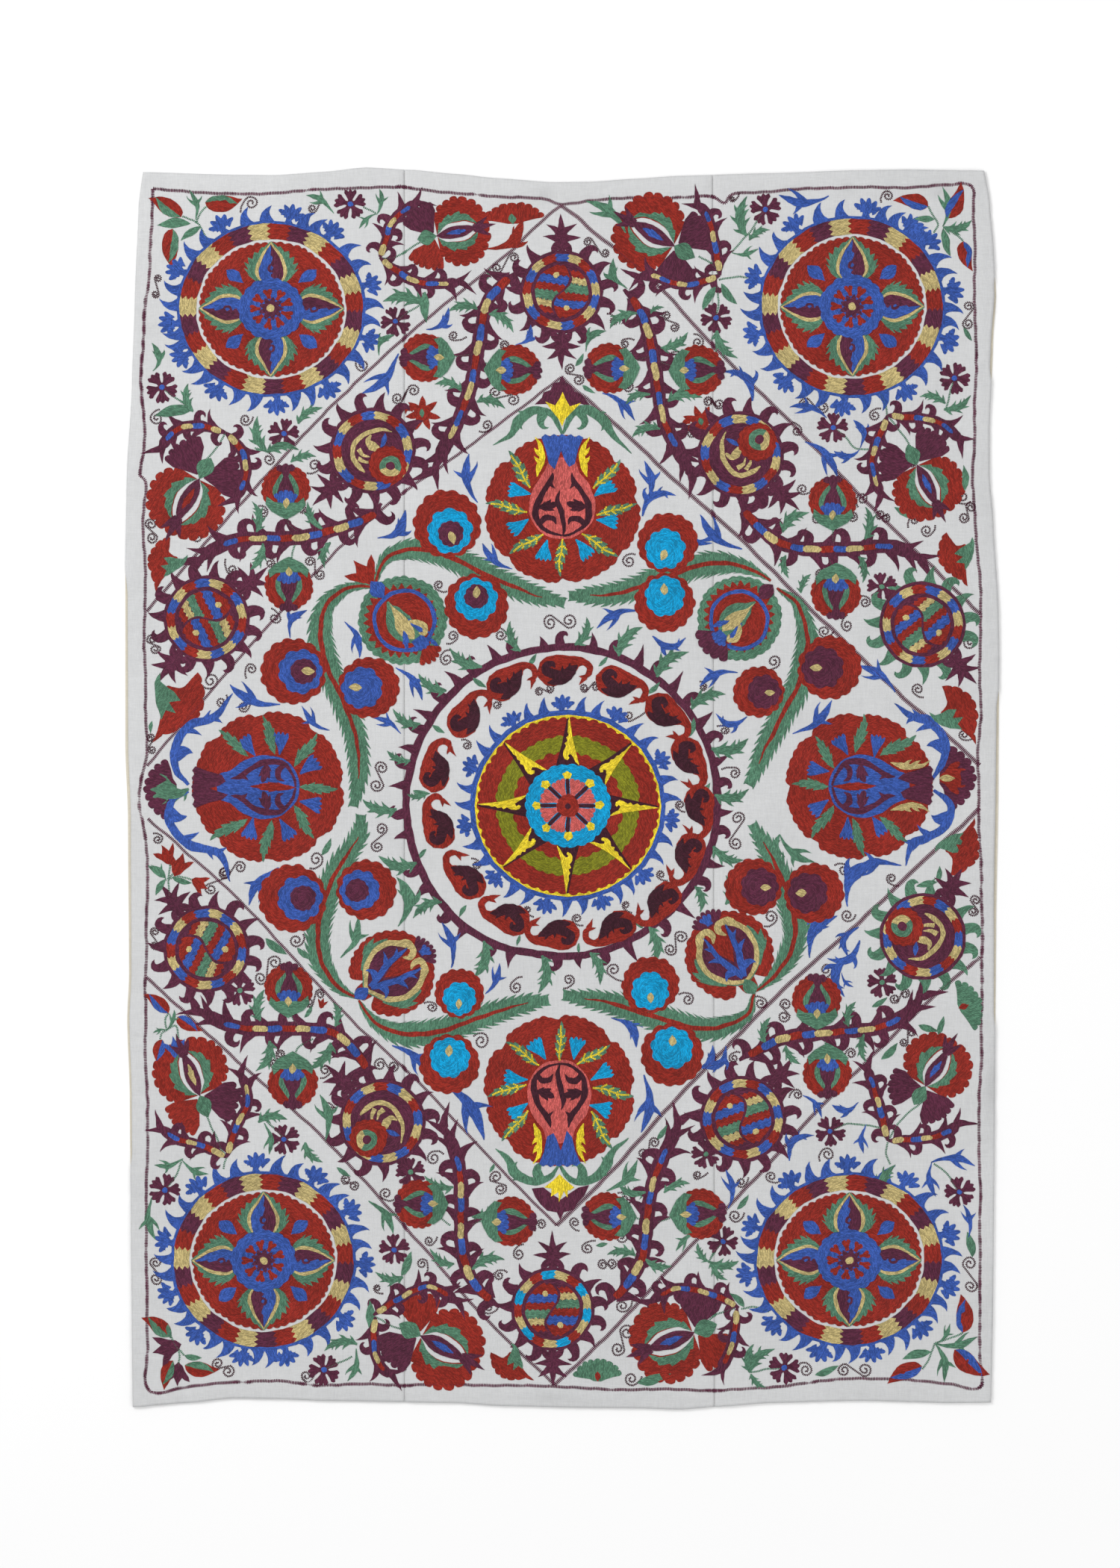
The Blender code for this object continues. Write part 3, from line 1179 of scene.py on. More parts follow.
@dataclass
class Tulip(Motif):
    """A blossom in profile: its green calyx is at the origin, and it opens upwards."""

    radius: float = 33.0

    def stitch(self) -> None:
        """Stitch it."""
        here = self.place.spot(0, 0, 0, self.radius / 33)
        self.fill(here.spot(0, 29), disc(33, 19, 3), RED, 1)
        self.fill(here.spot(0, 6), leaf(50, 36, (0,), 0.42), GREEN, 2, 0)
        self.fill(
            here, tapered([(0, 10), (0, 22), (0, 34), (0, 46), (0, 60)], [9, 12, 9, 3.5, 8.5]), PLUM, 3, 0
        )
        for x in (-8, 0, 8):
            self.fill(here.spot(x, 59 - abs(x) * 0.2), disc(5, 5, 1), PLUM, 3, 0)
        self.fill(here.spot(0, 3), fan(24, 5, 3, 92, False, 0, 11), BLUE, 4, 0)
        calyx = [
            (-25, 18), (-27, 8), (-19, -1), (-8, -7), (0, -11), (8, -7), (19, -1), (27, 8), (25, 18),
            (16, 11), (7, 11), (0, 8), (-7, 11), (-16, 11),
        ]
        self.fill(here, calyx, GREEN, 5, 90)
        self.fill(here.spot(0, 3), leaf(14, 9, (0,), 0.55), KHAKI, 6, 0)


@dataclass
class Carnation(Motif):
    """Scalloped fans round a lens-shaped bud, which points up. Its junction is at the origin."""

    outer: Thread = RED
    left_low: Thread = PLUM
    right_low: Thread = PLUM
    accent: Thread = RED
    tip: Thread = PLUM
    reach: float = 60.0

    def stitch(self) -> None:
        """Stitch it."""
        here = self.place.spot(0, 0, 0, self.reach / 60)
        self.fill(here.spot(0, -27), leaf(28, 20, (0,), 0.5), GREEN, 1, 0)
        for side, low in ((1, self.left_low), (-1, self.right_low)):
            half = here.mirrored(side < 0)
            share = np.linspace(0, 1, 64)
            lobes = 4.2 * (1 - np.sqrt(np.abs(np.sin(share * 9 * math.pi))))
            rim = round_line(43 - lobes - 6 * share, 70 + 178 * share) + np.array([-8.5, 32])
            inner = smooth_path([(-2, 2), (-11, 14), (-14, 30), (-11, 46), (-1, 62)], 5)
            self.fill(half, np.concatenate([rim, inner]), self.outer, 0, 0)
            teeth = smooth_path([(-3, 3), (-13, 15), (-17, 31), (-14, 46), (-6, 58)], 9)
            swell = np.sin(math.pi * np.linspace(0, 1, len(teeth))) ** 0.8
            saw = 0.6 + 0.4 * ((np.linspace(0, 1, len(teeth)) * 5) % 1)
            self.fill(half, ribbon(teeth, np.stack([11 * swell * saw, 2 * swell])), GREEN, 1, 20)
            self.fill(half.spot(-4, -4, 118), fan(43, 6, 3.6, 76, False, -0.35, 2.5), low, 0, 0)
        self.fill(here, leaf(60, 18, (0,), 0.46), PLUM, 2, 0)
        self.fill(here.spot(0, 14), leaf(28, 9, (0,), 0.5, 3, 0.3), self.accent, 3, 0)
        for turn, length in ((0, 28), (36, 22), (-36, 22)):
            self.fill(here.spot(0, 55, turn), horn(length, 11, (0,), 1.4, 6), self.tip, 1, 0)


@dataclass
class FivePetal(Motif):
    """A small flower of five notched petals."""

    radius: float = 20.0
    thread: Thread = PLUM
    dot: Thread = BLUE

    def stitch(self) -> None:
        """Stitch it."""
        size = self.radius / 20
        for number in range(5):
            petal = self.place.around(1, 90 + 72 * number)
            self.fill(petal, fan(20 * size, 3, 3 * size, 62, True, 0.12, 3 * size), self.thread, 0, 0)
        self.fill(self.place, disc(3.6 * size), self.dot, 1)


@dataclass
class StarFlower(Motif):
    """A red flower with pointed rays and a green middle."""

    radius: float = 24.0

    def stitch(self) -> None:
        """Stitch it."""
        size = self.radius / 24
        self.fill(self.place, star(24 * size, 11 * size, 7, 90, 1.3), RED, 0)
        self.fill(
            self.place.spot(-12 * size, 6 * size, 60), horn(18 * size, 9 * size, (60, 80), 1.5), RED, 0, 0
        )
        self.fill(self.place.spot(0, -6 * size), leaf(12 * size, 7 * size, (0,), 0.5), GREEN, 1, 0)


@dataclass
class CornerBud(Motif):
    """A bud on a stem, half red and half another colour, with its tip 100 of its own steps up."""

    side: Thread = GREEN

    def stitch(self) -> None:
        """Stitch it."""
        here = self.place
        self.fill(here, leaf(106, 46, (34,), 0.36), RED, 0, 0)
        band = [(-2, 2), (-12, 20), (-17, 42), (-17, 66), (-14, 88)]
        self.fill(here, tapered(band, [1, 9, 11, 7, 0.5]), self.side, 1, 0)


@dataclass
class Crown(Motif):
    """A plum crown of seven rays on a short neck, opening upwards from the origin."""

    reach: float = 50.0
    thread: Thread = PLUM

    def stitch(self) -> None:
        """Stitch it."""
        here = self.place.spot(0, 0, 0, self.reach / 50)
        self.fill(here, tapered([(0, -4), (0, 8), (0, 22), (0, 34)], [4.5, 5.5, 9, 3]), self.thread, 0, 0)
        self.fill(here.spot(0, 24), horn(27, 11, (4,), 1.3, 6), self.thread, 0, 0)
        for side in (1, -1):
            half = here.mirrored(side < 0)
            self.fill(half.spot(-2, 24, 48), horn(22, 10, (14,), 1.3, 6), self.thread, 0, 0)
            self.fill(half.spot(-2, 16, 74), horn(24, 11, (16,), 1.3, 6), self.thread, 0, 0)
            self.fill(half.spot(-3, 9, 98), horn(21, 11, (60, 60), 1.8, 8), self.thread, 0, 0)


class Inside(Enum):
    """What fills a banded disc."""

    SPLIT = "split"
    SERPENT = "serpent"


@dataclass
class BandDisc(Motif):
    """A disc with a ring of coloured blocks, hooks all round, and a crown at its top."""

    radius: float = 55.0
    inside: Inside = Inside.SPLIT
    crowns: tuple[float, ...] = (90, -90)
    hooks: int = 15
    turn: float = 0.0
    skin: Thread = PLUM
    block: Thread = BLUE

    def stitch(self) -> None:
        """Stitch it."""
        here = self.place.spot(0, 0, 0, self.radius / 55)
        step = 360 / self.hooks
        for number in range(self.hooks):
            at = number * step + 8
            if any(abs((at - crown + 180) % 360 - 180) < 15 for crown in self.crowns):
                continue
            if number % 2:
                hook = here.around(53, at, 14)
                self.fill(hook, horn(25, 17, (-16, -34), 1, 8), self.skin, 0, 0)
            else:
                hook = here.around(53, at, 30)
                self.fill(hook, horn(30, 14, (-50, -130), 2.4, 10), self.skin, 0, 0)
        for crown in self.crowns:
            Crown(here.around(54, crown)).sew(self.work)
        self.fill(here, disc(56), PLUM, 1)
        colours = (KHAKI, self.block, RED)
        blocks = 17
        for number in range(blocks):
            start = self.turn + number * 360 / blocks
            end = start + 360 / blocks
            self.fill(here, ring_block(41, 51.5, start, end, 2, 3.4), colours[number % 3], 2)
        if self.inside is Inside.SPLIT:
            for side in (0, 180):
                self.comma(here.spot(0, 0, self.turn + side))
        else:
            self.serpent(here.spot(0, 0, self.turn))

    def comma(self, at: Place) -> None:
        """Stitch one half of the split middle, in bands with toothed edges.

        Args:
            at: the disc's middle, turned so that this half is on the left with its head up.
        """
        colours = (RED, BLUE, RED, GREEN, KHAKI, RED)
        tops = (33, 19, 8, -2, -14, -23, -31)
        for low, high, thread in zip(tops[1:], tops, colours):
            self.fill(at, band_piece(low, high, comma_left, comma_right), thread, 2, 90)
        self.fill(at.spot(-10, 21), disc(4.2, 6, 0.8), KHAKI, 3)

    def serpent(self, at: Place) -> None:
        """Stitch the scroll and the small disc of the other kind of middle.

        Args:
            at: the disc's middle.
        """
        sweep = [(26, 24), (10, 27), (-8, 22), (-22, 10), (-26, -6), (-18, -20), (-10, -28)]
        self.fill(at, tapered(sweep, [0.6, 2.6, 3.2, 3, 3, 3.4, 0.8]), KHAKI, 2, 0)
        bird = [(-2, 20), (-6, 12), (-1, 6), (6, 2), (10, -4)]
        self.fill(at, tapered(bird, [1, 3.4, 5.6, 4.2, 0.6]), KHAKI, 2, 0)
        self.fill(at, tapered([(-18, 2), (-12, -5), (-3, -7)], [3.4, 2.4, 0.5]), KHAKI, 2, 0)
        self.fill(at, tapered([(-18, -10), (-8, -14), (0, -13)], [3, 2, 0.5]), KHAKI, 2, 0)
        self.fill(at.spot(10, 4, -30), leaf(20, 7, (20,), 0.5), BLUE, 2, 0)
        head = at.spot(20, -18)
        self.fill(head, disc(25, 15, 2.6), RED, 3)
        self.fill(head.spot(3, -2), arc_band(6, 14, -30, 200), GREEN, 4)
        self.fill(head.spot(3, -2), arc_band(5, 14, 200, 330), KHAKI, 4)
        self.fill(head.spot(3, -2), disc(5.6), PLUM, 5)


def comma_left(y: Points) -> Points:
    """The outer edge of one half of a split disc."""
    return -np.sqrt(np.maximum(36**2 - y**2, 0))


def comma_right(y: Points) -> Points:
    """The S-shaped inner edge of one half of a split disc."""
    return 9.5 * np.sin(y * math.pi / 36) - 1.8


def band_piece(
    low: float,
    high: float,
    left: Callable[[Points], Points],
    right: Callable[[Points], Points],
) -> Points:
    """A level band between two edges, with a toothed top and bottom.

    Args:
        low: its bottom.
        high: its top.
        left: the left edge at a height.
        right: the right edge at a height.

    Returns:
        The outline.
    """
    ys = np.linspace(low, high, 4)
    left_side = np.stack([left(ys), ys], axis=1)
    right_side = np.stack([right(ys), ys], axis=1)[::-1]
    count = max(5, int((right_side[0][0] - left_side[-1][0]) / 3.2) | 1)
    share = np.linspace(0, 1, count)[1:-1]
    jag = np.where(np.arange(count - 2) % 2 == 0, BAND_TOOTH, 0)
    rise = np.stack([0 * jag, jag], axis=1)
    top = left_side[-1] + (right_side[0] - left_side[-1]) * share[:, None] + rise
    bottom = right_side[-1] + (left_side[0] - right_side[-1]) * share[:, None] + rise
    return np.concatenate([left_side, top, right_side, bottom])


def loop(points: Sequence[Pair]) -> Points:
    """A smooth closed outline through points.

    Args:
        points: the places it passes, in order.

    Returns:
        The outline.
    """
    knots = np.array(points, float)
    share = (np.arange(LOOP_STEPS) / LOOP_STEPS)[:, None]
    out = []
    for number in range(len(knots)):
        before, start, end, after = (knots[(number + shift) % len(knots)] for shift in (-1, 0, 1, 2))
        second = (2 * before - 5 * start + 4 * end - after) * share**2
        third = (3 * start - before - 3 * end + after) * share**3
        out.append((2 * start + (end - before) * share + second + third) / 2)
    return np.concatenate(out)


def mirrored(points: Sequence[Pair]) -> list[Pair]:
    """A half outline from top to bottom on the left, closed with its mirror image on the right."""
    return list(points) + [(-x, y) for x, y in reversed(points) if abs(x) > 0.01]


@dataclass(frozen=True)
class BulbColours:
    """The threads of one great pomegranate."""

    bulb: Thread
    inner: Thread
    crown: Thread
    petal: Thread
    hook: Optional[Thread]
    lance: Optional[Thread] = None
    veins: bool = True


@dataclass
class Pomegranate(Motif):
    """A great red blossom with an onion-shaped fruit on it, whose neck points up."""

    colours: BulbColours
    radius: float = 102.0
    sprigs: tuple[tuple[float, float, float, float], ...] = (
        (-42, 28, -76, 76),
        (-45, -4, -101, 2),
        (-24, -34, -66, -66),
        (0, -40, 3, -93),
        (26, -34, 76, -60),
        (44, -8, 95, 14),
        (41, 27, 72, 72),
    )

    def stitch(self) -> None:
        """Stitch the blossom, its petals and sprigs, and the fruit."""
        here = self.place
        degrees = np.linspace(0, 360, 46 * 7, endpoint=False)
        notch = 1 - np.sqrt(np.abs(np.cos(np.radians(degrees) * 23)))
        radii = self.radius - 3.4 * notch
        for sprig in self.sprigs:
            tip = math.degrees(math.atan2(sprig[3], sprig[2]))
            away = (degrees - tip + 180) % 360 - 180
            radii = radii - 6 * np.exp(-((away / 5) ** 2))
        self.fill(here, round_line(radii, degrees), RED, 0)
        for sprig in self.sprigs:
            self.sprig(inner_span(here, *sprig))
        middles = [math.degrees(math.atan2(sprig[3], sprig[2])) % 360 for sprig in self.sprigs]
        for first, second in zip(middles, middles[1:]):
            at = first + ((second - first) % 360) / 2
            petal = here.around(62, at, 10)
            self.fill(petal.spot(0, -17), fan(31, 4, 4, 48, True, 0, 0.8), self.colours.petal, 1, 0)
        self.fruit()

    def sprig(self, at: Place) -> None:
        """Stitch one green sprig with yellow veins, 100 steps long.

        Args:
            at: its foot.
        """
        self.fill(at, leaf(100, 34, (-16, 24), 0.45, 5, 0.45), GREEN, 1, 0)
        if not self.colours.veins:
            return
        line = spine(88, (-16, 24), steps=12)
        self.line(at, line, YELLOW, 2.8, 2)
        for share in (0.2, 0.42, 0.64):
            for side in (1, -1):
                vein = Place(at.matrix @ along(line, share, side, 42).matrix)
                self.line(vein, np.array([(0, 3), (0, 20 - 10 * share)]), YELLOW, 2.6, 2)

    def fruit(self) -> None:
        """Stitch the fruit with its crown, its hooks and its inner leaves."""
        here, colours = self.place, self.colours
        crown = [
            (-28, 98), (-23, 102), (-17, 99), (-11, 103), (-5, 100), (0, 103), (6, 100), (12, 103), (17, 99),
            (22, 102), (27, 98), (21, 82), (16, 62), (8, 57), (3, 66), (-2, 80), (-6, 66), (-10, 54),
            (-17, 62), (-21, 80),
        ]
        self.fill(here, crown, colours.crown, 3, 0)
        bulb = loop(mirrored([(-14, 68), (-22, 52), (-36, 32), (-43, 6), (-38, -18), (-22, -35), (0, -41)]))
        self.fill(here, bulb, colours.bulb, 2, 0)
        for side in (1, -1):
            half = here.mirrored(side < 0)
            if colours.hook:
                rim = [(-35, 98), (-28, 86), (-26, 70), (-29, 58), (-33, 44)]
                self.fill(half, tapered(rim, [0.5, 3, 3.8, 4.8, 0.5]), colours.hook, 3, 0)
                for y in (64, 76):
                    self.fill(half.spot(-28, y, 62), horn(12, 9, (-40,), 1, 6), colours.hook, 3, 0)
            side_line = [
                (-12, 50), (-15, 38), (-26, 22), (-33, 6), (-34, -10), (-28, -23), (-15, -32), (-1, -36)
            ]
            self.fill(half, tapered(side_line, [0.5, 3.8, 3.2, 4.5, 4, 2.8, 2, 1.4]), colours.inner, 3, 0)
            curl = [(-29, -20), (-22, -13), (-12, -14), (-8, -21)]
            self.fill(half, tapered(curl, [3.4, 4.2, 3.4, 0.5]), colours.inner, 3, 0)
            self.fill(half.spot(-31, 2, -84), leaf(26, 20, (16,), 0.45, 3, 0.4), colours.inner, 3, 0)
            self.fill(half.spot(-16, 37, -150), horn(12, 8, (20,), 1, 6), colours.inner, 3, 0)
        if colours.lance:
            self.fill(here.spot(0, -37), leaf(62, 13, (0,), 0.5, 5, 0.25), colours.lance, 4, 0)
        else:
            stem = [(-3, 26), (-6, 12), (-1, -6), (2, -22), (0, -37)]
            self.fill(here, tapered(stem, [0.5, 3.4, 3.8, 2.8, 0.8]), colours.inner, 3, 0)


def inner_span(place: Place, x: float, y: float, to_x: float, to_y: float, flip: bool = False) -> Place:
    """A place inside another that runs from one point to another in 100 steps.

    Args:
        place: the outer place.
        x: where it starts, to the right.
        y: where it starts, upwards.
        to_x: where it ends, to the right.
        to_y: where it ends, upwards.
        flip: whether what it holds is mirrored.

    Returns:
        The inner place.
    """
    turn = math.degrees(math.atan2(to_y - y, to_x - x)) - 90
    return place.spot(x, y, turn, math.hypot(to_x - x, to_y - y) / 100, 1, flip)


@dataclass
class KnotDisc(Motif):
    """A scalloped blossom at the root of two feathers, with a leafy middle. Its stem is at its top."""

    radius: float = 59.0
    skin: Thread = GREEN
    field: Thread = RED
    ring: Thread = BLUE
    plume: Thread = KHAKI
    knob: Thread = BLUE
    foot: Thread = RED
    foot_reach: float = 26.0

    def stitch(self) -> None:
        """Stitch it."""
        here = self.place.spot(0, 0, 0, self.radius / 59)
        self.fill(here, disc(59, 30, 3.4), self.skin, 0)
        if self.field is not self.skin:
            self.fill(here.spot(-2, 1), star(50, 42, 26, 90, 0.9), self.field, 1)
        self.fill(here.spot(2, -2), disc(42.5), self.ring, 2)
        self.fill(here.spot(2, -2), disc(37), self.field, 3)
        acanthus = chord_line(66, -6)
        thorns = (
            Thorn(0.20, 1, 20, 14, 60, 90, 1.6),
            Thorn(0.42, 1, 22, 18, 58, 20),
            Thorn(0.66, 1, 18, 14, 50, 20),
            Thorn(0.26, -1, 18, 12, 60, 90, 1.6),
            Thorn(0.48, -1, 20, 16, 56, 20),
            Thorn(0.70, -1, 18, 14, 50, 20),
        )
        low = here.spot(0, 32, 180)
        self.thorny(low, GREEN, acanthus, (1, 5, 13, 17, 17, 12, 6), thorns, 4)
        self.fill(here.spot(0, 30, 180), leaf(60, 20, (-10, 16), 0.66), self.plume, 5, 0)
        curl = [(6, -6), (14, -14), (18, -24), (12, -32), (6, -26)]
        self.fill(here, tapered(curl, [1.5, 4, 4, 3.4, 1]), self.plume, 6, 0)
        self.fill(here.spot(7, -2, 190), leaf(36, 13, (14,), 0.5, 3, 0.4), self.ring, 6, 0)
        self.fill(here.spot(-7, -10, 160), leaf(28, 10, (-14,), 0.5, 3, 0.4), self.ring, 6, 0)
        heel = self.foot_reach - 68
        self.fill(here.spot(0, heel, 180), fan(self.foot_reach, 5, 4, 96, False, 0, 7), self.foot, 4, 0)
        self.fill(here.spot(0, -30, 180), fan(18, 5, 2, 110, False, 0, 9), self.ring, 5, 0)
        self.fill(here.spot(0, 39), leaf(27, 20, (0,), 0.5), self.knob, 5, 0)


@dataclass
class PodDisc(Motif):
    """A scalloped red blossom at the root of two feathers, with a khaki pod on it. Its stem is at its top."""

    radius: float = 58.0
    knob: Thread = BLUE

    def stitch(self) -> None:
        """Stitch it."""
        here = self.place.spot(0, 0, 180, self.radius / 58)
        degrees = np.linspace(0, 360, 28 * 7, endpoint=False)
        radii = 58 - 3.8 * (1 - np.sqrt(np.abs(np.cos(np.radians(degrees) * 14))))
        for dip in (252, 288):
            radii = radii - 17 * np.exp(-(((degrees - dip) / 7) ** 2))
        self.fill(here, round_line(radii, degrees), RED, 0)
        self.fill(here.spot(0, 34), fan(32, 7, 4.5, 96, False, 0, 8), PLUM, 1, 0)
        self.fill(here.spot(0, -44), leaf(80, 112, (0,), 0.46, 7, 0.13, lean=0.18), GREEN, 1, 20)
        khaki = mirrored([(-14, 42), (-28, 35), (-39, 18), (-40, -3), (-30, -25), (-12, -37), (0, -41)])
        self.fill(here, loop(khaki), KHAKI, 2, 0)
        plum = mirrored([(-10, 38), (-22, 30), (-32, 15), (-33, -3), (-24, -21), (-9, -33), (0, -37)])
        self.fill(here, loop(plum), PLUM, 3, 0)
        gap = mirrored([(-15, 44), (-13, 28), (-10, 8), (0, -12)])
        self.fill(here, gap, RED, 4, 0)
        line = smooth_path([(-1, -34), (-7, -16), (-13, 2), (-15, 20), (-17, 36)], 6)
        thorns = (
            Thorn(0.18, 1, 21, 12, 62, -90, 1.5),
            Thorn(0.48, 1, 19, 9, 46, -30, 1.2),
            Thorn(0.70, 1, 13, 7, 44, -20),
        )
        for side in (1, -1):
            half = here.mirrored(side < 0)
            self.thorny(half, BLUE, line, (3, 4.6, 4.2, 3.6, 3, 0.6), thorns, 5)
            curl = [(-30, 29), (-22, 40), (-9, 41), (-5, 32), (-10, 24)]
            self.fill(half, tapered(curl, [2, 4, 4.6, 4.2, 1]), KHAKI, 6, 0)
        self.fill(here.spot(0, 46), fan(15, 3, 3, 80, False, 0, 4), BLUE, 2, 0)
        self.fill(here.spot(0, -61), leaf(24, 18, (0,), 0.5), self.knob, 3, 0)


@dataclass
class Area(Motif):
    """One area, drawn by chart places."""

    outline: tuple[Pair, ...]
    thread: Thread
    layer: int = 0

    def stitch(self) -> None:
        """Stitch it."""
        self.fill(self.place, chart(self.outline), self.thread, self.layer, 0)


VineRow = tuple[float, float, float, float]


@dataclass
class VineRing(Motif):
    """The plum ring round the middle, with pairs of a thorn and a curl on its outer side."""

    radii: tuple[float, ...]
    pairs: tuple[VineRow, ...]

    def stitch(self) -> None:
        """Stitch the ring and what stands on it."""
        degrees = np.linspace(0, 360, 181)
        knots = np.linspace(0, 360, len(self.radii) + 1)
        rows = np.array(self.radii + self.radii[:1])
        radii = smooth_interp(degrees, knots, rows)
        line = round_line(radii, degrees)
        for start in range(0, 180, 30):
            part = line[start : start + 31]
            self.fill(self.place, ribbon(part, np.full(len(part), 5)), PLUM, 0, 0)
        middle = self.place.matrix[:2, 2]
        for tip_x, tip_y, curl_x, curl_y in self.pairs:
            for x, y, curled in ((tip_x, tip_y, False), (curl_x, curl_y, True)):
                off = np.array([x, -y]) - middle
                angle = math.degrees(math.atan2(off[1], off[0])) % 360
                reach = float(np.hypot(*off)) - float(smooth_interp(np.array([angle]), knots, rows)[0])
                foot = self.place.around(float(np.hypot(*off)) - reach - 1, angle - (0 if curled else -3), 0)
                if curled:
                    at = foot.spot(4, 0, 18)
                    self.fill(at, horn(reach + 22, 13.5, (-6, -70, -125), 2.6, 12), PLUM, 0, 0)
                else:
                    at = foot.spot(2, 0, -4)
                    self.fill(at, horn(reach + 8, 18, (24,), 0.85, 8), PLUM, 0, 0)


def smooth_interp(values: Points, knots: Points, rows: Points) -> Points:
    """Read a table smoothly.

    Args:
        values: where to read it.
        knots: the table's places.
        rows: the table's values.

    Returns:
        The values read.
    """
    row = np.clip(np.searchsorted(knots, values, side="right") - 1, 0, len(knots) - 2)
    share = (values - knots[row]) / (knots[row + 1] - knots[row])
    share = share * share * (3 - 2 * share)
    return rows[row] + (rows[row + 1] - rows[row]) * share


def coil(middle: Points, radius: float, heading: float, side: float) -> Points:
    """A coil that winds out from its middle and leaves in a given direction.

    Args:
        middle: its middle.
        radius: its outer radius.
        heading: the direction in which it leaves, in degrees.
        side: 1 to wind anticlockwise, -1 clockwise.

    Returns:
        The points along it, from the inside out.
    """
    degrees = np.linspace(-COIL_TURNS * 360, 0, int(COIL_TURNS * 14))
    radii = 1 + (radius - 1) * (1 + degrees / (COIL_TURNS * 360)) ** 0.85
    return middle + round_line(radii, heading - side * 90 + side * degrees)


@dataclass
class Curl(Motif):
    """A fine dark coil with a tail, by chart places."""

    middle: Pair
    radius: float
    tail: Pair
    side: float = 1.0

    def stitch(self) -> None:
        """Stitch it."""
        start, end = chart([self.middle])[0], chart([self.tail])[0]
        heading = math.degrees(math.atan2(end[1] - start[1], end[0] - start[0])) + self.side * 24
        line = coil(start, self.radius, heading, self.side)
        self.line(
            self.place,
            np.concatenate([line, [line[-1] * 0.45 + end * 0.55 + (line[-1] - start) * 0.2, end]]), DARK, 3.7,
        )


@dataclass
class CurlPair(Motif):
    """Two fine dark coils joined in an S, by chart places."""

    first: Pair
    second: Pair
    radius: float = 7.0
    side: float = 1.0

    def stitch(self) -> None:
        """Stitch them."""
        start, end = chart([self.first])[0], chart([self.second])[0]
        heading = math.degrees(math.atan2(end[1] - start[1], end[0] - start[0]))
        out = coil(start, self.radius, heading + self.side * 14, self.side)
        back = coil(end, self.radius, heading + 180 + self.side * 14, self.side)[::-1]
        self.line(self.place, np.concatenate([out, back]), DARK, 3.7)


@dataclass
class Stem(Motif):
    """A stitched line through chart places."""

    route: tuple[Pair, ...]
    thread: Thread = GREEN
    width: float = 3.8

    def stitch(self) -> None:
        """Stitch it."""
        self.line(self.place, smooth_path(chart(self.route), 8), self.thread, self.width)


@dataclass
class HalfBlossom(Motif):
    """A blossom in profile, from its tail at the origin to its red horn 100 of its steps up."""

    red: Thread = RED
    green: Thread = GREEN

    def stitch(self) -> None:
        """Stitch it."""
        rim = smooth_path([(1, 100), (12, 91), (22, 76), (27, 62), (25, 46), (17, 31), (5, 15), (0, 0)], 8)
        share = np.linspace(0, 1, len(rim))
        lobes = 3.6 * np.sqrt(np.abs(np.sin(share * math.pi * 7))) * np.sin(math.pi * share) ** 0.4
        rim = rim + normals_of(rim) * lobes[:, None]
        inner = smooth_path(
            [(0, 0), (-2, 12), (-8, 30), (-19, 46), (-22, 66), (-14, 69), (-5, 74), (-2, 86), (1, 100)], 5
        )
        self.fill(self.place, np.concatenate([rim, inner]), self.red, 0, 0)
        back = smooth_path([(-37, 76), (-37, 65), (-31, 53), (-19, 39), (-6, 29)], 6)
        teeth = np.array([(-8, 40), (5, 45), (-9, 51), (2, 60), (-10, 65), (-22, 66), (-31, 68)], dtype=float)
        self.fill(self.place, np.concatenate([back, teeth]), self.green, 1, 0)


@dataclass
class Bell(Motif):
    """A small tulip: its foot is at the origin, and its three pointed petals reach 30 steps up."""

    thread: Thread = RED
    inner: Optional[Thread] = None

    def stitch(self) -> None:
        """Stitch it."""
        cup = [
            (0, 0), (-6, 5), (-9, 12), (-15, 20), (-17, 27), (-10, 24), (-6, 21), (-2, 27), (0, 33), (3, 27),
            (6, 21), (10, 24), (17, 27), (14, 19), (9, 12), (6, 5),
        ]
        self.fill(self.place, cup, self.thread, 0, 0)
        if self.inner:
            self.fill(self.place.spot(0, 5), leaf(20, 7, (0,), 0.5), self.inner, 1, 0)


@dataclass
class ScrollSpray(Motif):
    """A long bent stem with leaves along it, by chart places."""

    route: tuple[Pair, ...]
    thread: Thread
    halves: tuple[float, ...]
    thorns: tuple[Thorn, ...]

    def stitch(self) -> None:
        """Stitch it."""
        self.thorny(self.place, self.thread, smooth_path(chart(self.route), 10), self.halves, self.thorns)


@dataclass
class SideFan(Motif):
    """A scalloped half flower on the border: its foot is at the origin, and it opens upwards."""

    outer: Thread
    inner: Thread
    heart: Thread
    radius: float = 40.0

    def stitch(self) -> None:
        """Stitch it."""
        here = self.place.spot(0, 0, 0, self.radius / 40)
        rim = fan(40, 9, 4, 150, False, 0, 6)
        self.fill(here, rim * np.array([1.08, 0.9]), self.outer, 0, 0)
        self.fill(here, fan(28, 5, 7, 118, True, 0, 4), self.inner, 1, 0)
        self.fill(here.spot(0, -1), leaf(17, 10, (0,), 0.5), self.heart, 2, 0)


# A place that leaves chart places as they are
WHOLE = Place.at(0, 0)

SALMON_BULB = BulbColours(SALMON, DARK, BLUE, TURQUOISE, YELLOW)
BLUE_BULB = BulbColours(BLUE, PLUM, PLUM, BLUE, None, RED, False)
BLUE_BULB_HOOKED = BulbColours(BLUE, PLUM, PLUM, BLUE, KHAKI, RED, False)

MEDALLIONS = (
    (363.5, 414, 1.235, 0.93, (119, 79, 54, 15, -19, -56, -87, -122, -150, -171, 156)),
    (1141, 411, 1.22, 0.975, (81.5, 54.5, 125, 41.5, 163, 9.5, 196, -20, -131, -58, -95)),
    (353, 1688, 1.21, 0.967, (94, 59, 31, -2, -37, -77, -102, -131, -160, 168, 131)),
    (1137, 1687, 1.24, 0.92, (91, 56, 16, -16, -46, -77, -106, -137, -171, 159, 125)),
)

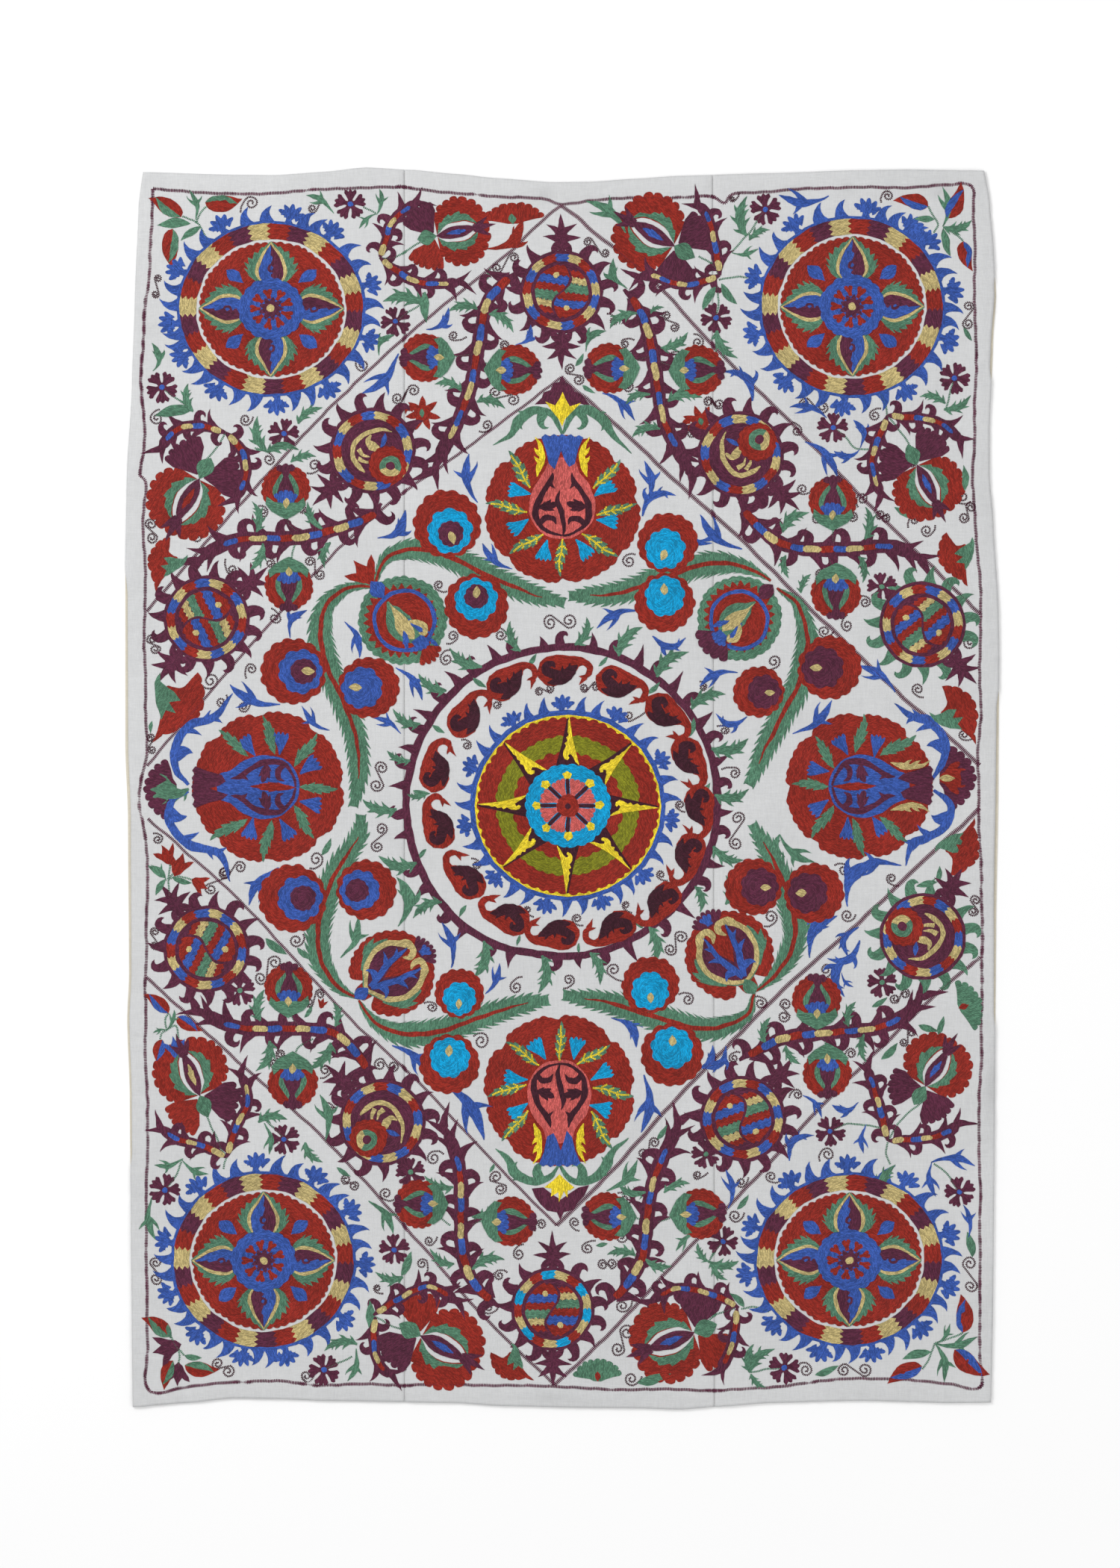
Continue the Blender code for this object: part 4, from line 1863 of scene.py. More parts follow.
# Body centres of the paisleys: distance and direction from the middle of their ring
PAISLEYS = (
    (185, 167.5), (181, 141.5), (183, 119), (180, 95.8), (175, 69.9), (178, 45.5), (172, 23), (175, 0.8),
    (174, -20.8), (181, -44.4), (177, -67.6), (175, -93.2), (172, -116), (171, -141.7), (178, -168.4),
)

# The tip of each thorn of the vine, then the top of the curl beside it
VINE_PAIRS: tuple[VineRow, ...] = (
    (610, 894, 629, 895), (668, 864, 683, 869), (736, 856, 748, 858), (805, 856, 821, 868),
    (871, 876, 881, 889), (921, 914, 926, 932), (956, 968, 954, 984), (974, 1025, 966, 1046),
    (974, 1097, 966, 1110), (960, 1170, 943, 1179), (918, 1235, 893, 1239), (840, 1287, 812, 1278),
    (765, 1292, 749, 1287), (670, 1286, 660, 1271), (607, 1246, 602, 1228), (551, 1189, 554, 1170),
    (532, 1110, 534, 1092), (528, 1040, 538, 1024), (544, 990, 554, 975), (566, 941, 584, 930),
)

FEATHERS = (
    ((502, 782), (515, 751), (543, 737), (588, 740), (641, 765), (700, 791), (756, 808)),
    (
        (501, 786), (466, 788), (438, 810), (429, 845), (438, 891), (459, 937), (476, 986), (481, 1038),
        (473, 1080),
    ),
    ((1032, 778), (990, 757), (940, 757), (878, 778), (824, 795), (762, 799)),
    ((1040, 787), (1069, 811), (1081, 857), (1073, 907), (1048, 957), (1027, 998), (1003, 1052)),
    ((480, 1338), (448, 1317), (427, 1275), (431, 1216), (455, 1160), (480, 1121), (483, 1092)),
    ((480, 1340), (501, 1367), (536, 1384), (588, 1381), (641, 1363), (700, 1345), (735, 1339)),
    ((1011, 1328), (1044, 1299), (1065, 1253), (1057, 1204), (1032, 1146), (1007, 1104)),
    ((1011, 1330), (998, 1361), (949, 1378), (887, 1365), (824, 1345), (754, 1332)),
)

BRANCHES = (
    (
        (668, 1750), (650, 1735), (630, 1710), (620, 1680), (617, 1650), (618, 1610), (614, 1560),
        (604, 1530), (592, 1503),
    ),
    (
        (812, 1747), (835, 1725), (850, 1705), (862, 1675), (867, 1625), (873, 1590), (885, 1555),
        (900, 1525), (913, 1495),
    ),
    ((697, 362), (668, 385), (652, 407), (641, 460), (634, 502), (624, 537), (606, 579), (576, 636)),
    ((835, 388), (850, 405), (866, 440), (878, 498), (887, 557), (903, 594), (930, 640)),
    ((510, 674), (496, 692), (448, 709), (395, 721), (318, 723), (269, 747), (258, 755)),
    ((990, 672), (1003, 691), (1032, 720), (1073, 735), (1135, 735), (1197, 733), (1239, 753)),
    ((500, 1442), (473, 1405), (448, 1384), (395, 1377), (325, 1377), (281, 1361), (258, 1348)),
    ((990, 1420), (1007, 1411), (1052, 1390), (1115, 1382), (1168, 1378), (1210, 1361), (1240, 1330)),
)

# Corner branches are slimmer
SLIM_BRANCHES = (
    ((500, 1761), (530, 1742), (555, 1728), (580, 1724), (617, 1746)),
    ((502, 1764), (501, 1795), (505, 1820), (516, 1836), (529, 1842)),
    ((990, 1751), (950, 1732), (905, 1726), (866, 1746)),
    ((988, 1752), (982, 1790), (975, 1816), (961, 1838)),
    ((508, 345), (518, 320), (522, 304), (538, 284), (563, 270)),
    ((508, 345), (530, 362), (550, 375), (580, 380), (622, 379)),
    ((965, 370), (957, 328), (947, 290), (931, 270)), ((965, 370), (920, 382), (874, 370), (850, 372)),
    ((303, 580), (325, 605), (329, 640), (312, 672)), ((303, 580), (265, 570), (235, 577), (211, 604)),
    ((1189, 557), (1239, 561), (1268, 573), (1289, 593)),
    ((1189, 557), (1175, 590), (1168, 625), (1180, 668)),
    ((303, 1549), (315, 1514), (332, 1472), (322, 1433)),
    ((303, 1549), (273, 1535), (236, 1524), (212, 1508)),
    ((1189, 1527), (1177, 1481), (1164, 1440), (1160, 1425)),
    ((1189, 1527), (1239, 1525), (1268, 1516), (1288, 1502)),
)

# Each rosette: its middle, its radius, the direction of its stem, and its rings
ROSETTES = (
    (599, 702, 45, -70, TURQUOISE, PLUM, KHAKI), (638, 812, 43, 90, TURQUOISE, PLUM, KHAKI),
    (393, 899, 44, 0, BLUE, PLUM, KHAKI), (494, 921, 41, 180, BLUE, None, KHAKI),
    (894, 727, 40, -110, TURQUOISE, None, KHAKI), (890, 807, 40, 90, TURQUOISE, None, KHAKI),
    (1111, 894, 42, 180, PLUM, None, KHAKI), (1016, 927, 34, 0, PLUM, None, KHAKI),
    (392, 1203, 45, 0, BLUE, PLUM, None), (491, 1192, 40, 180, BLUE, PLUM, None),
    (615, 1330, 33, -90, TURQUOISE, None, KHAKI), (602, 1425, 40, 90, TURQUOISE, None, KHAKI),
    (1009, 1188, 38, 0, PLUM, None, KHAKI), (1090, 1196, 40, 180, PLUM, None, KHAKI),
    (871, 1319, 38, -90, TURQUOISE, None, KHAKI), (900, 1412, 42, 90, TURQUOISE, None, KHAKI),
)

# Each knot: its middle, its radius, the direction of its stem and its threads
KNOTS = (
    (539, 831, 60, 129, GREEN, RED, BLUE, KHAKI, BLUE, RED),
    (990, 828, 57, 45, GREEN, RED, BLUE, KHAKI, PLUM, PLUM, 42),
)

# The two pod discs: middle, radius, direction of the stem, and knob
POD_DISCS = ((525, 1303, 58, -146, BLUE), (977, 1279, 60, -57, GREEN))

# The fans over the crowns of the upper and lower pomegranate, each with its yellow flower
APEX_AREAS = (
    ((
        (753, 503), (757, 512), (765, 516), (770, 524), (779, 528), (784, 536), (792, 545), (775, 541),
        (765, 546), (753, 552), (741, 546), (733, 541), (716, 541), (726, 533), (728, 526), (737, 522),
        (741, 514), (749, 512),
    ), PLUM, 0),
    ((
        (753, 525), (757, 534), (762, 545), (778, 540), (766, 552), (757, 562), (753, 572), (749, 562),
        (740, 552), (731, 538), (744, 543), (749, 534),
    ), YELLOW, 1),
    ((
        (713, 1592), (728, 1590), (740, 1600), (751, 1606), (763, 1598), (775, 1590), (789, 1587),
        (783, 1600), (773, 1612), (768, 1620), (755, 1624), (751, 1634), (746, 1624), (733, 1621),
        (725, 1612), (717, 1603),
    ), PLUM, 0),
    ((
        (750, 1573), (757, 1580), (770, 1590), (764, 1594), (761, 1593), (760, 1603), (755, 1594),
        (748, 1610), (747, 1596), (738, 1602), (738, 1592), (729, 1590), (741, 1581),
    ), YELLOW, 1),
)

# Each banded disc: its middle, its radius, what fills it, a turn, and the directions of its crowns
BAND_DISCS = (
    (752, 391, 55, Inside.SPLIT, -8, (90, -90)), (499, 604, 57, Inside.SERPENT, 0, (-138,)),
    (277, 829, 57, Inside.SPLIT, -64, (-128, 40)), (277, 1271, 57, Inside.SPLIT, 64, (125,)),
    (512, 1503, 57, Inside.SERPENT, -90, (134,)), (740, 1753, 55, Inside.SPLIT, 0, (90, -90)),
    (995, 1498, 57, Inside.SPLIT, 20, (50,)), (1236, 1254, 57, Inside.SERPENT, -165, (60,)),
    (1235, 837, 57, Inside.SPLIT, 40, (-48,)), (992, 609, 57, Inside.SERPENT, 80, (-44,)),
)

# Each tulip: where its calyx is, where its far end is
TULIPS = (
    (590, 1612, 528, 1612), (655, 1636, 718, 1636), (842, 1630, 780, 1628), (908, 1626, 972, 1624),
    (598, 479, 536, 479), (660, 496, 724, 496), (846, 494, 782, 494), (906, 496, 970, 496),
    (383, 684, 383, 622), (387, 756, 387, 818), (1115, 700, 1115, 638), (1119, 765, 1119, 829),
    (387, 1352, 387, 1290), (392, 1420, 392, 1484), (1094, 1368, 1094, 1305), (1108, 1408, 1108, 1470),
)

# Each carnation: its junction, the tip of its bud, its left and right low fan, and its accent
CARNATIONS = (
    (563, 1788, 650, 1834, RED, PLUM, BLUE), (930, 1784, 838, 1818, RED, PLUM, BLUE),
    (584, 316, 664, 301, PLUM, RED, BLUE), (268, 640, 222, 724, PLUM, PLUM, RED),
    (903, 330, 820, 283, PLUM, PLUM, BLUE), (1228, 622, 1266, 700, PLUM, PLUM, BLUE),
    (268, 1468, 236, 1384, RED, PLUM, KHAKI), (1238, 1456, 1282, 1384, PLUM, PLUM, BLUE),
)

PLUM_FLOWERS = (
    (469, 274), (530, 431), (217, 519), (380, 581), (1025, 281), (959, 426), (1278, 507), (1115, 573),
    (381, 1526), (1112, 1515), (221, 1593), (528, 1673), (434, 1834), (968, 1662), (1050, 1832), (1285, 1596),
)

LeafRow = tuple[float, float, float, float, int]

# Small leaves: foot, tip, and 1 as drawn or -1 mirrored
GREEN_HOLLY: tuple[LeafRow, ...] = (
    (566, 408, 513, 404, -1), (258, 552, 253, 513, 1), (358, 606, 346, 558, 1), (358, 607, 400, 602, 1),
    (400, 568, 432, 546, 1), (390, 619, 424, 612, 1), (640, 414, 601, 417, -1), (655, 421, 687, 445, 1),
    (618, 524, 582, 514, -1), (638, 538, 677, 548, 1), (853, 420, 816, 440, -1), (871, 421, 889, 412, 1),
    (884, 466, 921, 446, -1), (870, 528, 838, 541, -1), (895, 538, 940, 533, 1), (884, 574, 846, 586, -1),
    (999, 316, 1000, 263, 1), (1003, 322, 1031, 308, 1), (960, 443, 988, 480, -1), (1264, 305, 1301, 296, -1),
    (1265, 540, 1232, 532, -1), (343, 712, 338, 672, -1), (352, 728, 334, 763, 1), (432, 708, 413, 672, 1),
    (443, 726, 434, 761, -1), (563, 970, 527, 950, 1), (549, 1018, 519, 1006, 1), (571, 1062, 545, 1064, 1),
    (697, 872, 684, 832, 1), (770, 865, 786, 826, -1), (645, 893, 603, 867, 1), (829, 879, 861, 839, 1),
    (879, 907, 922, 873, 1), (598, 925, 561, 902, 1), (926, 950, 972, 930, 1), (1047, 713, 1083, 687, 1),
    (1157, 722, 1160, 679, -1), (1052, 744, 1057, 774, -1), (1150, 746, 1155, 780, 1),
    (1073, 794, 1086, 768, 1), (953, 1003, 1002, 989, -1), (957, 1065, 1003, 1057, -1),
    (531, 1084, 486, 1070, 1), (559, 1155, 507, 1147, 1), (592, 1208, 553, 1230, -1),
    (349, 1368, 354, 1325, 1), (449, 1375, 447, 1342, -1), (362, 1393, 343, 1435, 1),
    (443, 1396, 412, 1431, 1), (648, 1260, 634, 1310, 1), (726, 1279, 721, 1330, 1),
    (790, 1276, 803, 1318, 1), (868, 1242, 876, 1290, 1), (930, 1187, 938, 1222, 1),
    (955, 1134, 996, 1152, -1), (972, 1211, 972, 1173, -1), (1137, 1374, 1146, 1341, 1),
    (1024, 1398, 1032, 1362, 1), (1053, 1400, 1073, 1425, -1), (1158, 1386, 1160, 1422, -1),
    (345, 1503, 385, 1499, 1), (408, 1530, 432, 1556, -1), (540, 1710, 503, 1704, 1),
    (478, 1800, 435, 1809, -1), (607, 1590, 568, 1574, 1), (632, 1630, 666, 1610, -1),
    (632, 1700, 676, 1687, 1), (609, 1692, 576, 1673, 1), (864, 1596, 828, 1586, 1),
    (890, 1598, 924, 1585, 1), (851, 1682, 813, 1680, -1), (864, 1686, 900, 1694, -1),
    (950, 1690, 935, 1664, 1), (951, 1690, 989, 1688, -1), (953, 1690, 974, 1713, -1),
    (1003, 1838, 1037, 1806, 1), (1005, 1840, 1025, 1857, -1), (1003, 1836, 1010, 1800, 1),
    (1180, 1600, 1200, 1560, 1), (1264, 548, 1300, 530, -1),
)
GREEN_FORKS: tuple[LeafRow, ...] = (
    (262, 296, 254, 254, 1), (447, 286, 410, 262, 1), (505, 288, 508, 254, 1), (505, 287, 481, 306, 1),
    (838, 313, 785, 270, 1), (980, 339, 1015, 334, 1), (1263, 304, 1262, 252, 1), (224, 1180, 203, 1158, 1),
    (457, 1282, 480, 1226, 1), (1044, 1117, 1090, 1155, 1), (246, 1552, 206, 1560, -1),
    (244, 1553, 279, 1572, 1), (204, 1604, 208, 1660, 1), (494, 1608, 527, 1652, -1),
    (436, 1527, 428, 1466, 1), (354, 1504, 360, 1546, -1), (934, 1652, 905, 1676, 1),
    (812, 1595, 854, 1553, 1), (476, 1806, 466, 1850, -1), (1252, 1798, 1264, 1850, -1),
    (1252, 1798, 1309, 1790, 1), (1254, 1798, 1272, 1772, 1), (224, 1380, 205, 1384, 1),
    (224, 1380, 233, 1352, 1),
)
GREEN_TAILS: tuple[LeafRow, ...] = (
    (508, 476, 527, 449, 1), (205, 498, 203, 460, -1), (840, 387, 822, 346, 1), (785, 472, 811, 443, 1),
    (533, 1241, 531, 1175, -1), (1051, 1148, 1044, 1117, 1),
)
GREEN_PLAIN: tuple[LeafRow, ...] = (
    (255, 300, 210, 295, 1), (268, 304, 240, 318, 1), (570, 390, 563, 432, 1), (258, 548, 206, 549, 1),
    (650, 376, 659, 361, 1), (770, 491, 784, 476, 1), (780, 516, 795, 530, 1), (966, 380, 982, 412, 1),
    (958, 384, 936, 412, 1), (1252, 294, 1224, 289, 1), (1264, 307, 1266, 344, 1), (1291, 438, 1299, 458, 1),
    (1291, 657, 1297, 624, 1), (1219, 694, 1199, 676, 1), (431, 1145, 447, 1126, 1),
    (355, 1256, 381, 1284, 1), (399, 1270, 413, 1288, 1), (222, 1176, 202, 1155, 1),
    (223, 1177, 204, 1197, 1), (231, 1176, 255, 1187, 1), (408, 1362, 421, 1348, 1), (634, 907, 648, 924, 1),
    (578, 971, 594, 985, 1), (707, 892, 722, 878, 1), (801, 892, 816, 881, 1), (868, 930, 886, 916, 1),
    (923, 986, 934, 962, 1), (939, 1066, 954, 1050, 1), (205, 966, 199, 981, 1), (1255, 1182, 1225, 1182, 1),
    (1255, 1182, 1262, 1160, 1), (1167, 1348, 1190, 1339, 1), (1180, 1419, 1206, 1400, 1),
    (1229, 1372, 1256, 1386, 1), (1256, 1386, 1268, 1362, 1), (451, 1564, 469, 1578, 1),
    (537, 1709, 557, 1679, 1), (495, 1779, 501, 1741, 1), (880, 1526, 897, 1508, 1),
    (655, 1570, 664, 1560, 1), (798, 1668, 815, 1668, 1), (848, 1777, 869, 1753, 1),
    (852, 1851, 900, 1847, 1), (987, 1620, 1006, 1603, 1), (997, 1750, 981, 1728, 1),
    (1091, 1841, 1124, 1834, 1), (1302, 1684, 1300, 1647, 1), (1247, 1810, 1207, 1812, 1),
    (246, 1815, 270, 1822, 1), (228, 1792, 226, 1770, 1), (553, 1060, 575, 1066, 1),
    (696, 1252, 690, 1266, 1), (776, 1262, 772, 1276, 1), (850, 1230, 858, 1246, 1),
    (570, 1137, 556, 1150, 1), (625, 1212, 612, 1226, 1),
)
BLUE_FORKS: tuple[LeafRow, ...] = (
    (533, 473, 486, 528, -1), (806, 527, 850, 564, -1), (640, 673, 628, 608, -1), (868, 673, 862, 618, 1),
    (1107, 560, 1057, 545, 1), (1110, 263, 1043, 262, -1), (1077, 591, 1122, 640, -1),
    (462, 832, 482, 881, -1), (375, 943, 307, 916, -1), (442, 978, 405, 946, -1), (537, 983, 499, 962, 1),
    (530, 894, 566, 938, -1), (686, 762, 645, 727, -1), (856, 818, 800, 842, 1), (993, 736, 938, 690, -1),
    (987, 900, 936, 918, 1), (1062, 982, 1114, 938, 1), (1199, 928, 1148, 892, 1), (373, 1163, 333, 1212, 1),
    (525, 1400, 575, 1442, -1), (604, 1296, 592, 1236, 1), (650, 1331, 668, 1290, 1),
    (586, 1448, 648, 1526, -1), (862, 1440, 858, 1516, -1), (1075, 1466, 1101, 1497, -1),
    (1160, 1506, 1156, 1544, 1), (1247, 1556, 1305, 1561, -1), (1247, 1556, 1253, 1602, 1),
    (975, 1618, 972, 1566, 1), (1296, 1656, 1290, 1614, 1), (1126, 1302, 1142, 1322, 1),
    (1206, 1160, 1142, 1166, 1),
)
BLUE_TAILS: tuple[LeafRow, ...] = (
    (571, 441, 601, 413, -1), (690, 463, 711, 435, -1), (506, 721, 543, 684, -1), (388, 854, 411, 818, 1),
    (1085, 1282, 1121, 1227, 1), (818, 1363, 852, 1402, 1), (1134, 1214, 1176, 1154, 1),
    (1150, 1476, 1114, 1480, 1), (1152, 600, 1143, 563, -1), (1151, 602, 1117, 604, 1),
    (932, 1432, 954, 1400, -1),
)
BLUE_CRESCENTS: tuple[LeafRow, ...] = (
    (874, 852, 919, 854, -1), (1001, 960, 958, 955, 1), (1008, 538, 968, 498, -1), (860, 692, 905, 664, 1),
    (912, 690, 954, 727, -1), (1056, 1554, 1090, 1520, 1), (972, 1400, 938, 1430, 1), (556, 866, 590, 870, 1),
    (1149, 1241, 1137, 1284, -1), (1140, 1278, 1131, 1336, -1), (1151, 1260, 1107, 1284, 1),
)

CurlRow = tuple[float, float, float, float, float, int]

# Single coils: middle, radius, the end of the tail, and 1 anticlockwise or -1 clockwise
CURLS: tuple[CurlRow, ...] = (
    (337, 272, 9, 322, 285, 1), (418, 279, 6, 428, 270, 1), (485, 489, 8, 480, 476, -1),
    (210, 561, 9, 215, 548, -1), (329, 563, 8, 340, 558, 1), (360, 616, 8, 350, 604, 1),
    (421, 624, 9, 410, 634, -1), (608, 450, 7, 626, 452, 1), (652, 570, 7, 642, 578, -1),
    (822, 430, 6, 812, 420, 1), (837, 461, 6, 850, 455, -1), (934, 459, 8, 928, 448, 1),
    (903, 479, 7, 914, 474, -1), (841, 519, 7, 834, 508, 1), (926, 581, 6, 912, 568, 1),
    (1067, 577, 7, 1058, 566, 1), (1171, 557, 8, 1180, 548, -1), (1189, 262, 7, 1180, 272, 1),
    (980, 266, 4, 990, 258, 1), (264, 720, 8, 248, 716, 1), (353, 686, 7, 346, 678, 1),
    (405, 683, 6, 398, 676, 1), (362, 754, 6, 354, 746, 1), (311, 763, 7, 302, 748, -1),
    (368, 828, 8, 362, 814, 1), (283, 912, 10, 270, 918, -1), (337, 896, 7, 330, 908, 1),
    (297, 940, 7, 304, 930, 1), (326, 947, 7, 336, 936, 1), (842, 752, 9, 852, 744, -1),
    (588, 784, 7, 600, 792, 1), (670, 851, 8, 662, 840, 1), (842, 959, 7, 866, 952, 1),
    (626, 998, 6, 618, 990, 1), (665, 944, 6, 656, 936, 1), (1075, 655, 8, 1088, 656, 1),
    (1094, 695, 7, 1106, 688, -1), (1141, 693, 7, 1132, 686, 1), (1155, 668, 8, 1150, 680, 1),
    (1224, 697, 7, 1216, 708, 1), (1241, 711, 8, 1252, 704, 1), (1288, 667, 9, 1300, 672, 1),
    (1098, 769, 6, 1106, 764, -1), (1158, 807, 8, 1148, 800, 1), (1134, 838, 8, 1136, 824, -1),
    (1104, 846, 8, 1116, 846, 1), (1036, 886, 9, 1024, 898, -1), (1299, 861, 9, 1302, 848, -1),
    (1229, 923, 8, 1236, 934, 1), (1291, 985, 7, 1302, 990, 1), (970, 978, 6, 960, 972, 1),
    (984, 1036, 8, 966, 1030, 1), (211, 1124, 7, 204, 1116, 1), (424, 1151, 10, 414, 1162, -1),
    (397, 1260, 9, 406, 1250, 1), (436, 1434, 8, 428, 1444, -1), (443, 1486, 6, 436, 1476, 1),
    (638, 1158, 6, 630, 1150, 1), (691, 1321, 9, 700, 1308, -1), (762, 1313, 8, 754, 1324, -1),
    (822, 1298, 9, 834, 1314, 1), (921, 1339, 8, 908, 1332, 1), (645, 1394, 10, 634, 1388, 1),
    (578, 1349, 7, 568, 1344, 1), (885, 1172, 6, 894, 1180, 1), (838, 1212, 5, 846, 1222, 1),
    (773, 1231, 7, 782, 1240, 1), (707, 1219, 5, 716, 1228, 1), (911, 1078, 6, 918, 1088, 1),
    (1130, 1165, 8, 1118, 1160, 1), (1194, 1177, 7, 1204, 1186, 1), (1134, 1226, 8, 1146, 1224, 1),
    (1032, 1228, 9, 1022, 1240, -1), (1107, 1299, 8, 1098, 1312, -1), (1019, 1344, 8, 1010, 1336, 1),
    (1139, 1411, 7, 1130, 1422, 1), (982, 1417, 7, 992, 1410, -1), (1067, 1465, 7, 1056, 1470, 1),
    (516, 1598, 8, 528, 1606, 1), (506, 1725, 5, 514, 1732, 1), (565, 1692, 7, 572, 1704, -1),
    (411, 1843, 8, 422, 1836, 1), (575, 1662, 7, 586, 1656, 1), (581, 1551, 9, 594, 1546, -1),
    (725, 1640, 7, 716, 1650, 1), (769, 1637, 7, 776, 1648, 1), (695, 1679, 8, 702, 1666, -1),
    (669, 1707, 7, 680, 1704, -1), (654, 1752, 8, 668, 1748, 1), (787, 1672, 8, 798, 1662, -1),
    (832, 1657, 8, 824, 1648, 1), (838, 1606, 8, 828, 1598, 1), (833, 1749, 9, 846, 1742, 1),
    (845, 1846, 9, 860, 1842, 1), (1108, 1546, 9, 1098, 1556, 1), (1033, 1576, 8, 1044, 1582, 1),
    (993, 1583, 7, 1002, 1576, 1), (984, 1628, 8, 996, 1624, 1), (1079, 1834, 9, 1068, 1828, 1),
    (934, 1574, 6, 948, 1570, 1), (1222, 620, 5, 1228, 612, 1), (606, 852, 7, 598, 862, -1),
    (598, 883, 9, 604, 870, -1), (941, 920, 5, 936, 912, 1),
)

CurlPairRow = tuple[float, float, float, float, float, int]

# Coils joined in an S: two middles, their radius, and 1 or -1 for the way they wind
CURL_PAIRS: tuple[CurlPairRow, ...] = (
    (212, 374, 208, 395, 5, 1), (532, 533, 554, 523, 8, 1), (677, 462, 667, 477, 6, 1),
    (688, 346, 666, 360, 7, 1), (787, 324, 810, 339, 6, -1), (893, 423, 903, 438, 6, 1),
    (764, 495, 775, 509, 7, 1), (664, 526, 687, 536, 8, 1), (949, 538, 963, 541, 7, -1),
    (1078, 541, 1101, 546, 8, -1), (1297, 411, 1297, 434, 7, -1), (203, 703, 204, 720, 8, 1),
    (416, 753, 429, 769, 7, -1), (204, 856, 208, 870, 7, 1), (201, 988, 203, 1004, 6, -1),
    (511, 1029, 504, 1051, 9, 1), (737, 834, 762, 831, 10, -1), (722, 926, 737, 922, 6, -1),
    (782, 922, 798, 920, 6, 1), (283, 1190, 300, 1168, 8, -1), (300, 1168, 322, 1161, 8, 1),
    (511, 1110, 505, 1134, 8, -1), (368, 1289, 349, 1310, 9, 1), (208, 1248, 207, 1266, 6, 1),
    (429, 1331, 414, 1343, 6, 1), (376, 1412, 367, 1424, 6, 1), (509, 1425, 526, 1428, 8, -1),
    (912, 1255, 898, 1271, 9, 1), (988, 1096, 986, 1129, 9, -1), (1052, 1345, 1049, 1361, 8, 1),
    (1306, 1205, 1303, 1221, 7, 1), (1198, 1337, 1212, 1331, 7, 1), (1221, 1383, 1211, 1395, 6, 1),
    (464, 1579, 474, 1588, 7, 1), (209, 1691, 209, 1713, 8, 1), (292, 1826, 306, 1837, 8, 1),
    (664, 1576, 670, 1592, 8, 1), (807, 1693, 819, 1692, 7, -1), (862, 1544, 876, 1530, 7, 1),
    (840, 1784, 827, 1806, 10, 1), (1130, 1835, 1158, 1834, 9, -1), (1299, 1692, 1300, 1722, 9, 1),
    (1179, 690, 1186, 694, 6, 1), (1291, 693, 1300, 680, 7, 1),
)

# Fine green stems
GREEN_STEMS: tuple[tuple[Pair, ...], ...] = (
    ((244, 290), (262, 298), (270, 308), (278, 322)), ((262, 300), (272, 282), (286, 273)),
    ((486, 278), (504, 286)), ((507, 346), (530, 344), (562, 324)), ((530, 431), (548, 418), (566, 406)),
    ((217, 519), (234, 532), (256, 548)), ((303, 580), (290, 600), (274, 618)), ((358, 606), (374, 590)),
    ((340, 600), (358, 606)), ((603, 478), (634, 474)), ((672, 494), (650, 487)), ((853, 483), (872, 477)),
    ((906, 492), (884, 486)), ((1025, 281), (1004, 310), (980, 338)), ((963, 376), (985, 371), (1000, 372)),
    ((960, 384), (962, 404), (958, 426)), ((935, 343), (952, 352), (964, 370)),
    ((1264, 305), (1285, 318), (1293, 328)), ((1243, 277), (1256, 300), (1250, 312)),
    ((1278, 507), (1272, 526), (1266, 548)), ((1189, 557), (1206, 578), (1222, 602)),
    ((1115, 573), (1130, 584), (1146, 600), (1180, 602)), ((382, 683), (386, 700), (397, 712)),
    ((398, 727), (392, 740), (388, 758)), ((1115, 700), (1116, 728)), ((1111, 748), (1116, 768)),
    ((227, 1200), (227, 1178), (233, 1170)), ((228, 1155), (226, 1178)),
    ((227, 1178), (240, 1174), (258, 1179)), ((387, 1350), (392, 1362), (400, 1374)),
    ((393, 1420), (400, 1402), (420, 1392)), ((224, 1380), (222, 1366), (226, 1356)),
    ((224, 1380), (216, 1384), (214, 1392)), ((224, 1380), (236, 1374), (240, 1390)),
    ((275, 1490), (288, 1520), (301, 1546)), ((357, 1502), (370, 1512), (381, 1524)),
    ((502, 1764), (526, 1776), (552, 1781)), ((436, 1832), (456, 1824), (472, 1816)),
    ((228, 1788), (234, 1800), (246, 1815)), ((240, 1830), (240, 1812), (234, 1800)),
    ((603, 1641), (590, 1630)), ((652, 1632), (632, 1640)), ((844, 1630), (862, 1634)),
    ((904, 1628), (880, 1636)), ((985, 1752), (960, 1760), (946, 1772)),
    ((968, 1662), (956, 1676), (950, 1692)), ((1050, 1832), (1026, 1834), (1003, 1838)),
    ((1112, 1515), (1130, 1506), (1150, 1506), (1188, 1512)), ((1189, 1527), (1206, 1500), (1234, 1476)),
    ((1285, 1596), (1268, 1572), (1250, 1558)), ((1290, 1784), (1270, 1792), (1252, 1798)),
    ((1252, 1798), (1244, 1820), (1234, 1834)), ((1092, 1358), (1090, 1368), (1086, 1378)),
    ((1108, 1408), (1104, 1392), (1096, 1388)), ((221, 1593), (236, 1574), (244, 1556)),
    ((993, 1752), (1012, 1750), (1030, 1756)), ((303, 1549), (300, 1566)),
    ((1189, 557), (1184, 536), (1180, 528)), ((1189, 1529), (1187, 1548), (1192, 1560)),
)

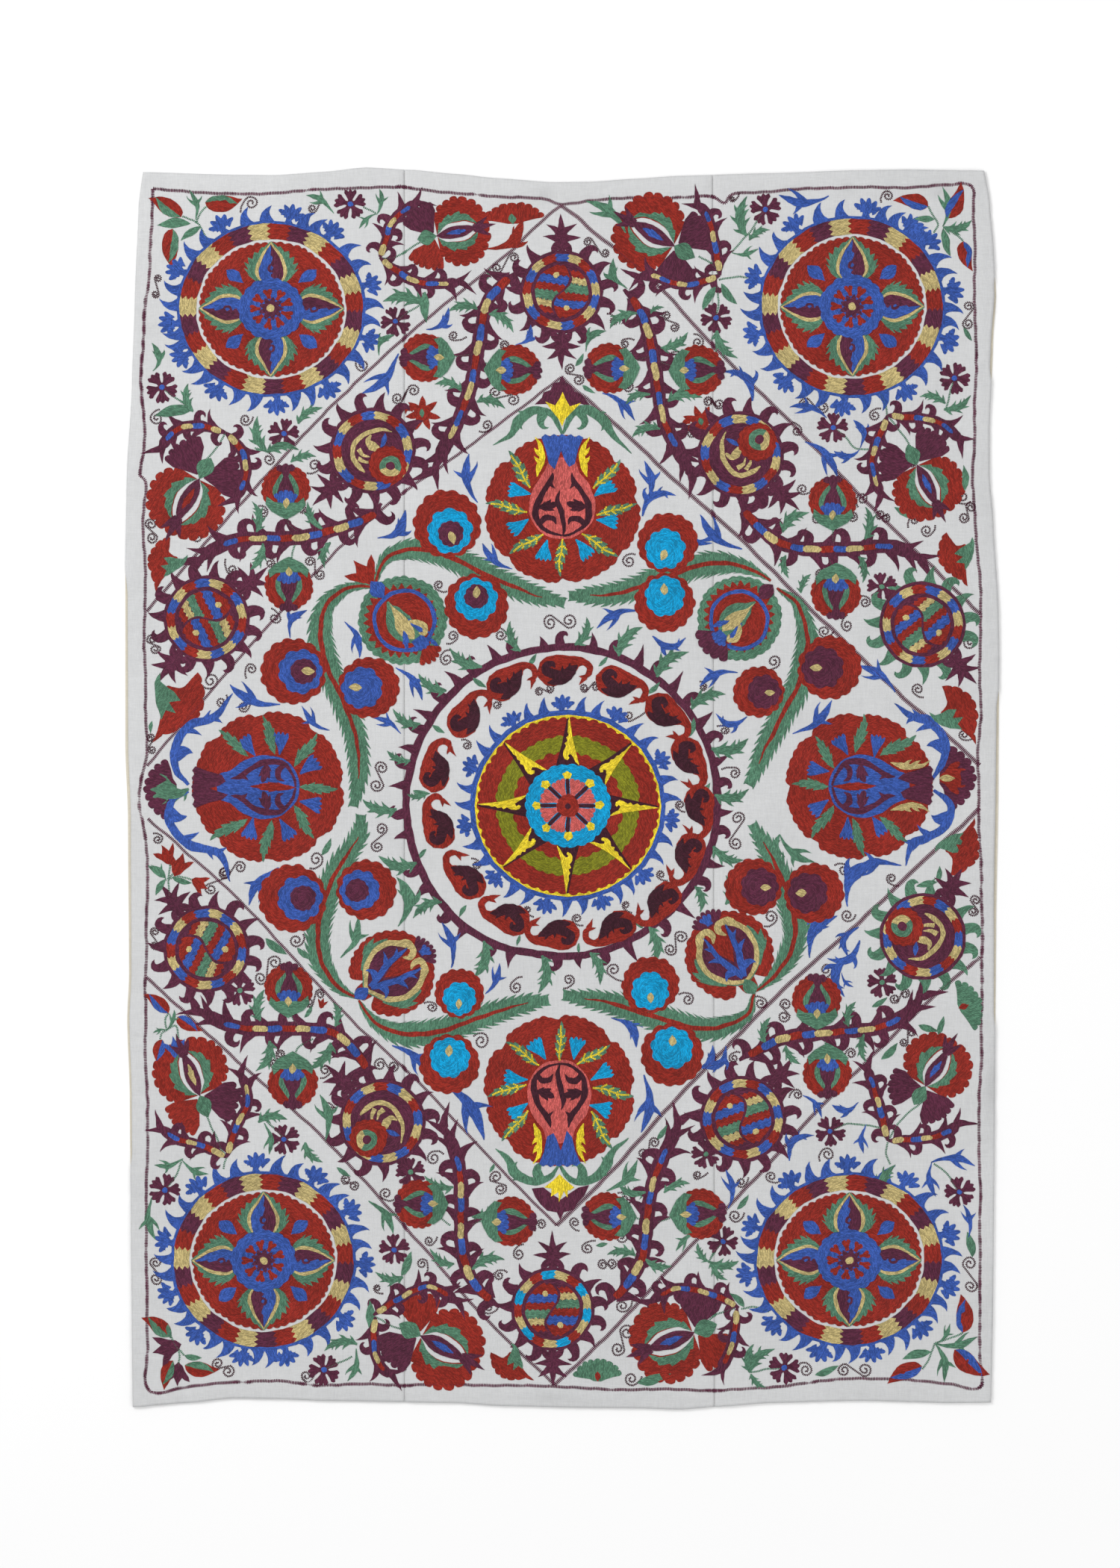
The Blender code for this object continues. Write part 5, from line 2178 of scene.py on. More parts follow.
# The border line and the two diamonds
FRAME_LINE: tuple[Pair, ...] = (
    (206, 254), (250, 256), (310, 260), (370, 258), (430, 254), (490, 251), (550, 252), (610, 259),
    (670, 263), (730, 267), (752, 273), (790, 269), (850, 265), (910, 265), (953, 263), (970, 272),
    (982, 259), (1030, 257), (1090, 252), (1150, 251), (1210, 251), (1270, 248), (1302, 250), (1304, 290),
    (1306, 350), (1305, 410), (1308, 470), (1306, 530), (1305, 590), (1303, 650), (1307, 710), (1312, 770),
    (1314, 830), (1312, 890), (1314, 950), (1310, 1010), (1311, 1070), (1312, 1130), (1315, 1190),
    (1315, 1310), (1314, 1430), (1311, 1490), (1313, 1610), (1312, 1790), (1313, 1857), (1270, 1853),
    (1210, 1848), (1150, 1846), (1090, 1851), (1030, 1858), (970, 1862), (910, 1861), (850, 1861),
    (790, 1860), (730, 1856), (670, 1856), (610, 1854), (550, 1855), (490, 1854), (430, 1855), (370, 1850),
    (310, 1851), (250, 1858), (199, 1861), (197, 1790), (196, 1610), (198, 1490), (195, 1430), (195, 1310),
    (197, 1190), (196, 1130), (186, 1070), (196, 1010), (195, 950), (194, 890), (193, 830), (195, 770),
    (191, 710), (195, 650), (187, 635), (194, 590), (190, 530), (191, 470), (195, 410), (201, 350),
    (203, 290), (206, 254),
)
DIAMOND_LINES: tuple[tuple[tuple[Pair, ...], float], ...] = (
    (((751, 274), (715, 306), (676, 344), (546, 449), (466, 523), (395, 596), (300, 700), (196, 819)), 4.2),
    (((751, 274), (800, 315), (870, 372), (960, 468), (1060, 568), (1160, 672), (1240, 752), (1313, 822)), 5),
    (((196, 1308), (260, 1368), (340, 1440), (440, 1530), (540, 1640), (640, 1754), (742, 1855)), 4.2),
    (
        (
            (1313, 1282), (1250, 1335), (1180, 1402), (1090, 1492), (1000, 1590), (900, 1695), (820, 1782),
            (742, 1855),
        ),
        5,
    ),
    (((752, 506), (690, 552), (600, 618), (520, 675), (430, 760), (340, 860), (270, 940), (197, 1026)), 3.8),
    (
        (
            (752, 506), (820, 565), (900, 640), (1000, 730), (1100, 830), (1200, 925), (1260, 978),
            (1313, 1025),
        ),
        5.4,
    ),
    (
        (
            (197, 1096), (260, 1150), (320, 1205), (400, 1290), (480, 1375), (560, 1448), (660, 1555),
            (746, 1641),
        ),
        3.8,
    ),
    (
        (
            (1313, 1083), (1240, 1150), (1150, 1235), (1050, 1325), (960, 1415), (880, 1500), (810, 1578),
            (746, 1641),
        ),
        5.6,
    ),
)

CORNER_BUDS = (
    (243, 291, 210, 256, GREEN), (275, 272, 323, 281, GREEN), (232, 307, 217, 355, GREEN),
    (1243, 277, 1202, 256, BLUE), (1268, 292, 1299, 255, BLUE), (1290, 323, 1290, 364, BLUE),
    (226, 1356, 202, 1325, BLUE), (238, 1362, 264, 1387, BLUE), (217, 1392, 204, 1422, BLUE),
    (228, 1790, 201, 1756, GREEN), (232, 1822, 210, 1854, GREEN), (248, 1828, 290, 1846, GREEN),
    (1290, 1784, 1300, 1736, BLUE), (1278, 1808, 1313, 1852, BLUE), (1234, 1830, 1185, 1838, BLUE),
)
BELLS = (
    (230, 1158, 216, 1132, RED, None), (234, 1174, 246, 1142, RED, None), (256, 1178, 280, 1190, RED, None),
    (430, 1350, 434, 1336, RED, None), (502, 786, 474, 750, RED, None), (238, 1418, 232, 1388, BLUE, None),
    (243, 1800, 204, 1812, PLUM, None), (240, 1824, 238, 1856, PLUM, None),
)
HALF_BLOSSOMS = (
    (209, 792, 229, 719, -1), (205, 994, 264, 900, 1), (1296, 786, 1268, 712, -1), (1307, 997, 1261, 919, 1),
    (1305, 1095, 1271, 1172, -1), (715, 1848, 657, 1811, -1),
)
RED_STARS = ((322, 1327), (550, 1570), (1181, 786), (1181, 1316), (945, 1545))


# The leafy scrolls at the crowns of the upper and lower pomegranate, then the twigs of the two at the sides
LEAFY_ROUTES = (
    ((753, 581), (740, 556), (718, 549), (698, 560), (684, 582), (661, 596)),
    ((754, 581), (766, 556), (784, 548), (808, 562), (820, 582), (846, 607)),
    ((748, 1562), (734, 1578), (712, 1582), (690, 1570), (680, 1552), (663, 1538)),
    ((750, 1562), (766, 1580), (790, 1580), (810, 1564), (820, 1542), (842, 1524)),
)
TWIG_ROUTES = (
    ((253, 1052), (236, 1030), (236, 998), (254, 972), (288, 960), (312, 928)),
    ((253, 1060), (230, 1072), (228, 1102), (252, 1130), (294, 1144), (308, 1180)),
    ((1248, 1042), (1264, 1018), (1264, 990), (1244, 966), (1222, 960), (1198, 942)),
    ((1250, 1058), (1272, 1078), (1266, 1106), (1240, 1122), (1222, 1130), (1212, 1160)),
)
LEAFY_THORNS = (
    Thorn(0.30, 1, 34, 14, 70, -160, 1.8),
    Thorn(0.52, -1, 13, 9, 55, 20),
    Thorn(0.66, 1, 12, 9, 55, -20),
)
TWIG_THORNS = (
    Thorn(0.32, -1, 26, 20, 60, -60, 1.6),
    Thorn(0.56, -1, 24, 12, 60, -20),
    Thorn(0.72, 1, 16, 10, 55, 20),
    Thorn(0.78, -1, 15, 10, 55, -20),
)


def great_blossoms() -> list[Motif]:
    """The medallions, the pomegranates and what rings the middle."""
    out: list[Motif] = []
    for x, y, size, squash, flowers in MEDALLIONS:
        out.append(CornerMedallion(Place.at(x, y, 0, size, squash), flowers))
    out.append(CentreMedallion(Place.at(760.5, 1079, 0, 1, 0.975)))
    ring = Place.at(762, 1077)
    out += [Paisley(ring.around(radius, angle)) for radius, angle in PAISLEYS]
    out += [
        VineRing(ring, (199, 203, 210, 216, 218, 216, 203, 197), VINE_PAIRS),
        Pomegranate(Place.at(753, 682, 0, 1.03, 0.95), SALMON_BULB),
        Pomegranate(Place.at(749, 1460, 180), SALMON_BULB),
        Pomegranate(Place.at(360, 1054, 90), BLUE_BULB),
        Pomegranate(Place.at(1150, 1053, -90, 0.97), BLUE_BULB_HOOKED),
    ]
    return out


def sprays(
    thread: Thread, halves: tuple[float, ...], routes: Sequence[tuple[Pair, ...]], thorns: tuple[Thorn, ...]
) -> list[Motif]:
    """Four sprays: the first and the last have the thorns as they are, the other two have them mirrored.

    Args:
        thread: their thread.
        halves: half their width along them.
        routes: where they run.
        thorns: what stands on them.

    Returns:
        The sprays.
    """
    other = tuple(replace(thorn, side=-thorn.side) for thorn in thorns)
    kinds = (thorns, other, other, thorns)
    return [ScrollSpray(WHOLE, route, thread, halves, kind) for route, kind in zip(routes, kinds)]


def scrolls() -> list[Motif]:
    """The leafy scrolls at the pomegranates' crowns, with the fans between them."""
    out = sprays(GREEN, (1.6, 3.8, 5, 6.6, 6.6, 3.6, 0.5), LEAFY_ROUTES, LEAFY_THORNS)
    out += sprays(BLUE, (2, 4.5, 5.5, 5.5, 6, 5, 0.5), TWIG_ROUTES, TWIG_THORNS)
    out += [Area(WHOLE, outline, thread, layer) for outline, thread, layer in APEX_AREAS]
    out += [PodDisc(Place.at(x, y, stem - 90), radius, knob) for x, y, radius, stem, knob in POD_DISCS]
    out += [
        SideFan(Place.at(236, 1057, 90, 1, 1.2), PLUM, GREEN, GREEN, 40),
        Leaf(Place.span(254, 1057, 204, 1056), LeafKind.HOLLY, GREEN),
        SideFan(Place.at(1258, 1042, -90, 1, 1.3), PLUM, RED, KHAKI, 42),
        SideFan(Place.at(687, 300, 4, 1, 0.75), RED, RED, GREEN, 42),
        Leaf(Place.span(652, 333, 700, 292, True), LeafKind.TAIL, RED),
        SideFan(Place.at(1284, 1350, -70, 0.88), GREEN, GREEN, RED, 40),
        SideFan(Place.at(800, 1850, 0, 0.8, 1.1), GREEN, GREEN, RED, 40),
    ]
    return out


def branches_and_blossoms() -> list[Motif]:
    """The feathers, branches, discs, rosettes, tulips and carnations."""
    out: list[Motif] = []
    out += [Feather(WHOLE, route) for route in FEATHERS]
    out += [Branch(WHOLE, route) for route in BRANCHES]
    out += [Branch(WHOLE, route, 8.5, (KHAKI, RED, BLUE), 13) for route in SLIM_BRANCHES]
    for x, y, radius, stem, inner, middle, dot in ROSETTES:
        out.append(Rosette(Place.at(x, y, stem - 90), radius, inner, middle, dot))
    for x, y, radius, stem, *threads in KNOTS:
        out.append(KnotDisc(Place.at(x, y, stem - 90), radius, *threads))
    for x, y, radius, inside, turn, crowns in BAND_DISCS:
        skin = GREEN if x > 1200 else PLUM
        block = TURQUOISE if y > 1700 else BLUE
        out.append(BandDisc(Place.at(x, y), radius, inside, crowns, 15, turn, skin, block))
    for x, y, to_x, to_y in TULIPS:
        out.append(Tulip(Place.span(x, y, to_x, to_y, False, 62)))
    for x, y, to_x, to_y, left_low, right_low, accent in CARNATIONS:
        out.append(Carnation(Place.span(x, y, to_x, to_y, False, 83), RED, left_low, right_low, accent))
    out += [HalfBlossom(Place.span(x, y, to_x, to_y, side < 0)) for x, y, to_x, to_y, side in HALF_BLOSSOMS]
    return out


def small_things() -> list[Motif]:
    """The small flowers, buds, leaves, stems and coils, and the drawn lines."""
    out: list[Motif] = [FivePetal(Place.at(x, y, 20 * number)) for number, (x, y) in enumerate(PLUM_FLOWERS)]
    out += [StarFlower(Place.at(566, 554)), StarFlower(Place.at(938, 565, 20))]
    for x, y in RED_STARS:
        out.append(FivePetal(Place.at(x, y, 10), 19, PLUM, GREEN))
    for x, y, to_x, to_y, thread in CORNER_BUDS:
        out.append(CornerBud(Place.span(x, y, to_x, to_y), thread))
    for x, y, to_x, to_y, thread, inner in BELLS:
        out.append(Bell(Place.span(x, y, to_x, to_y, False, 33), thread, inner))
    for rows, kind, thread in (
        (GREEN_HOLLY, LeafKind.HOLLY, GREEN),
        (GREEN_FORKS, LeafKind.FORK, GREEN),
        (GREEN_TAILS, LeafKind.TAIL, GREEN),
        (GREEN_PLAIN, LeafKind.PLAIN, GREEN),
        (BLUE_FORKS, LeafKind.FORK, BLUE),
        (BLUE_TAILS, LeafKind.TAIL, BLUE),
        (BLUE_CRESCENTS, LeafKind.SCROLL, BLUE),
    ):
        out += [Leaf(Place.span(x, y, to_x, to_y, side < 0), kind, thread) for x, y, to_x, to_y, side in rows]
    out += [Curl(WHOLE, (x, y), radius, (to_x, to_y), side) for x, y, radius, to_x, to_y, side in CURLS]
    out += [
        CurlPair(WHOLE, (x, y), (to_x, to_y), radius, side) for x, y, to_x, to_y, radius, side in CURL_PAIRS
    ]
    out += [Stem(WHOLE, route) for route in GREEN_STEMS]
    out.append(Stem(WHOLE, FRAME_LINE, PLUM, 5.6))
    out += [Stem(WHOLE, route, PLUM, width * 1.5) for route, width in DIAMOND_LINES]
    return out


def sew_everything() -> Embroidery:
    """Stitch the whole design.

    Returns:
        What is stitched.
    """
    work = Embroidery()
    for motif in great_blossoms() + scrolls() + branches_and_blossoms() + small_things():
        motif.sew(work)
    work.settle()
    return work


Table = tuple[Pair, ...]


@dataclass(frozen=True)
class Crease:
    """A crease across a margin: where it is, how much of the puff it takes away, and half its width."""

    along: float
    depth: float
    half_width: float


def creases(*rows: tuple[float, float, float]) -> tuple[Crease, ...]:
    """The creases that rows of numbers name."""
    return tuple(Crease(*row) for row in rows)


def smooth_step(share: Points) -> Points:
    """Ease from 0 to 1 as the share goes from 0 to 1."""
    share = np.clip(share, 0.0, 1.0)
    return share * share * (3.0 - 2.0 * share)


def follow(table: Table, along: Points) -> Points:
    """Read a table of places and values, with an eased step from each row to the next.

    Args:
        table: rows of a place and its value.
        along: the places to read at.

    Returns:
        The values.
    """
    keys, values = np.array(table).T
    along = np.clip(along, keys[0], keys[-1])
    row = np.clip(np.searchsorted(keys, along, side="right") - 1, 0, len(keys) - 2)
    share = (along - keys[row]) / (keys[row + 1] - keys[row])
    eased = 0.5 * share + 0.5 * smooth_step(share)
    return values[row] + (values[row + 1] - values[row]) * eased


# The outline of the whole cloth, in metres, as rows of a place and how far out the edge lies there
LEFT_EDGE: Table = (
    (-0.9936, -0.6900), (-0.8808, -0.6912), (-0.7008, -0.6930), (-0.4968, -0.6948), (-0.3768, -0.6990),
    (-0.3048, -0.6960), (-0.0528, -0.6978), (0.0552, -0.7020), (0.3432, -0.7020), (0.4872, -0.6996),
    (0.6312, -0.6912), (0.7752, -0.6864), (0.9192, -0.6804), (0.9888, -0.6720),
)
RIGHT_EDGE: Table = (
    (-0.9864, 0.6888), (-0.9528, 0.6900), (-0.8088, 0.6924), (-0.5208, 0.6948), (-0.2328, 0.6972),
    (-0.0168, 0.7008), (0.1992, 0.7020), (0.2712, 0.7008), (0.4152, 0.6924), (0.4872, 0.6864),
    (0.5592, 0.6864), (0.7032, 0.6924), (0.7752, 0.6972), (0.8472, 0.6930), (0.9192, 0.6870),
    (0.9912, 0.6756),
)
TOP_EDGE: Table = (
    (-0.6720, 0.9900), (-0.5316, 0.9858), (-0.4596, 0.9852), (-0.3876, 0.9900), (-0.3156, 0.9975),
    (-0.2436, 0.9936), (-0.1716, 0.9870), (-0.0996, 0.9798), (-0.0156, 0.9738), (0.0444, 0.9744),
    (0.1164, 0.9792), (0.1884, 0.9840), (0.3324, 0.9882), (0.4764, 0.9930), (0.5484, 0.9942),
    (0.6756, 0.9924),
)
BOTTOM_EDGE: Table = (
    (-0.6900, -0.9936), (-0.6036, -0.9870), (-0.5316, -0.9798), (-0.4596, -0.9804), (-0.3876, -0.9834),
    (-0.1716, -0.9870), (-0.0996, -0.9918), (0.0444, -0.9948), (0.1164, -0.9954), (0.1884, -0.9975),
    (0.2604, -0.9924), (0.3324, -0.9870), (0.4764, -0.9834), (0.6204, -0.9870), (0.6888, -0.9864),
)

# How far the lining reaches past the hem on each side, by height on the cloth
LEFT_LINING: Table = (
    (-0.640, -0.005), (-0.590, 0.003), (-0.300, 0.004), (0.0, 0.005), (0.300, 0.004), (0.380, -0.005)
)
RIGHT_LINING: Table = (
    (-0.430, -0.005), (-0.370, 0.003), (-0.100, 0.005), (0.120, 0.004), (0.175, -0.005), (0.610, -0.005),
    (0.660, 0.004), (0.790, 0.003), (0.830, -0.005),
)

# Creases across the margins, each a place, how much of the puff it takes away, and half its width
LEFT_CREASES = creases(
    (-0.907, 0.6, 0.006), (-0.779, 0.6, 0.005), (-0.739, 0.5, 0.005), (-0.661, 1.0, 0.008),
    (-0.605, 0.5, 0.005), (-0.553, 0.6, 0.005), (-0.491, 1.0, 0.008), (-0.401, 0.6, 0.005),
    (-0.323, 1.0, 0.008), (-0.241, 0.6, 0.005), (-0.209, 0.5, 0.005), (-0.151, 0.6, 0.005),
    (-0.085, 0.6, 0.005), (-0.005, 1.0, 0.008), (0.073, 0.6, 0.005), (0.179, 0.6, 0.006), (0.253, 0.6, 0.005),
    (0.311, 0.6, 0.005), (0.401, 0.6, 0.006), (0.469, 0.5, 0.005), (0.503, 1.0, 0.008), (0.690, 0.4, 0.012),
    (0.871, 0.4, 0.012),
)
RIGHT_CREASES = creases(
    (-0.941, 0.5, 0.005), (-0.905, 0.5, 0.005), (-0.833, 0.6, 0.006), (-0.773, 0.6, 0.005),
    (-0.691, 0.6, 0.006), (-0.569, 0.6, 0.005), (-0.509, 1.0, 0.008), (-0.317, 0.6, 0.005),
    (-0.277, 0.6, 0.005), (-0.157, 0.6, 0.006), (-0.083, 0.6, 0.005), (-0.031, 0.5, 0.005),
    (0.001, 1.0, 0.006), (0.073, 1.0, 0.008), (0.127, 0.6, 0.005), (0.181, 0.6, 0.005), (0.271, 0.5, 0.005),
    (0.307, 0.6, 0.005), (0.391, 0.6, 0.006), (0.479, 1.0, 0.008), (0.583, 0.6, 0.006), (0.715, 0.6, 0.006),
    (0.799, 0.5, 0.005), (0.829, 1.0, 0.007), (0.923, 0.6, 0.006),
)
TOP_CREASES = creases(
    (-0.522, 0.9, 0.007), (-0.409, 0.9, 0.007), (-0.254, 1.0, 0.006), (-0.137, 0.7, 0.005),
    (0.056, 0.4, 0.012), (0.194, 0.7, 0.007), (0.243, 1.0, 0.006), (0.398, 0.5, 0.009), (0.536, 0.5, 0.009),
)
BOTTOM_CREASES = creases(
    (-0.604, 0.5, 0.009), (-0.514, 0.9, 0.007), (-0.407, 0.9, 0.007), (-0.254, 1.0, 0.006),
    (-0.064, 0.5, 0.010), (0.080, 0.5, 0.010), (0.244, 1.0, 0.006), (0.398, 0.8, 0.006), (0.439, 0.8, 0.006),
    (0.572, 0.5, 0.009),
)


@dataclass(frozen=True)
class Ground:
    """The lie of the ground cloth: its hems, its seams, and how high its margins puff up."""

    puff: float = 0.0022
    reach: float = 0.048
    edge_rest: float = 0.35
    hem_thickening: float = 0.0006
    hem_width: float = 0.008
    left_seam: float = -0.2535
    right_seam: float = 0.2432
    right_lean: float = -0.0014

    def left(self, y: Points) -> Points:
        """Where the left hem lies at a height on the cloth."""
        return follow(LEFT_EDGE, y) + np.maximum(follow(LEFT_LINING, y), 0.0)

    def right(self, y: Points) -> Points:
        """Where the right hem lies at a height on the cloth."""
        return follow(RIGHT_EDGE, y) - np.maximum(follow(RIGHT_LINING, y), 0.0)

    def seam_left(self, y: Points) -> Points:
        """Where the left seam lies."""
        return self.left_seam + 0.0 * y

    def seam_right(self, y: Points) -> Points:
        """Where the right seam lies."""
        return self.right_seam + self.right_lean * y

    def margin(self, inward: Points, along: Points, creases: Sequence[Crease]) -> Points:
        """How high one margin puffs up.

        Args:
            inward: the distance in from its edge.
            along: the place along its edge.
            creases: the creases across it.

        Returns:
            The lift in metres.
        """
        fade = 1.0 - smooth_step(inward / self.reach)
        rise = self.edge_rest + (1.0 - self.edge_rest) * smooth_step(inward / (0.4 * self.reach))
        lift = self.puff * fade * rise
        for crease in creases:
            lift = lift * (1.0 - crease.depth * np.exp(-(((along - crease.along) / crease.half_width) ** 2)))
        return lift

    def edge_distances(self, x: Points, y: Points) -> tuple[Points, Points, Points, Points]:
        """The distances in from the left, right, top and bottom hems."""
        return x - self.left(y), self.right(y) - x, follow(TOP_EDGE, x) - y, y - follow(BOTTOM_EDGE, x)

    def lift(self, x: Points, y: Points) -> Points:
        """How high the cloth stands above its flat lie.

        Args:
            x: metres to the right of the middle.
            y: metres up from the middle.

        Returns:
            The lift in metres.
        """
        left, right, top, bottom = self.edge_distances(x, y)
        lifts = [
            self.margin(left, y, LEFT_CREASES),
            self.margin(right, y, RIGHT_CREASES),
            self.margin(top, x, TOP_CREASES),
            self.margin(bottom, x, BOTTOM_CREASES),
        ]
        return np.maximum.reduce(lifts)


def link_to_scene(shape: bmesh.types.BMesh, name: str) -> bpy.types.Object:
    """Turn a bmesh into an object of the scene, and free it.

    Args:
        shape: the bmesh.
        name: the object's name.

    Returns:
        The object.
    """
    mesh = bpy.data.meshes.new(name)
    shape.to_mesh(mesh)
    shape.free()
    piece = bpy.data.objects.new(name, mesh)
    bpy.context.scene.collection.objects.link(piece)
    return piece


def triangle_count(piece: bpy.types.Object) -> int:
    """How many triangles an object's mesh has."""
    return sum(len(face.vertices) - 2 for face in piece.data.polygons)


@dataclass
class ThreadPiece:
    """Makes what is stitched in one thread into one piece."""

    name: str
    ground: Ground
    patches: list[Patch]
    chains: list[Chain]

    def make(self) -> bpy.types.Object:
        """Make the piece.

        Returns:
            The object.
        """
        shape = bmesh.new()
        grain = shape.verts.layers.float_vector.new("grain")
        for patch in self.patches:
            self.add_patch(shape, grain, patch)
        rims = [edge for edge in shape.edges if edge.is_boundary]
        walls = bmesh.ops.extrude_edge_only(shape, edges=rims)
        low = [item for item in walls["geom"] if isinstance(item, bmesh.types.BMVert)]
        self.sink(low)
        tops = bmesh.ops.triangulate(shape, faces=[face for face in shape.faces if len(face.verts) > 4])[
            "faces"
        ]
        for face in tops:
            face.normal_update()
            if face.normal.z < 0.0:
                face.normal_flip()
        for chain in self.chains:
            self.add_chain(shape, grain, chain)
        return link_to_scene(shape, self.name)

    def sink(self, verts: Sequence[bmesh.types.BMVert]) -> None:
        """Bring the feet of the walls down into the cloth.

        Args:
            verts: the feet.
        """
        if not verts:
            return
        places = np.array([vert.co[:2] for vert in verts])
        heights = GROUND_TOP + self.ground.lift(places[:, 0], places[:, 1]) - THREAD_SINK
        for vert, height in zip(verts, heights):
            vert.co.z = height

    def add_patch(self, shape: bmesh.types.BMesh, grain: bmesh.types.BMLayerItem, patch: Patch) -> None:
        """Add the top face of one stitched area.

        Args:
            shape: takes the face.
            grain: the layer that holds the run of the stitches.
            patch: the area.
        """
        x, y = patch.outline[:, 0], patch.outline[:, 1]
        rise = THREAD_RISE + patch.layer * LAYER_RISE + patch.slot * SPREAD_STEP
        heights = GROUND_TOP + self.ground.lift(x, y) + rise
        run = Vector(patch.grain)
        verts = []
        for place, height in zip(patch.outline, heights):
            vert = shape.verts.new((place[0], place[1], height))
            vert[grain] = run
            verts.append(vert)
        shape.faces.new(verts)

    def add_chain(self, shape: bmesh.types.BMesh, grain: bmesh.types.BMLayerItem, chain: Chain) -> None:
        """Add the links of one row of chain stitches, each a low six-sided dome.

        Args:
            shape: takes the links.
            grain: the layer that holds the run of the stitches.
            chain: the row.
        """
        steps = np.linalg.norm(np.diff(chain.line, axis=0), axis=1)
        along = np.concatenate([[0.0], np.cumsum(steps)])
        count = max(int(along[-1] / (LINK_LENGTH * LINK_SHARE)), 1)
        middles = (np.arange(count) + 0.5) * along[-1] / count
        x = np.interp(middles, along, chain.line[:, 0])
        y = np.interp(middles, along, chain.line[:, 1])
        ahead = np.minimum(middles + LINK_AIM, along[-1])
        behind = np.maximum(middles - LINK_AIM, 0.0)
        way = np.arctan2(
            np.interp(ahead, along, chain.line[:, 1]) - np.interp(behind, along, chain.line[:, 1]),
            np.interp(ahead, along, chain.line[:, 0]) - np.interp(behind, along, chain.line[:, 0]),
        )
        lift = THREAD_RISE + chain.layer * LAYER_RISE if chain.layer else 0.0
        low = GROUND_TOP + self.ground.lift(x, y) - THREAD_SINK + lift
        for place_x, place_y, angle, base in zip(x, y, way, low):
            cos, sin = math.cos(angle), math.sin(angle)
            run = Vector((angle, 0.0, 0.0))
            top = shape.verts.new((place_x, place_y, base + LINK_RISE))
            top[grain] = run
            rim = []
            for ahead_share, side_share in LINK_CORNERS:
                off_x = LINK_LENGTH * ahead_share
                off_y = chain.width * side_share
                vert = shape.verts.new(
                    (place_x + off_x * cos - off_y * sin, place_y + off_x * sin + off_y * cos, base)
                )
                vert[grain] = run
                rim.append(vert)
            for first, second in zip(rim, rim[1:] + rim[:1]):
                shape.faces.new((first, second, top))


@dataclass
class Nodes:
    """Adds shader nodes to one material."""

    material: bpy.types.Material

    def add(self, kind: str, **settings: object) -> bpy.types.Node:
        """Add a node.

        Args:
            kind: its type.
            settings: its properties.

        Returns:
            The node.
        """
        node = self.material.node_tree.nodes.new(kind)
        for name, value in settings.items():
            setattr(node, name, value)
        return node

    def join(self, source: object, target: bpy.types.NodeSocket) -> None:
        """Link a socket to another, or set it to a number.

        Args:
            source: a socket or a value.
            target: the input.
        """
        if isinstance(source, bpy.types.NodeSocket):
            self.material.node_tree.links.new(source, target)
        else:
            target.default_value = source

    def math(
        self, operation: str, first: object, second: object = 0.0, third: object = 0.0
    ) -> bpy.types.NodeSocket:
        """Work out one number.

        Args:
            operation: the Math node's operation.
            first: its first input.
            second: its second input.
            third: its third input.

        Returns:
            The result's socket.
        """
        node = self.add("ShaderNodeMath", operation=operation)
        for value, target in zip((first, second, third), node.inputs):
            self.join(value, target)
        return node.outputs[0]

    def times(self, first: object, second: object) -> bpy.types.NodeSocket:
        """One number times another."""
        return self.math("MULTIPLY", first, second)

    def plus(self, first: object, second: object) -> bpy.types.NodeSocket:
        """One number plus another."""
        return self.math("ADD", first, second)

    def minus(self, first: object, second: object) -> bpy.types.NodeSocket:
        """One number minus another."""
        return self.math("SUBTRACT", first, second)

    def split(self, vector: object) -> bpy.types.bpy_prop_collection:
        """The three parts of a vector."""
        node = self.add("ShaderNodeSeparateXYZ")
        self.join(vector, node.inputs[0])
        return node.outputs

    def noise(
        self, vector: object, scale: float, detail: float = 2.0, roughness: float = 0.5
    ) -> bpy.types.NodeSocket:
        """Soft noise.

        Args:
            vector: where it is read.
            scale: its scale.
            detail: its octaves.
            roughness: how strong the fine ones are.

        Returns:
            The noise's socket.
        """
        node = self.add("ShaderNodeTexNoise")
        self.join(vector, node.inputs["Vector"])
        node.inputs["Scale"].default_value = scale
        node.inputs["Detail"].default_value = detail
        node.inputs["Roughness"].default_value = roughness
        return node.outputs["Fac"]

    def between(
        self, value: object, low: float, high: float, start: float, end: float
    ) -> bpy.types.NodeSocket:
        """Map one range of numbers to another.

        Args:
            value: the number.
            low: where the first range starts.
            high: where it ends.
            start: what low becomes.
            end: what high becomes.

        Returns:
            The result's socket.
        """
        node = self.add("ShaderNodeMapRange")
        for part, target in zip((value, low, high, start, end), node.inputs):
            self.join(part, target)
        return node.outputs[0]


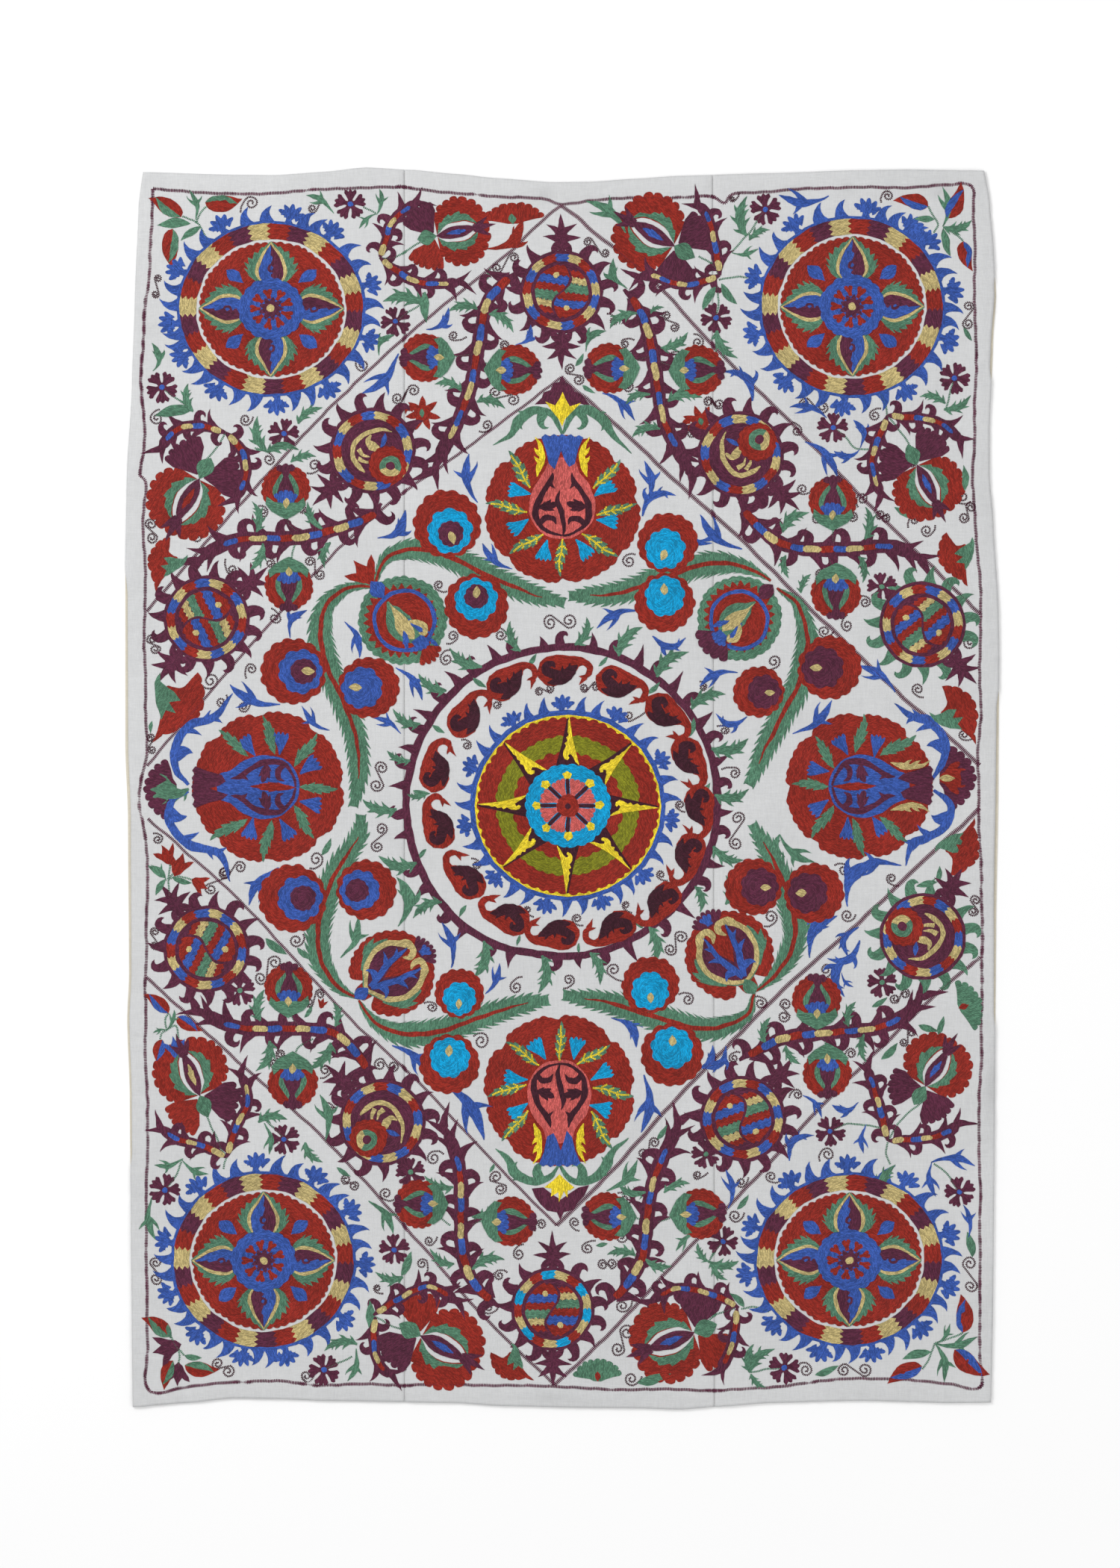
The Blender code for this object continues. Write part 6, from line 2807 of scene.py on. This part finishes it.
@dataclass(frozen=True)
class SilkFinish:
    """The look of one stitched thread."""

    colour: tuple[float, float, float]
    row: float = 0.0016
    dash: float = 0.0044
    spread: float = 0.34
    roughness: float = 0.62
    sheen: float = 0.04

    def material(self, name: str) -> bpy.types.Material:
        """Make the material: rows of slanting stitches that follow the grain, with painted shade in the gaps
        between them and painted highlights on their crowns.

        Args:
            name: the material's name.

        Returns:
            The material.
        """
        material = bpy.data.materials.new(name)
        material.use_nodes = True
        nodes = Nodes(material)
        shader = material.node_tree.nodes["Principled BSDF"]
        place = nodes.add("ShaderNodeTexCoord").outputs["Object"]
        x, y, _ = nodes.split(place)
        grain = nodes.add("ShaderNodeAttribute", attribute_name="grain")
        run_x, run_y, run_kind = nodes.split(grain.outputs["Vector"])
        wave_x = nodes.math("MULTIPLY_ADD", nodes.noise(place, 60.0), 0.004, x)
        wave_y = nodes.math("MULTIPLY_ADD", nodes.noise(place, 47.0), 0.004, y)
        cos = nodes.math("COSINE", run_x)
        sin = nodes.math("SINE", run_x)
        straight_u = nodes.plus(nodes.times(wave_x, cos), nodes.times(wave_y, sin))
        straight_v = nodes.minus(nodes.times(wave_y, cos), nodes.times(wave_x, sin))
        off_x = nodes.minus(wave_x, run_x)
        off_y = nodes.minus(wave_y, run_y)
        squares = nodes.plus(nodes.times(off_x, off_x), nodes.times(off_y, off_y))
        radius = nodes.math("SQRT", squares)
        ring = nodes.times(nodes.math("FLOOR", nodes.math("DIVIDE", radius, self.row)), self.row)
        round_u = nodes.times(nodes.math("ARCTAN2", off_y, off_x), ring)
        is_round = nodes.math("GREATER_THAN", run_kind, 0.5)
        along = nodes.add("ShaderNodeMix")
        nodes.join(is_round, along.inputs[0])
        nodes.join(straight_u, along.inputs[2])
        nodes.join(round_u, along.inputs[3])
        across = nodes.add("ShaderNodeMix")
        nodes.join(is_round, across.inputs[0])
        nodes.join(straight_v, across.inputs[2])
        nodes.join(radius, across.inputs[3])
        rows = nodes.math("DIVIDE", across.outputs[0], self.row)
        row = nodes.math("FLOOR", rows)
        in_row = nodes.minus(rows, row)
        offset = nodes.add("ShaderNodeTexWhiteNoise", noise_dimensions="1D")
        nodes.join(row, offset.inputs["W"])
        slant = nodes.times(in_row, 0.45)
        shifted = nodes.plus(nodes.math("DIVIDE", along.outputs[0], self.dash), offset.outputs["Value"])
        dashes = nodes.plus(shifted, slant)
        dash = nodes.math("FLOOR", dashes)
        in_dash = nodes.minus(dashes, dash)
        cell = nodes.add("ShaderNodeCombineXYZ")
        nodes.join(row, cell.inputs[0])
        nodes.join(dash, cell.inputs[1])
        chance = nodes.add("ShaderNodeTexWhiteNoise", noise_dimensions="2D")
        nodes.join(cell.outputs[0], chance.inputs["Vector"])
        from_middle = nodes.math("ABSOLUTE", nodes.minus(in_row, 0.5))
        round_row = nodes.minus(1.0, nodes.times(nodes.math("POWER", from_middle, 2.0), 4.0))
        from_end = nodes.math("ABSOLUTE", nodes.minus(in_dash, 0.5))
        round_dash = nodes.between(from_end, 0.36, 0.5, 1.0, 0.35)
        height = nodes.times(round_row, round_dash)
        fibre = nodes.noise(place, 2600.0, 1.0)
        dye = nodes.noise(place, 17.0, 3.0, 0.6)
        bright = nodes.between(chance.outputs["Value"], 0.0, 1.0, 1.0 - self.spread, 1.0 + self.spread)
        # Painted shade in the gaps between stitches and painted highlight on their crowns: the colour follows
        # the stitch height, from 0.52 in the gaps to 1.12 on the crowns.
        bright = nodes.times(bright, nodes.between(height, 0.0, 1.0, 0.52, 1.12))
        bright = nodes.times(bright, nodes.between(dye, 0.3, 0.7, 0.86, 1.14))
        bright = nodes.times(bright, nodes.between(fibre, 0.3, 0.7, 0.93, 1.07))
        tint = nodes.add("ShaderNodeVectorMath", operation="SCALE")
        tint.inputs[0].default_value = self.colour
        nodes.join(bright, tint.inputs["Scale"])
        nodes.join(tint.outputs[0], shader.inputs["Base Color"])
        bump = nodes.add("ShaderNodeBump")
        bump.inputs["Strength"].default_value = 0.75
        bump.inputs["Distance"].default_value = 0.0006
        nodes.join(height, bump.inputs["Height"])
        nodes.join(bump.outputs[0], shader.inputs["Normal"])
        shader.inputs["Roughness"].default_value = self.roughness
        shader.inputs["Sheen Weight"].default_value = self.sheen
        shader.inputs["Sheen Roughness"].default_value = 0.5
        shader.inputs["Specular IOR Level"].default_value = 0.16
        return material


SILKS: dict[Thread, SilkFinish] = {
    RED: SilkFinish((0.290, 0.022, 0.013)),
    PLUM: SilkFinish((0.105, 0.020, 0.048)),
    DARK: SilkFinish((0.050, 0.010, 0.020)),
    BLUE: SilkFinish((0.040, 0.100, 0.400)),
    TURQUOISE: SilkFinish((0.002, 0.330, 0.640)),
    GREEN: SilkFinish((0.092, 0.220, 0.140)),
    KHAKI: SilkFinish((0.550, 0.440, 0.190)),
    YELLOW: SilkFinish((0.860, 0.660, 0.030)),
    SALMON: SilkFinish((0.620, 0.115, 0.105)),
    OLIVE: SilkFinish((0.215, 0.220, 0.012)),
}


@dataclass(frozen=True)
class Stain:
    """A faint stain on the ground: its middle and its half sizes in metres, and its strength."""

    x: float
    y: float
    wide: float
    tall: float
    strength: float


@dataclass(frozen=True)
class ClothFinish:
    """The look of a plain woven cloth."""

    colour: tuple[float, float, float]
    thread: float = 0.0011
    wrinkle: float = 0.0012
    roughness: float = 0.9
    stains: tuple[Stain, ...] = ()

    def material(self, name: str) -> bpy.types.Material:
        """Make the material: a fine plain weave with slubs, small wrinkles and stains.

        Args:
            name: the material's name.

        Returns:
            The material.
        """
        material = bpy.data.materials.new(name)
        material.use_nodes = True
        nodes = Nodes(material)
        shader = material.node_tree.nodes["Principled BSDF"]
        place = nodes.add("ShaderNodeTexCoord").outputs["Object"]
        x, y, _ = nodes.split(place)
        stretch = nodes.add("ShaderNodeVectorMath", operation="MULTIPLY")
        nodes.join(place, stretch.inputs[0])
        stretch.inputs[1].default_value = (1.0, 0.06, 1.0)
        slub = nodes.noise(stretch.outputs[0], 900.0, 2.0, 0.6)
        widen = nodes.add("ShaderNodeVectorMath", operation="MULTIPLY")
        nodes.join(place, widen.inputs[0])
        widen.inputs[1].default_value = (0.06, 1.0, 1.0)
        weft_slub = nodes.noise(widen.outputs[0], 900.0, 2.0, 0.6)
        turn = 2.0 * math.pi / self.thread
        warp = nodes.math("SINE", nodes.times(x, turn))
        weft = nodes.math("SINE", nodes.times(y, turn))
        weave = nodes.times(nodes.times(warp, weft), 0.5)
        slubs = nodes.plus(slub, weft_slub)
        patchy = nodes.noise(place, 5.5, 4.0, 0.62)
        bright = nodes.between(weave, -0.5, 0.5, 0.955, 1.045)
        bright = nodes.times(bright, nodes.between(slubs, 0.7, 1.3, 0.93, 1.07))
        bright = nodes.times(bright, nodes.between(patchy, 0.3, 0.7, 0.965, 1.035))
        for stain in self.stains:
            off_x = nodes.math("DIVIDE", nodes.minus(x, stain.x), stain.wide)
            off_y = nodes.math("DIVIDE", nodes.minus(y, stain.y), stain.tall)
            squares = nodes.plus(nodes.times(off_x, off_x), nodes.times(off_y, off_y))
            blot = nodes.times(nodes.math("EXPONENT", nodes.times(squares, -1.0)), stain.strength)
            bright = nodes.times(bright, nodes.minus(1.0, blot))
        tint = nodes.add("ShaderNodeVectorMath", operation="SCALE")
        tint.inputs[0].default_value = self.colour
        nodes.join(bright, tint.inputs["Scale"])
        nodes.join(tint.outputs[0], shader.inputs["Base Color"])
        fine = nodes.add("ShaderNodeBump")
        fine.inputs["Strength"].default_value = 0.5
        fine.inputs["Distance"].default_value = 0.0003
        nodes.join(nodes.plus(weave, slubs), fine.inputs["Height"])
        wide = nodes.add("ShaderNodeBump")
        wide.inputs["Strength"].default_value = 1.0
        wide.inputs["Distance"].default_value = self.wrinkle
        nodes.join(nodes.noise(place, 38.0, 3.0, 0.55), wide.inputs["Height"])
        nodes.join(fine.outputs[0], wide.inputs["Normal"])
        nodes.join(wide.outputs[0], shader.inputs["Normal"])
        shader.inputs["Roughness"].default_value = self.roughness
        shader.inputs["Specular IOR Level"].default_value = 0.2
        return material


GROUND_FINISH = ClothFinish(
    (0.60, 0.605, 0.61),
    stains=(
        Stain(0.690, -0.480, 0.012, 0.055, 0.10),
        Stain(-0.022, -0.978, 0.040, 0.012, 0.10),
        Stain(-0.029, 0.955, 0.014, 0.012, 0.10),
        Stain(0.366, 0.960, 0.016, 0.010, 0.08),
        Stain(0.458, 0.962, 0.012, 0.010, 0.08),
        Stain(0.610, 0.960, 0.016, 0.012, 0.08),
    ),
)
LINING_FINISH = ClothFinish((0.66, 0.61, 0.50))


# The middle column's ends, in metres, by which the rows of a strip's mesh are spread
LOWEST_ROW = -0.99
HIGHEST_ROW = 0.98


def spread_lines(
    low: float, high: float, low_fine: float, high_fine: float, fine: float, coarse: float
) -> Points:
    """Places of mesh lines, close together near the ends and further apart between.

    Args:
        low: the first line.
        high: the last line.
        low_fine: how far in from the first line they stay close.
        high_fine: how far in from the last line they stay close.
        fine: the close spacing.
        coarse: the wide spacing.

    Returns:
        The places, as shares of the way from low to high.
    """
    stops = [low, low + low_fine, high - high_fine, high]
    steps = [fine, coarse, fine]
    lines = [np.array([low])]
    for start, end, step in zip(stops, stops[1:], steps):
        if end - start > 1e-6:
            lines.append(np.linspace(start, end, max(1, round((end - start) / step)) + 1)[1:])
    return (np.concatenate(lines) - low) / (high - low)


@dataclass
class GroundPiece:
    """One strip of the ground cloth, between two lines that run up it."""

    name: str
    ground: Ground
    left: Callable[[Points], Points]
    right: Callable[[Points], Points]
    left_is_hem: bool
    right_is_hem: bool
    half_gap: float = 0.00015
    fine: float = 0.0045
    wide: float = 0.012
    coarse: float = 0.016
    fine_at_seam: float = 0.004
    fine_at_hem: float = 0.054
    thickness: float = 0.0014
    rim_drop: float = 0.0003
    pucker_height: float = 0.00022
    pucker_reach: float = 0.02
    bare_margin: float = 0.012
    seam_depth: float = 0.0005
    seam_half_width: float = 0.0022

    def make(self) -> bpy.types.Object:
        """Make the strip as a thin closed sheet.

        Returns:
            The object.
        """
        width = float(self.right(np.zeros(1))[0] - self.left(np.zeros(1))[0])
        left_fine = self.fine_at_hem if self.left_is_hem else self.fine_at_seam
        right_fine = self.fine_at_hem if self.right_is_hem else self.fine_at_seam
        columns = spread_lines(0.0, width, left_fine, right_fine, self.fine, self.wide)
        fine_rows = self.fine if self.left_is_hem or self.right_is_hem else self.coarse
        rows = spread_lines(LOWEST_ROW, HIGHEST_ROW, self.fine_at_hem, self.fine_at_hem, self.fine, fine_rows)
        shape = bmesh.new()
        bmesh.ops.create_grid(shape, x_segments=len(columns) - 1, y_segments=len(rows) - 1, size=0.5)
        shape.verts.ensure_lookup_table()
        grid = np.array([vert.co[:2] for vert in shape.verts])
        across = columns[np.rint((grid[:, 0] + 0.5) * (len(columns) - 1)).astype(int)]
        up = rows[np.rint((grid[:, 1] + 0.5) * (len(rows) - 1)).astype(int)]
        places = self.places(across, up)
        for vert, place in zip(shape.verts, places):
            vert.co = place
        rim = [vert for vert in shape.verts if vert.is_boundary]
        top = list(shape.faces)
        lower = bmesh.ops.extrude_face_region(shape, geom=top, use_keep_orig=True)
        moved = [item for item in lower["geom"] if isinstance(item, bmesh.types.BMVert)]
        bmesh.ops.translate(shape, verts=moved, vec=(0.0, 0.0, -self.thickness))
        for vert in rim:
            vert.co.z -= self.rim_drop
        bmesh.ops.recalc_face_normals(shape, faces=shape.faces)
        piece = link_to_scene(shape, self.name)
        piece.data.shade_smooth()
        return piece

    def places(self, across: Points, up: Points) -> Points:
        """Where the points of the upper face lie.

        Args:
            across: shares of the way from the left line to the right line.
            up: shares of the way from the bottom hem to the top hem.

        Returns:
            Their places in metres.
        """
        middle = np.zeros(1)
        low, high = follow(BOTTOM_EDGE, middle), follow(TOP_EDGE, middle)
        rough_y = low + up * (high - low)
        start = self.left(rough_y) + (0.0 if self.left_is_hem else self.half_gap)
        end = self.right(rough_y) - (0.0 if self.right_is_hem else self.half_gap)
        x = start + across * (end - start)
        bottom = follow(BOTTOM_EDGE, x)
        y = bottom + up * (follow(TOP_EDGE, x) - bottom)
        far = np.full_like(x, 1.0)
        to_hem = np.minimum.reduce(
            [
                x - start if self.left_is_hem else far,
                end - x if self.right_is_hem else far,
                y - bottom,
                follow(TOP_EDGE, x) - y,
            ]
        )
        hem = self.ground.hem_thickening * (1.0 - smooth_step(to_hem / self.ground.hem_width))
        return np.stack([x, y, GROUND_TOP + hem + self.ground.lift(x, y) + self.pucker(x, y, to_hem)], axis=1)

    def pucker(self, x: Points, y: Points, to_hem: Points) -> Points:
        """Small puckers of the bare margin, and a dip at each seam.

        Args:
            x: metres to the right of the middle.
            y: metres up from the middle.
            to_hem: metres in from the nearest hem.

        Returns:
            Their heights in metres.
        """
        fade = 1.0 - smooth_step((to_hem - self.bare_margin) / self.pucker_reach)
        small = self.pucker_height * (
            np.sin(x * 310.0 + 2.0 * np.sin(y * 41.0)) + np.sin(y * 270.0 + 2.0 * np.sin(x * 37.0))
        )
        to_seam = np.minimum(np.abs(x - self.ground.seam_left(y)), np.abs(x - self.ground.seam_right(y)))
        return small * fade - self.seam_depth * np.exp(-((to_seam / self.seam_half_width) ** 2))


@dataclass
class LiningPiece:
    """The lining under the three strips."""

    name: str
    ground: Ground
    tuck: float = 0.005
    thickness: float = 0.0010

    def make(self) -> bpy.types.Object:
        """Make the lining as a flat closed sheet.

        Returns:
            The object.
        """
        columns, rows = 40, 200
        shape = bmesh.new()
        bmesh.ops.create_grid(shape, x_segments=columns, y_segments=rows, size=0.5)
        grid = np.array([vert.co[:2] for vert in shape.verts]) + 0.5
        low = float(follow(BOTTOM_EDGE, np.zeros(1))[0]) + self.tuck
        high = float(follow(TOP_EDGE, np.zeros(1))[0]) - self.tuck
        rough_y = low + grid[:, 1] * (high - low)
        left = follow(LEFT_EDGE, rough_y) - np.minimum(follow(LEFT_LINING, rough_y), 0.0)
        right = follow(RIGHT_EDGE, rough_y) + np.minimum(follow(RIGHT_LINING, rough_y), 0.0)
        x = left + grid[:, 0] * (right - left)
        bottom = follow(BOTTOM_EDGE, x) + self.tuck
        y = bottom + grid[:, 1] * (follow(TOP_EDGE, x) - self.tuck - bottom)
        for vert, place_x, place_y in zip(shape.verts, x, y):
            vert.co = (place_x, place_y, self.thickness)
        lower = bmesh.ops.extrude_face_region(shape, geom=list(shape.faces), use_keep_orig=True)
        moved = [item for item in lower["geom"] if isinstance(item, bmesh.types.BMVert)]
        bmesh.ops.translate(shape, verts=moved, vec=(0.0, 0.0, -self.thickness))
        bmesh.ops.recalc_face_normals(shape, faces=shape.faces)
        return link_to_scene(shape, self.name)


# The lens and the sensor in millimetres, the height that fills the picture, and where the camera stands
LENS = 85.0
SENSOR = 36.0
VIEW_HEIGHT = 2.52
CAMERA_ACROSS = -0.0036
CAMERA_UP = 0.0072

# The floor's half size and how far it lies under the cloth, so that the two don't share a plane
FLOOR_SIZE = 9.0
FLOOR_DROP = 0.0002

# The lights: name, place, power and size
LIGHTS = (("key", (-3.2, 2.6, 3.6), 135.0, 2.2), ("fill", (3.4, -1.6, 4.2), 50.0, 3.0))


def studio() -> None:
    """Set up the floor, the lights and the camera."""
    bpy.context.scene.view_settings.view_transform = "Standard"
    shape = bmesh.new()
    bmesh.ops.create_grid(shape, x_segments=1, y_segments=1, size=FLOOR_SIZE)
    floor = link_to_scene(shape, "floor")
    floor.location = (0.0, 0.0, -FLOOR_DROP)
    paper = bpy.data.materials.new("floor")
    paper.use_nodes = True
    shader = paper.node_tree.nodes["Principled BSDF"]
    shader.inputs["Base Color"].default_value = (0.95, 0.95, 0.95, 1.0)
    shader.inputs["Roughness"].default_value = 0.95
    floor.data.materials.append(paper)

    world = bpy.data.worlds.new("studio")
    world.use_nodes = True
    world.node_tree.nodes["Background"].inputs["Color"].default_value = (1.0, 1.0, 1.0, 1.0)
    world.node_tree.nodes["Background"].inputs["Strength"].default_value = 0.70
    bpy.context.scene.world = world
    for name, place, power, size in LIGHTS:
        light = bpy.data.lights.new(name, "AREA")
        light.energy = power
        light.size = size
        lamp = bpy.data.objects.new(name, light)
        lamp.location = place
        lamp.rotation_euler = (-Vector(place)).to_track_quat("-Z", "Y").to_euler()
        bpy.context.scene.collection.objects.link(lamp)

    lens = bpy.data.cameras.new("camera")
    lens.lens = LENS
    lens.sensor_fit = "AUTO"
    lens.sensor_width = SENSOR
    camera = bpy.data.objects.new("camera", lens)
    camera.location = (CAMERA_ACROSS, CAMERA_UP, VIEW_HEIGHT * LENS / SENSOR)
    bpy.context.scene.collection.objects.link(camera)
    bpy.context.scene.camera = camera


def make_cloth(ground: Ground) -> None:
    """Args:
        ground: the lie of the cloth.
    """
    woven = GROUND_FINISH.material("ground_cloth")
    backing = LINING_FINISH.material("lining_cloth")
    strips = (
        ("cloth_left", "panel_left", ground.left, ground.seam_left, True, False, (0.447, 1.990)),
        ("cloth_middle", "panel_middle", ground.seam_left, ground.seam_right, False, False, (0.498, 1.991)),
        ("cloth_right", "panel_right", ground.seam_right, ground.right, False, True, (0.460, 1.988)),
    )
    for name, node, left, right, left_is_hem, right_is_hem, flat in strips:
        piece = GroundPiece(name, ground, left, right, left_is_hem, right_is_hem).make()
        piece.data.materials.append(woven)
        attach(piece, "root")
        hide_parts(node)
        LOG.info("%s: %d triangles", piece.name, triangle_count(piece))
    piece = LiningPiece("cloth_lining", ground).make()
    piece.data.materials.append(backing)
    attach(piece, "root")
    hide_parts("lining")
    LOG.info("%s: %d triangles", piece.name, triangle_count(piece))


def make_embroidery(ground: Ground) -> None:
    """Make one piece of each thread's stitching.

    Args:
        ground: the lie of the cloth.
    """
    work = sew_everything()
    for thread in Thread:
        patches, chains = work.patches[thread], work.chains[thread]
        if not patches and not chains:
            continue
        piece = ThreadPiece(f"{thread.name.lower()}_stitching", ground, patches, chains).make()
        piece.data.materials.append(SILKS[thread].material(thread.value))
        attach(piece, "root")
        LOG.info("%s: %d areas, %d triangles", piece.name, len(patches), triangle_count(piece))


def main() -> None:
    """Make the cloth, its stitching and the studio."""
    logging.basicConfig(level=logging.INFO)
    ground = Ground()
    make_cloth(ground)
    make_embroidery(ground)
    studio()


if __name__ == "__main__":
    main()
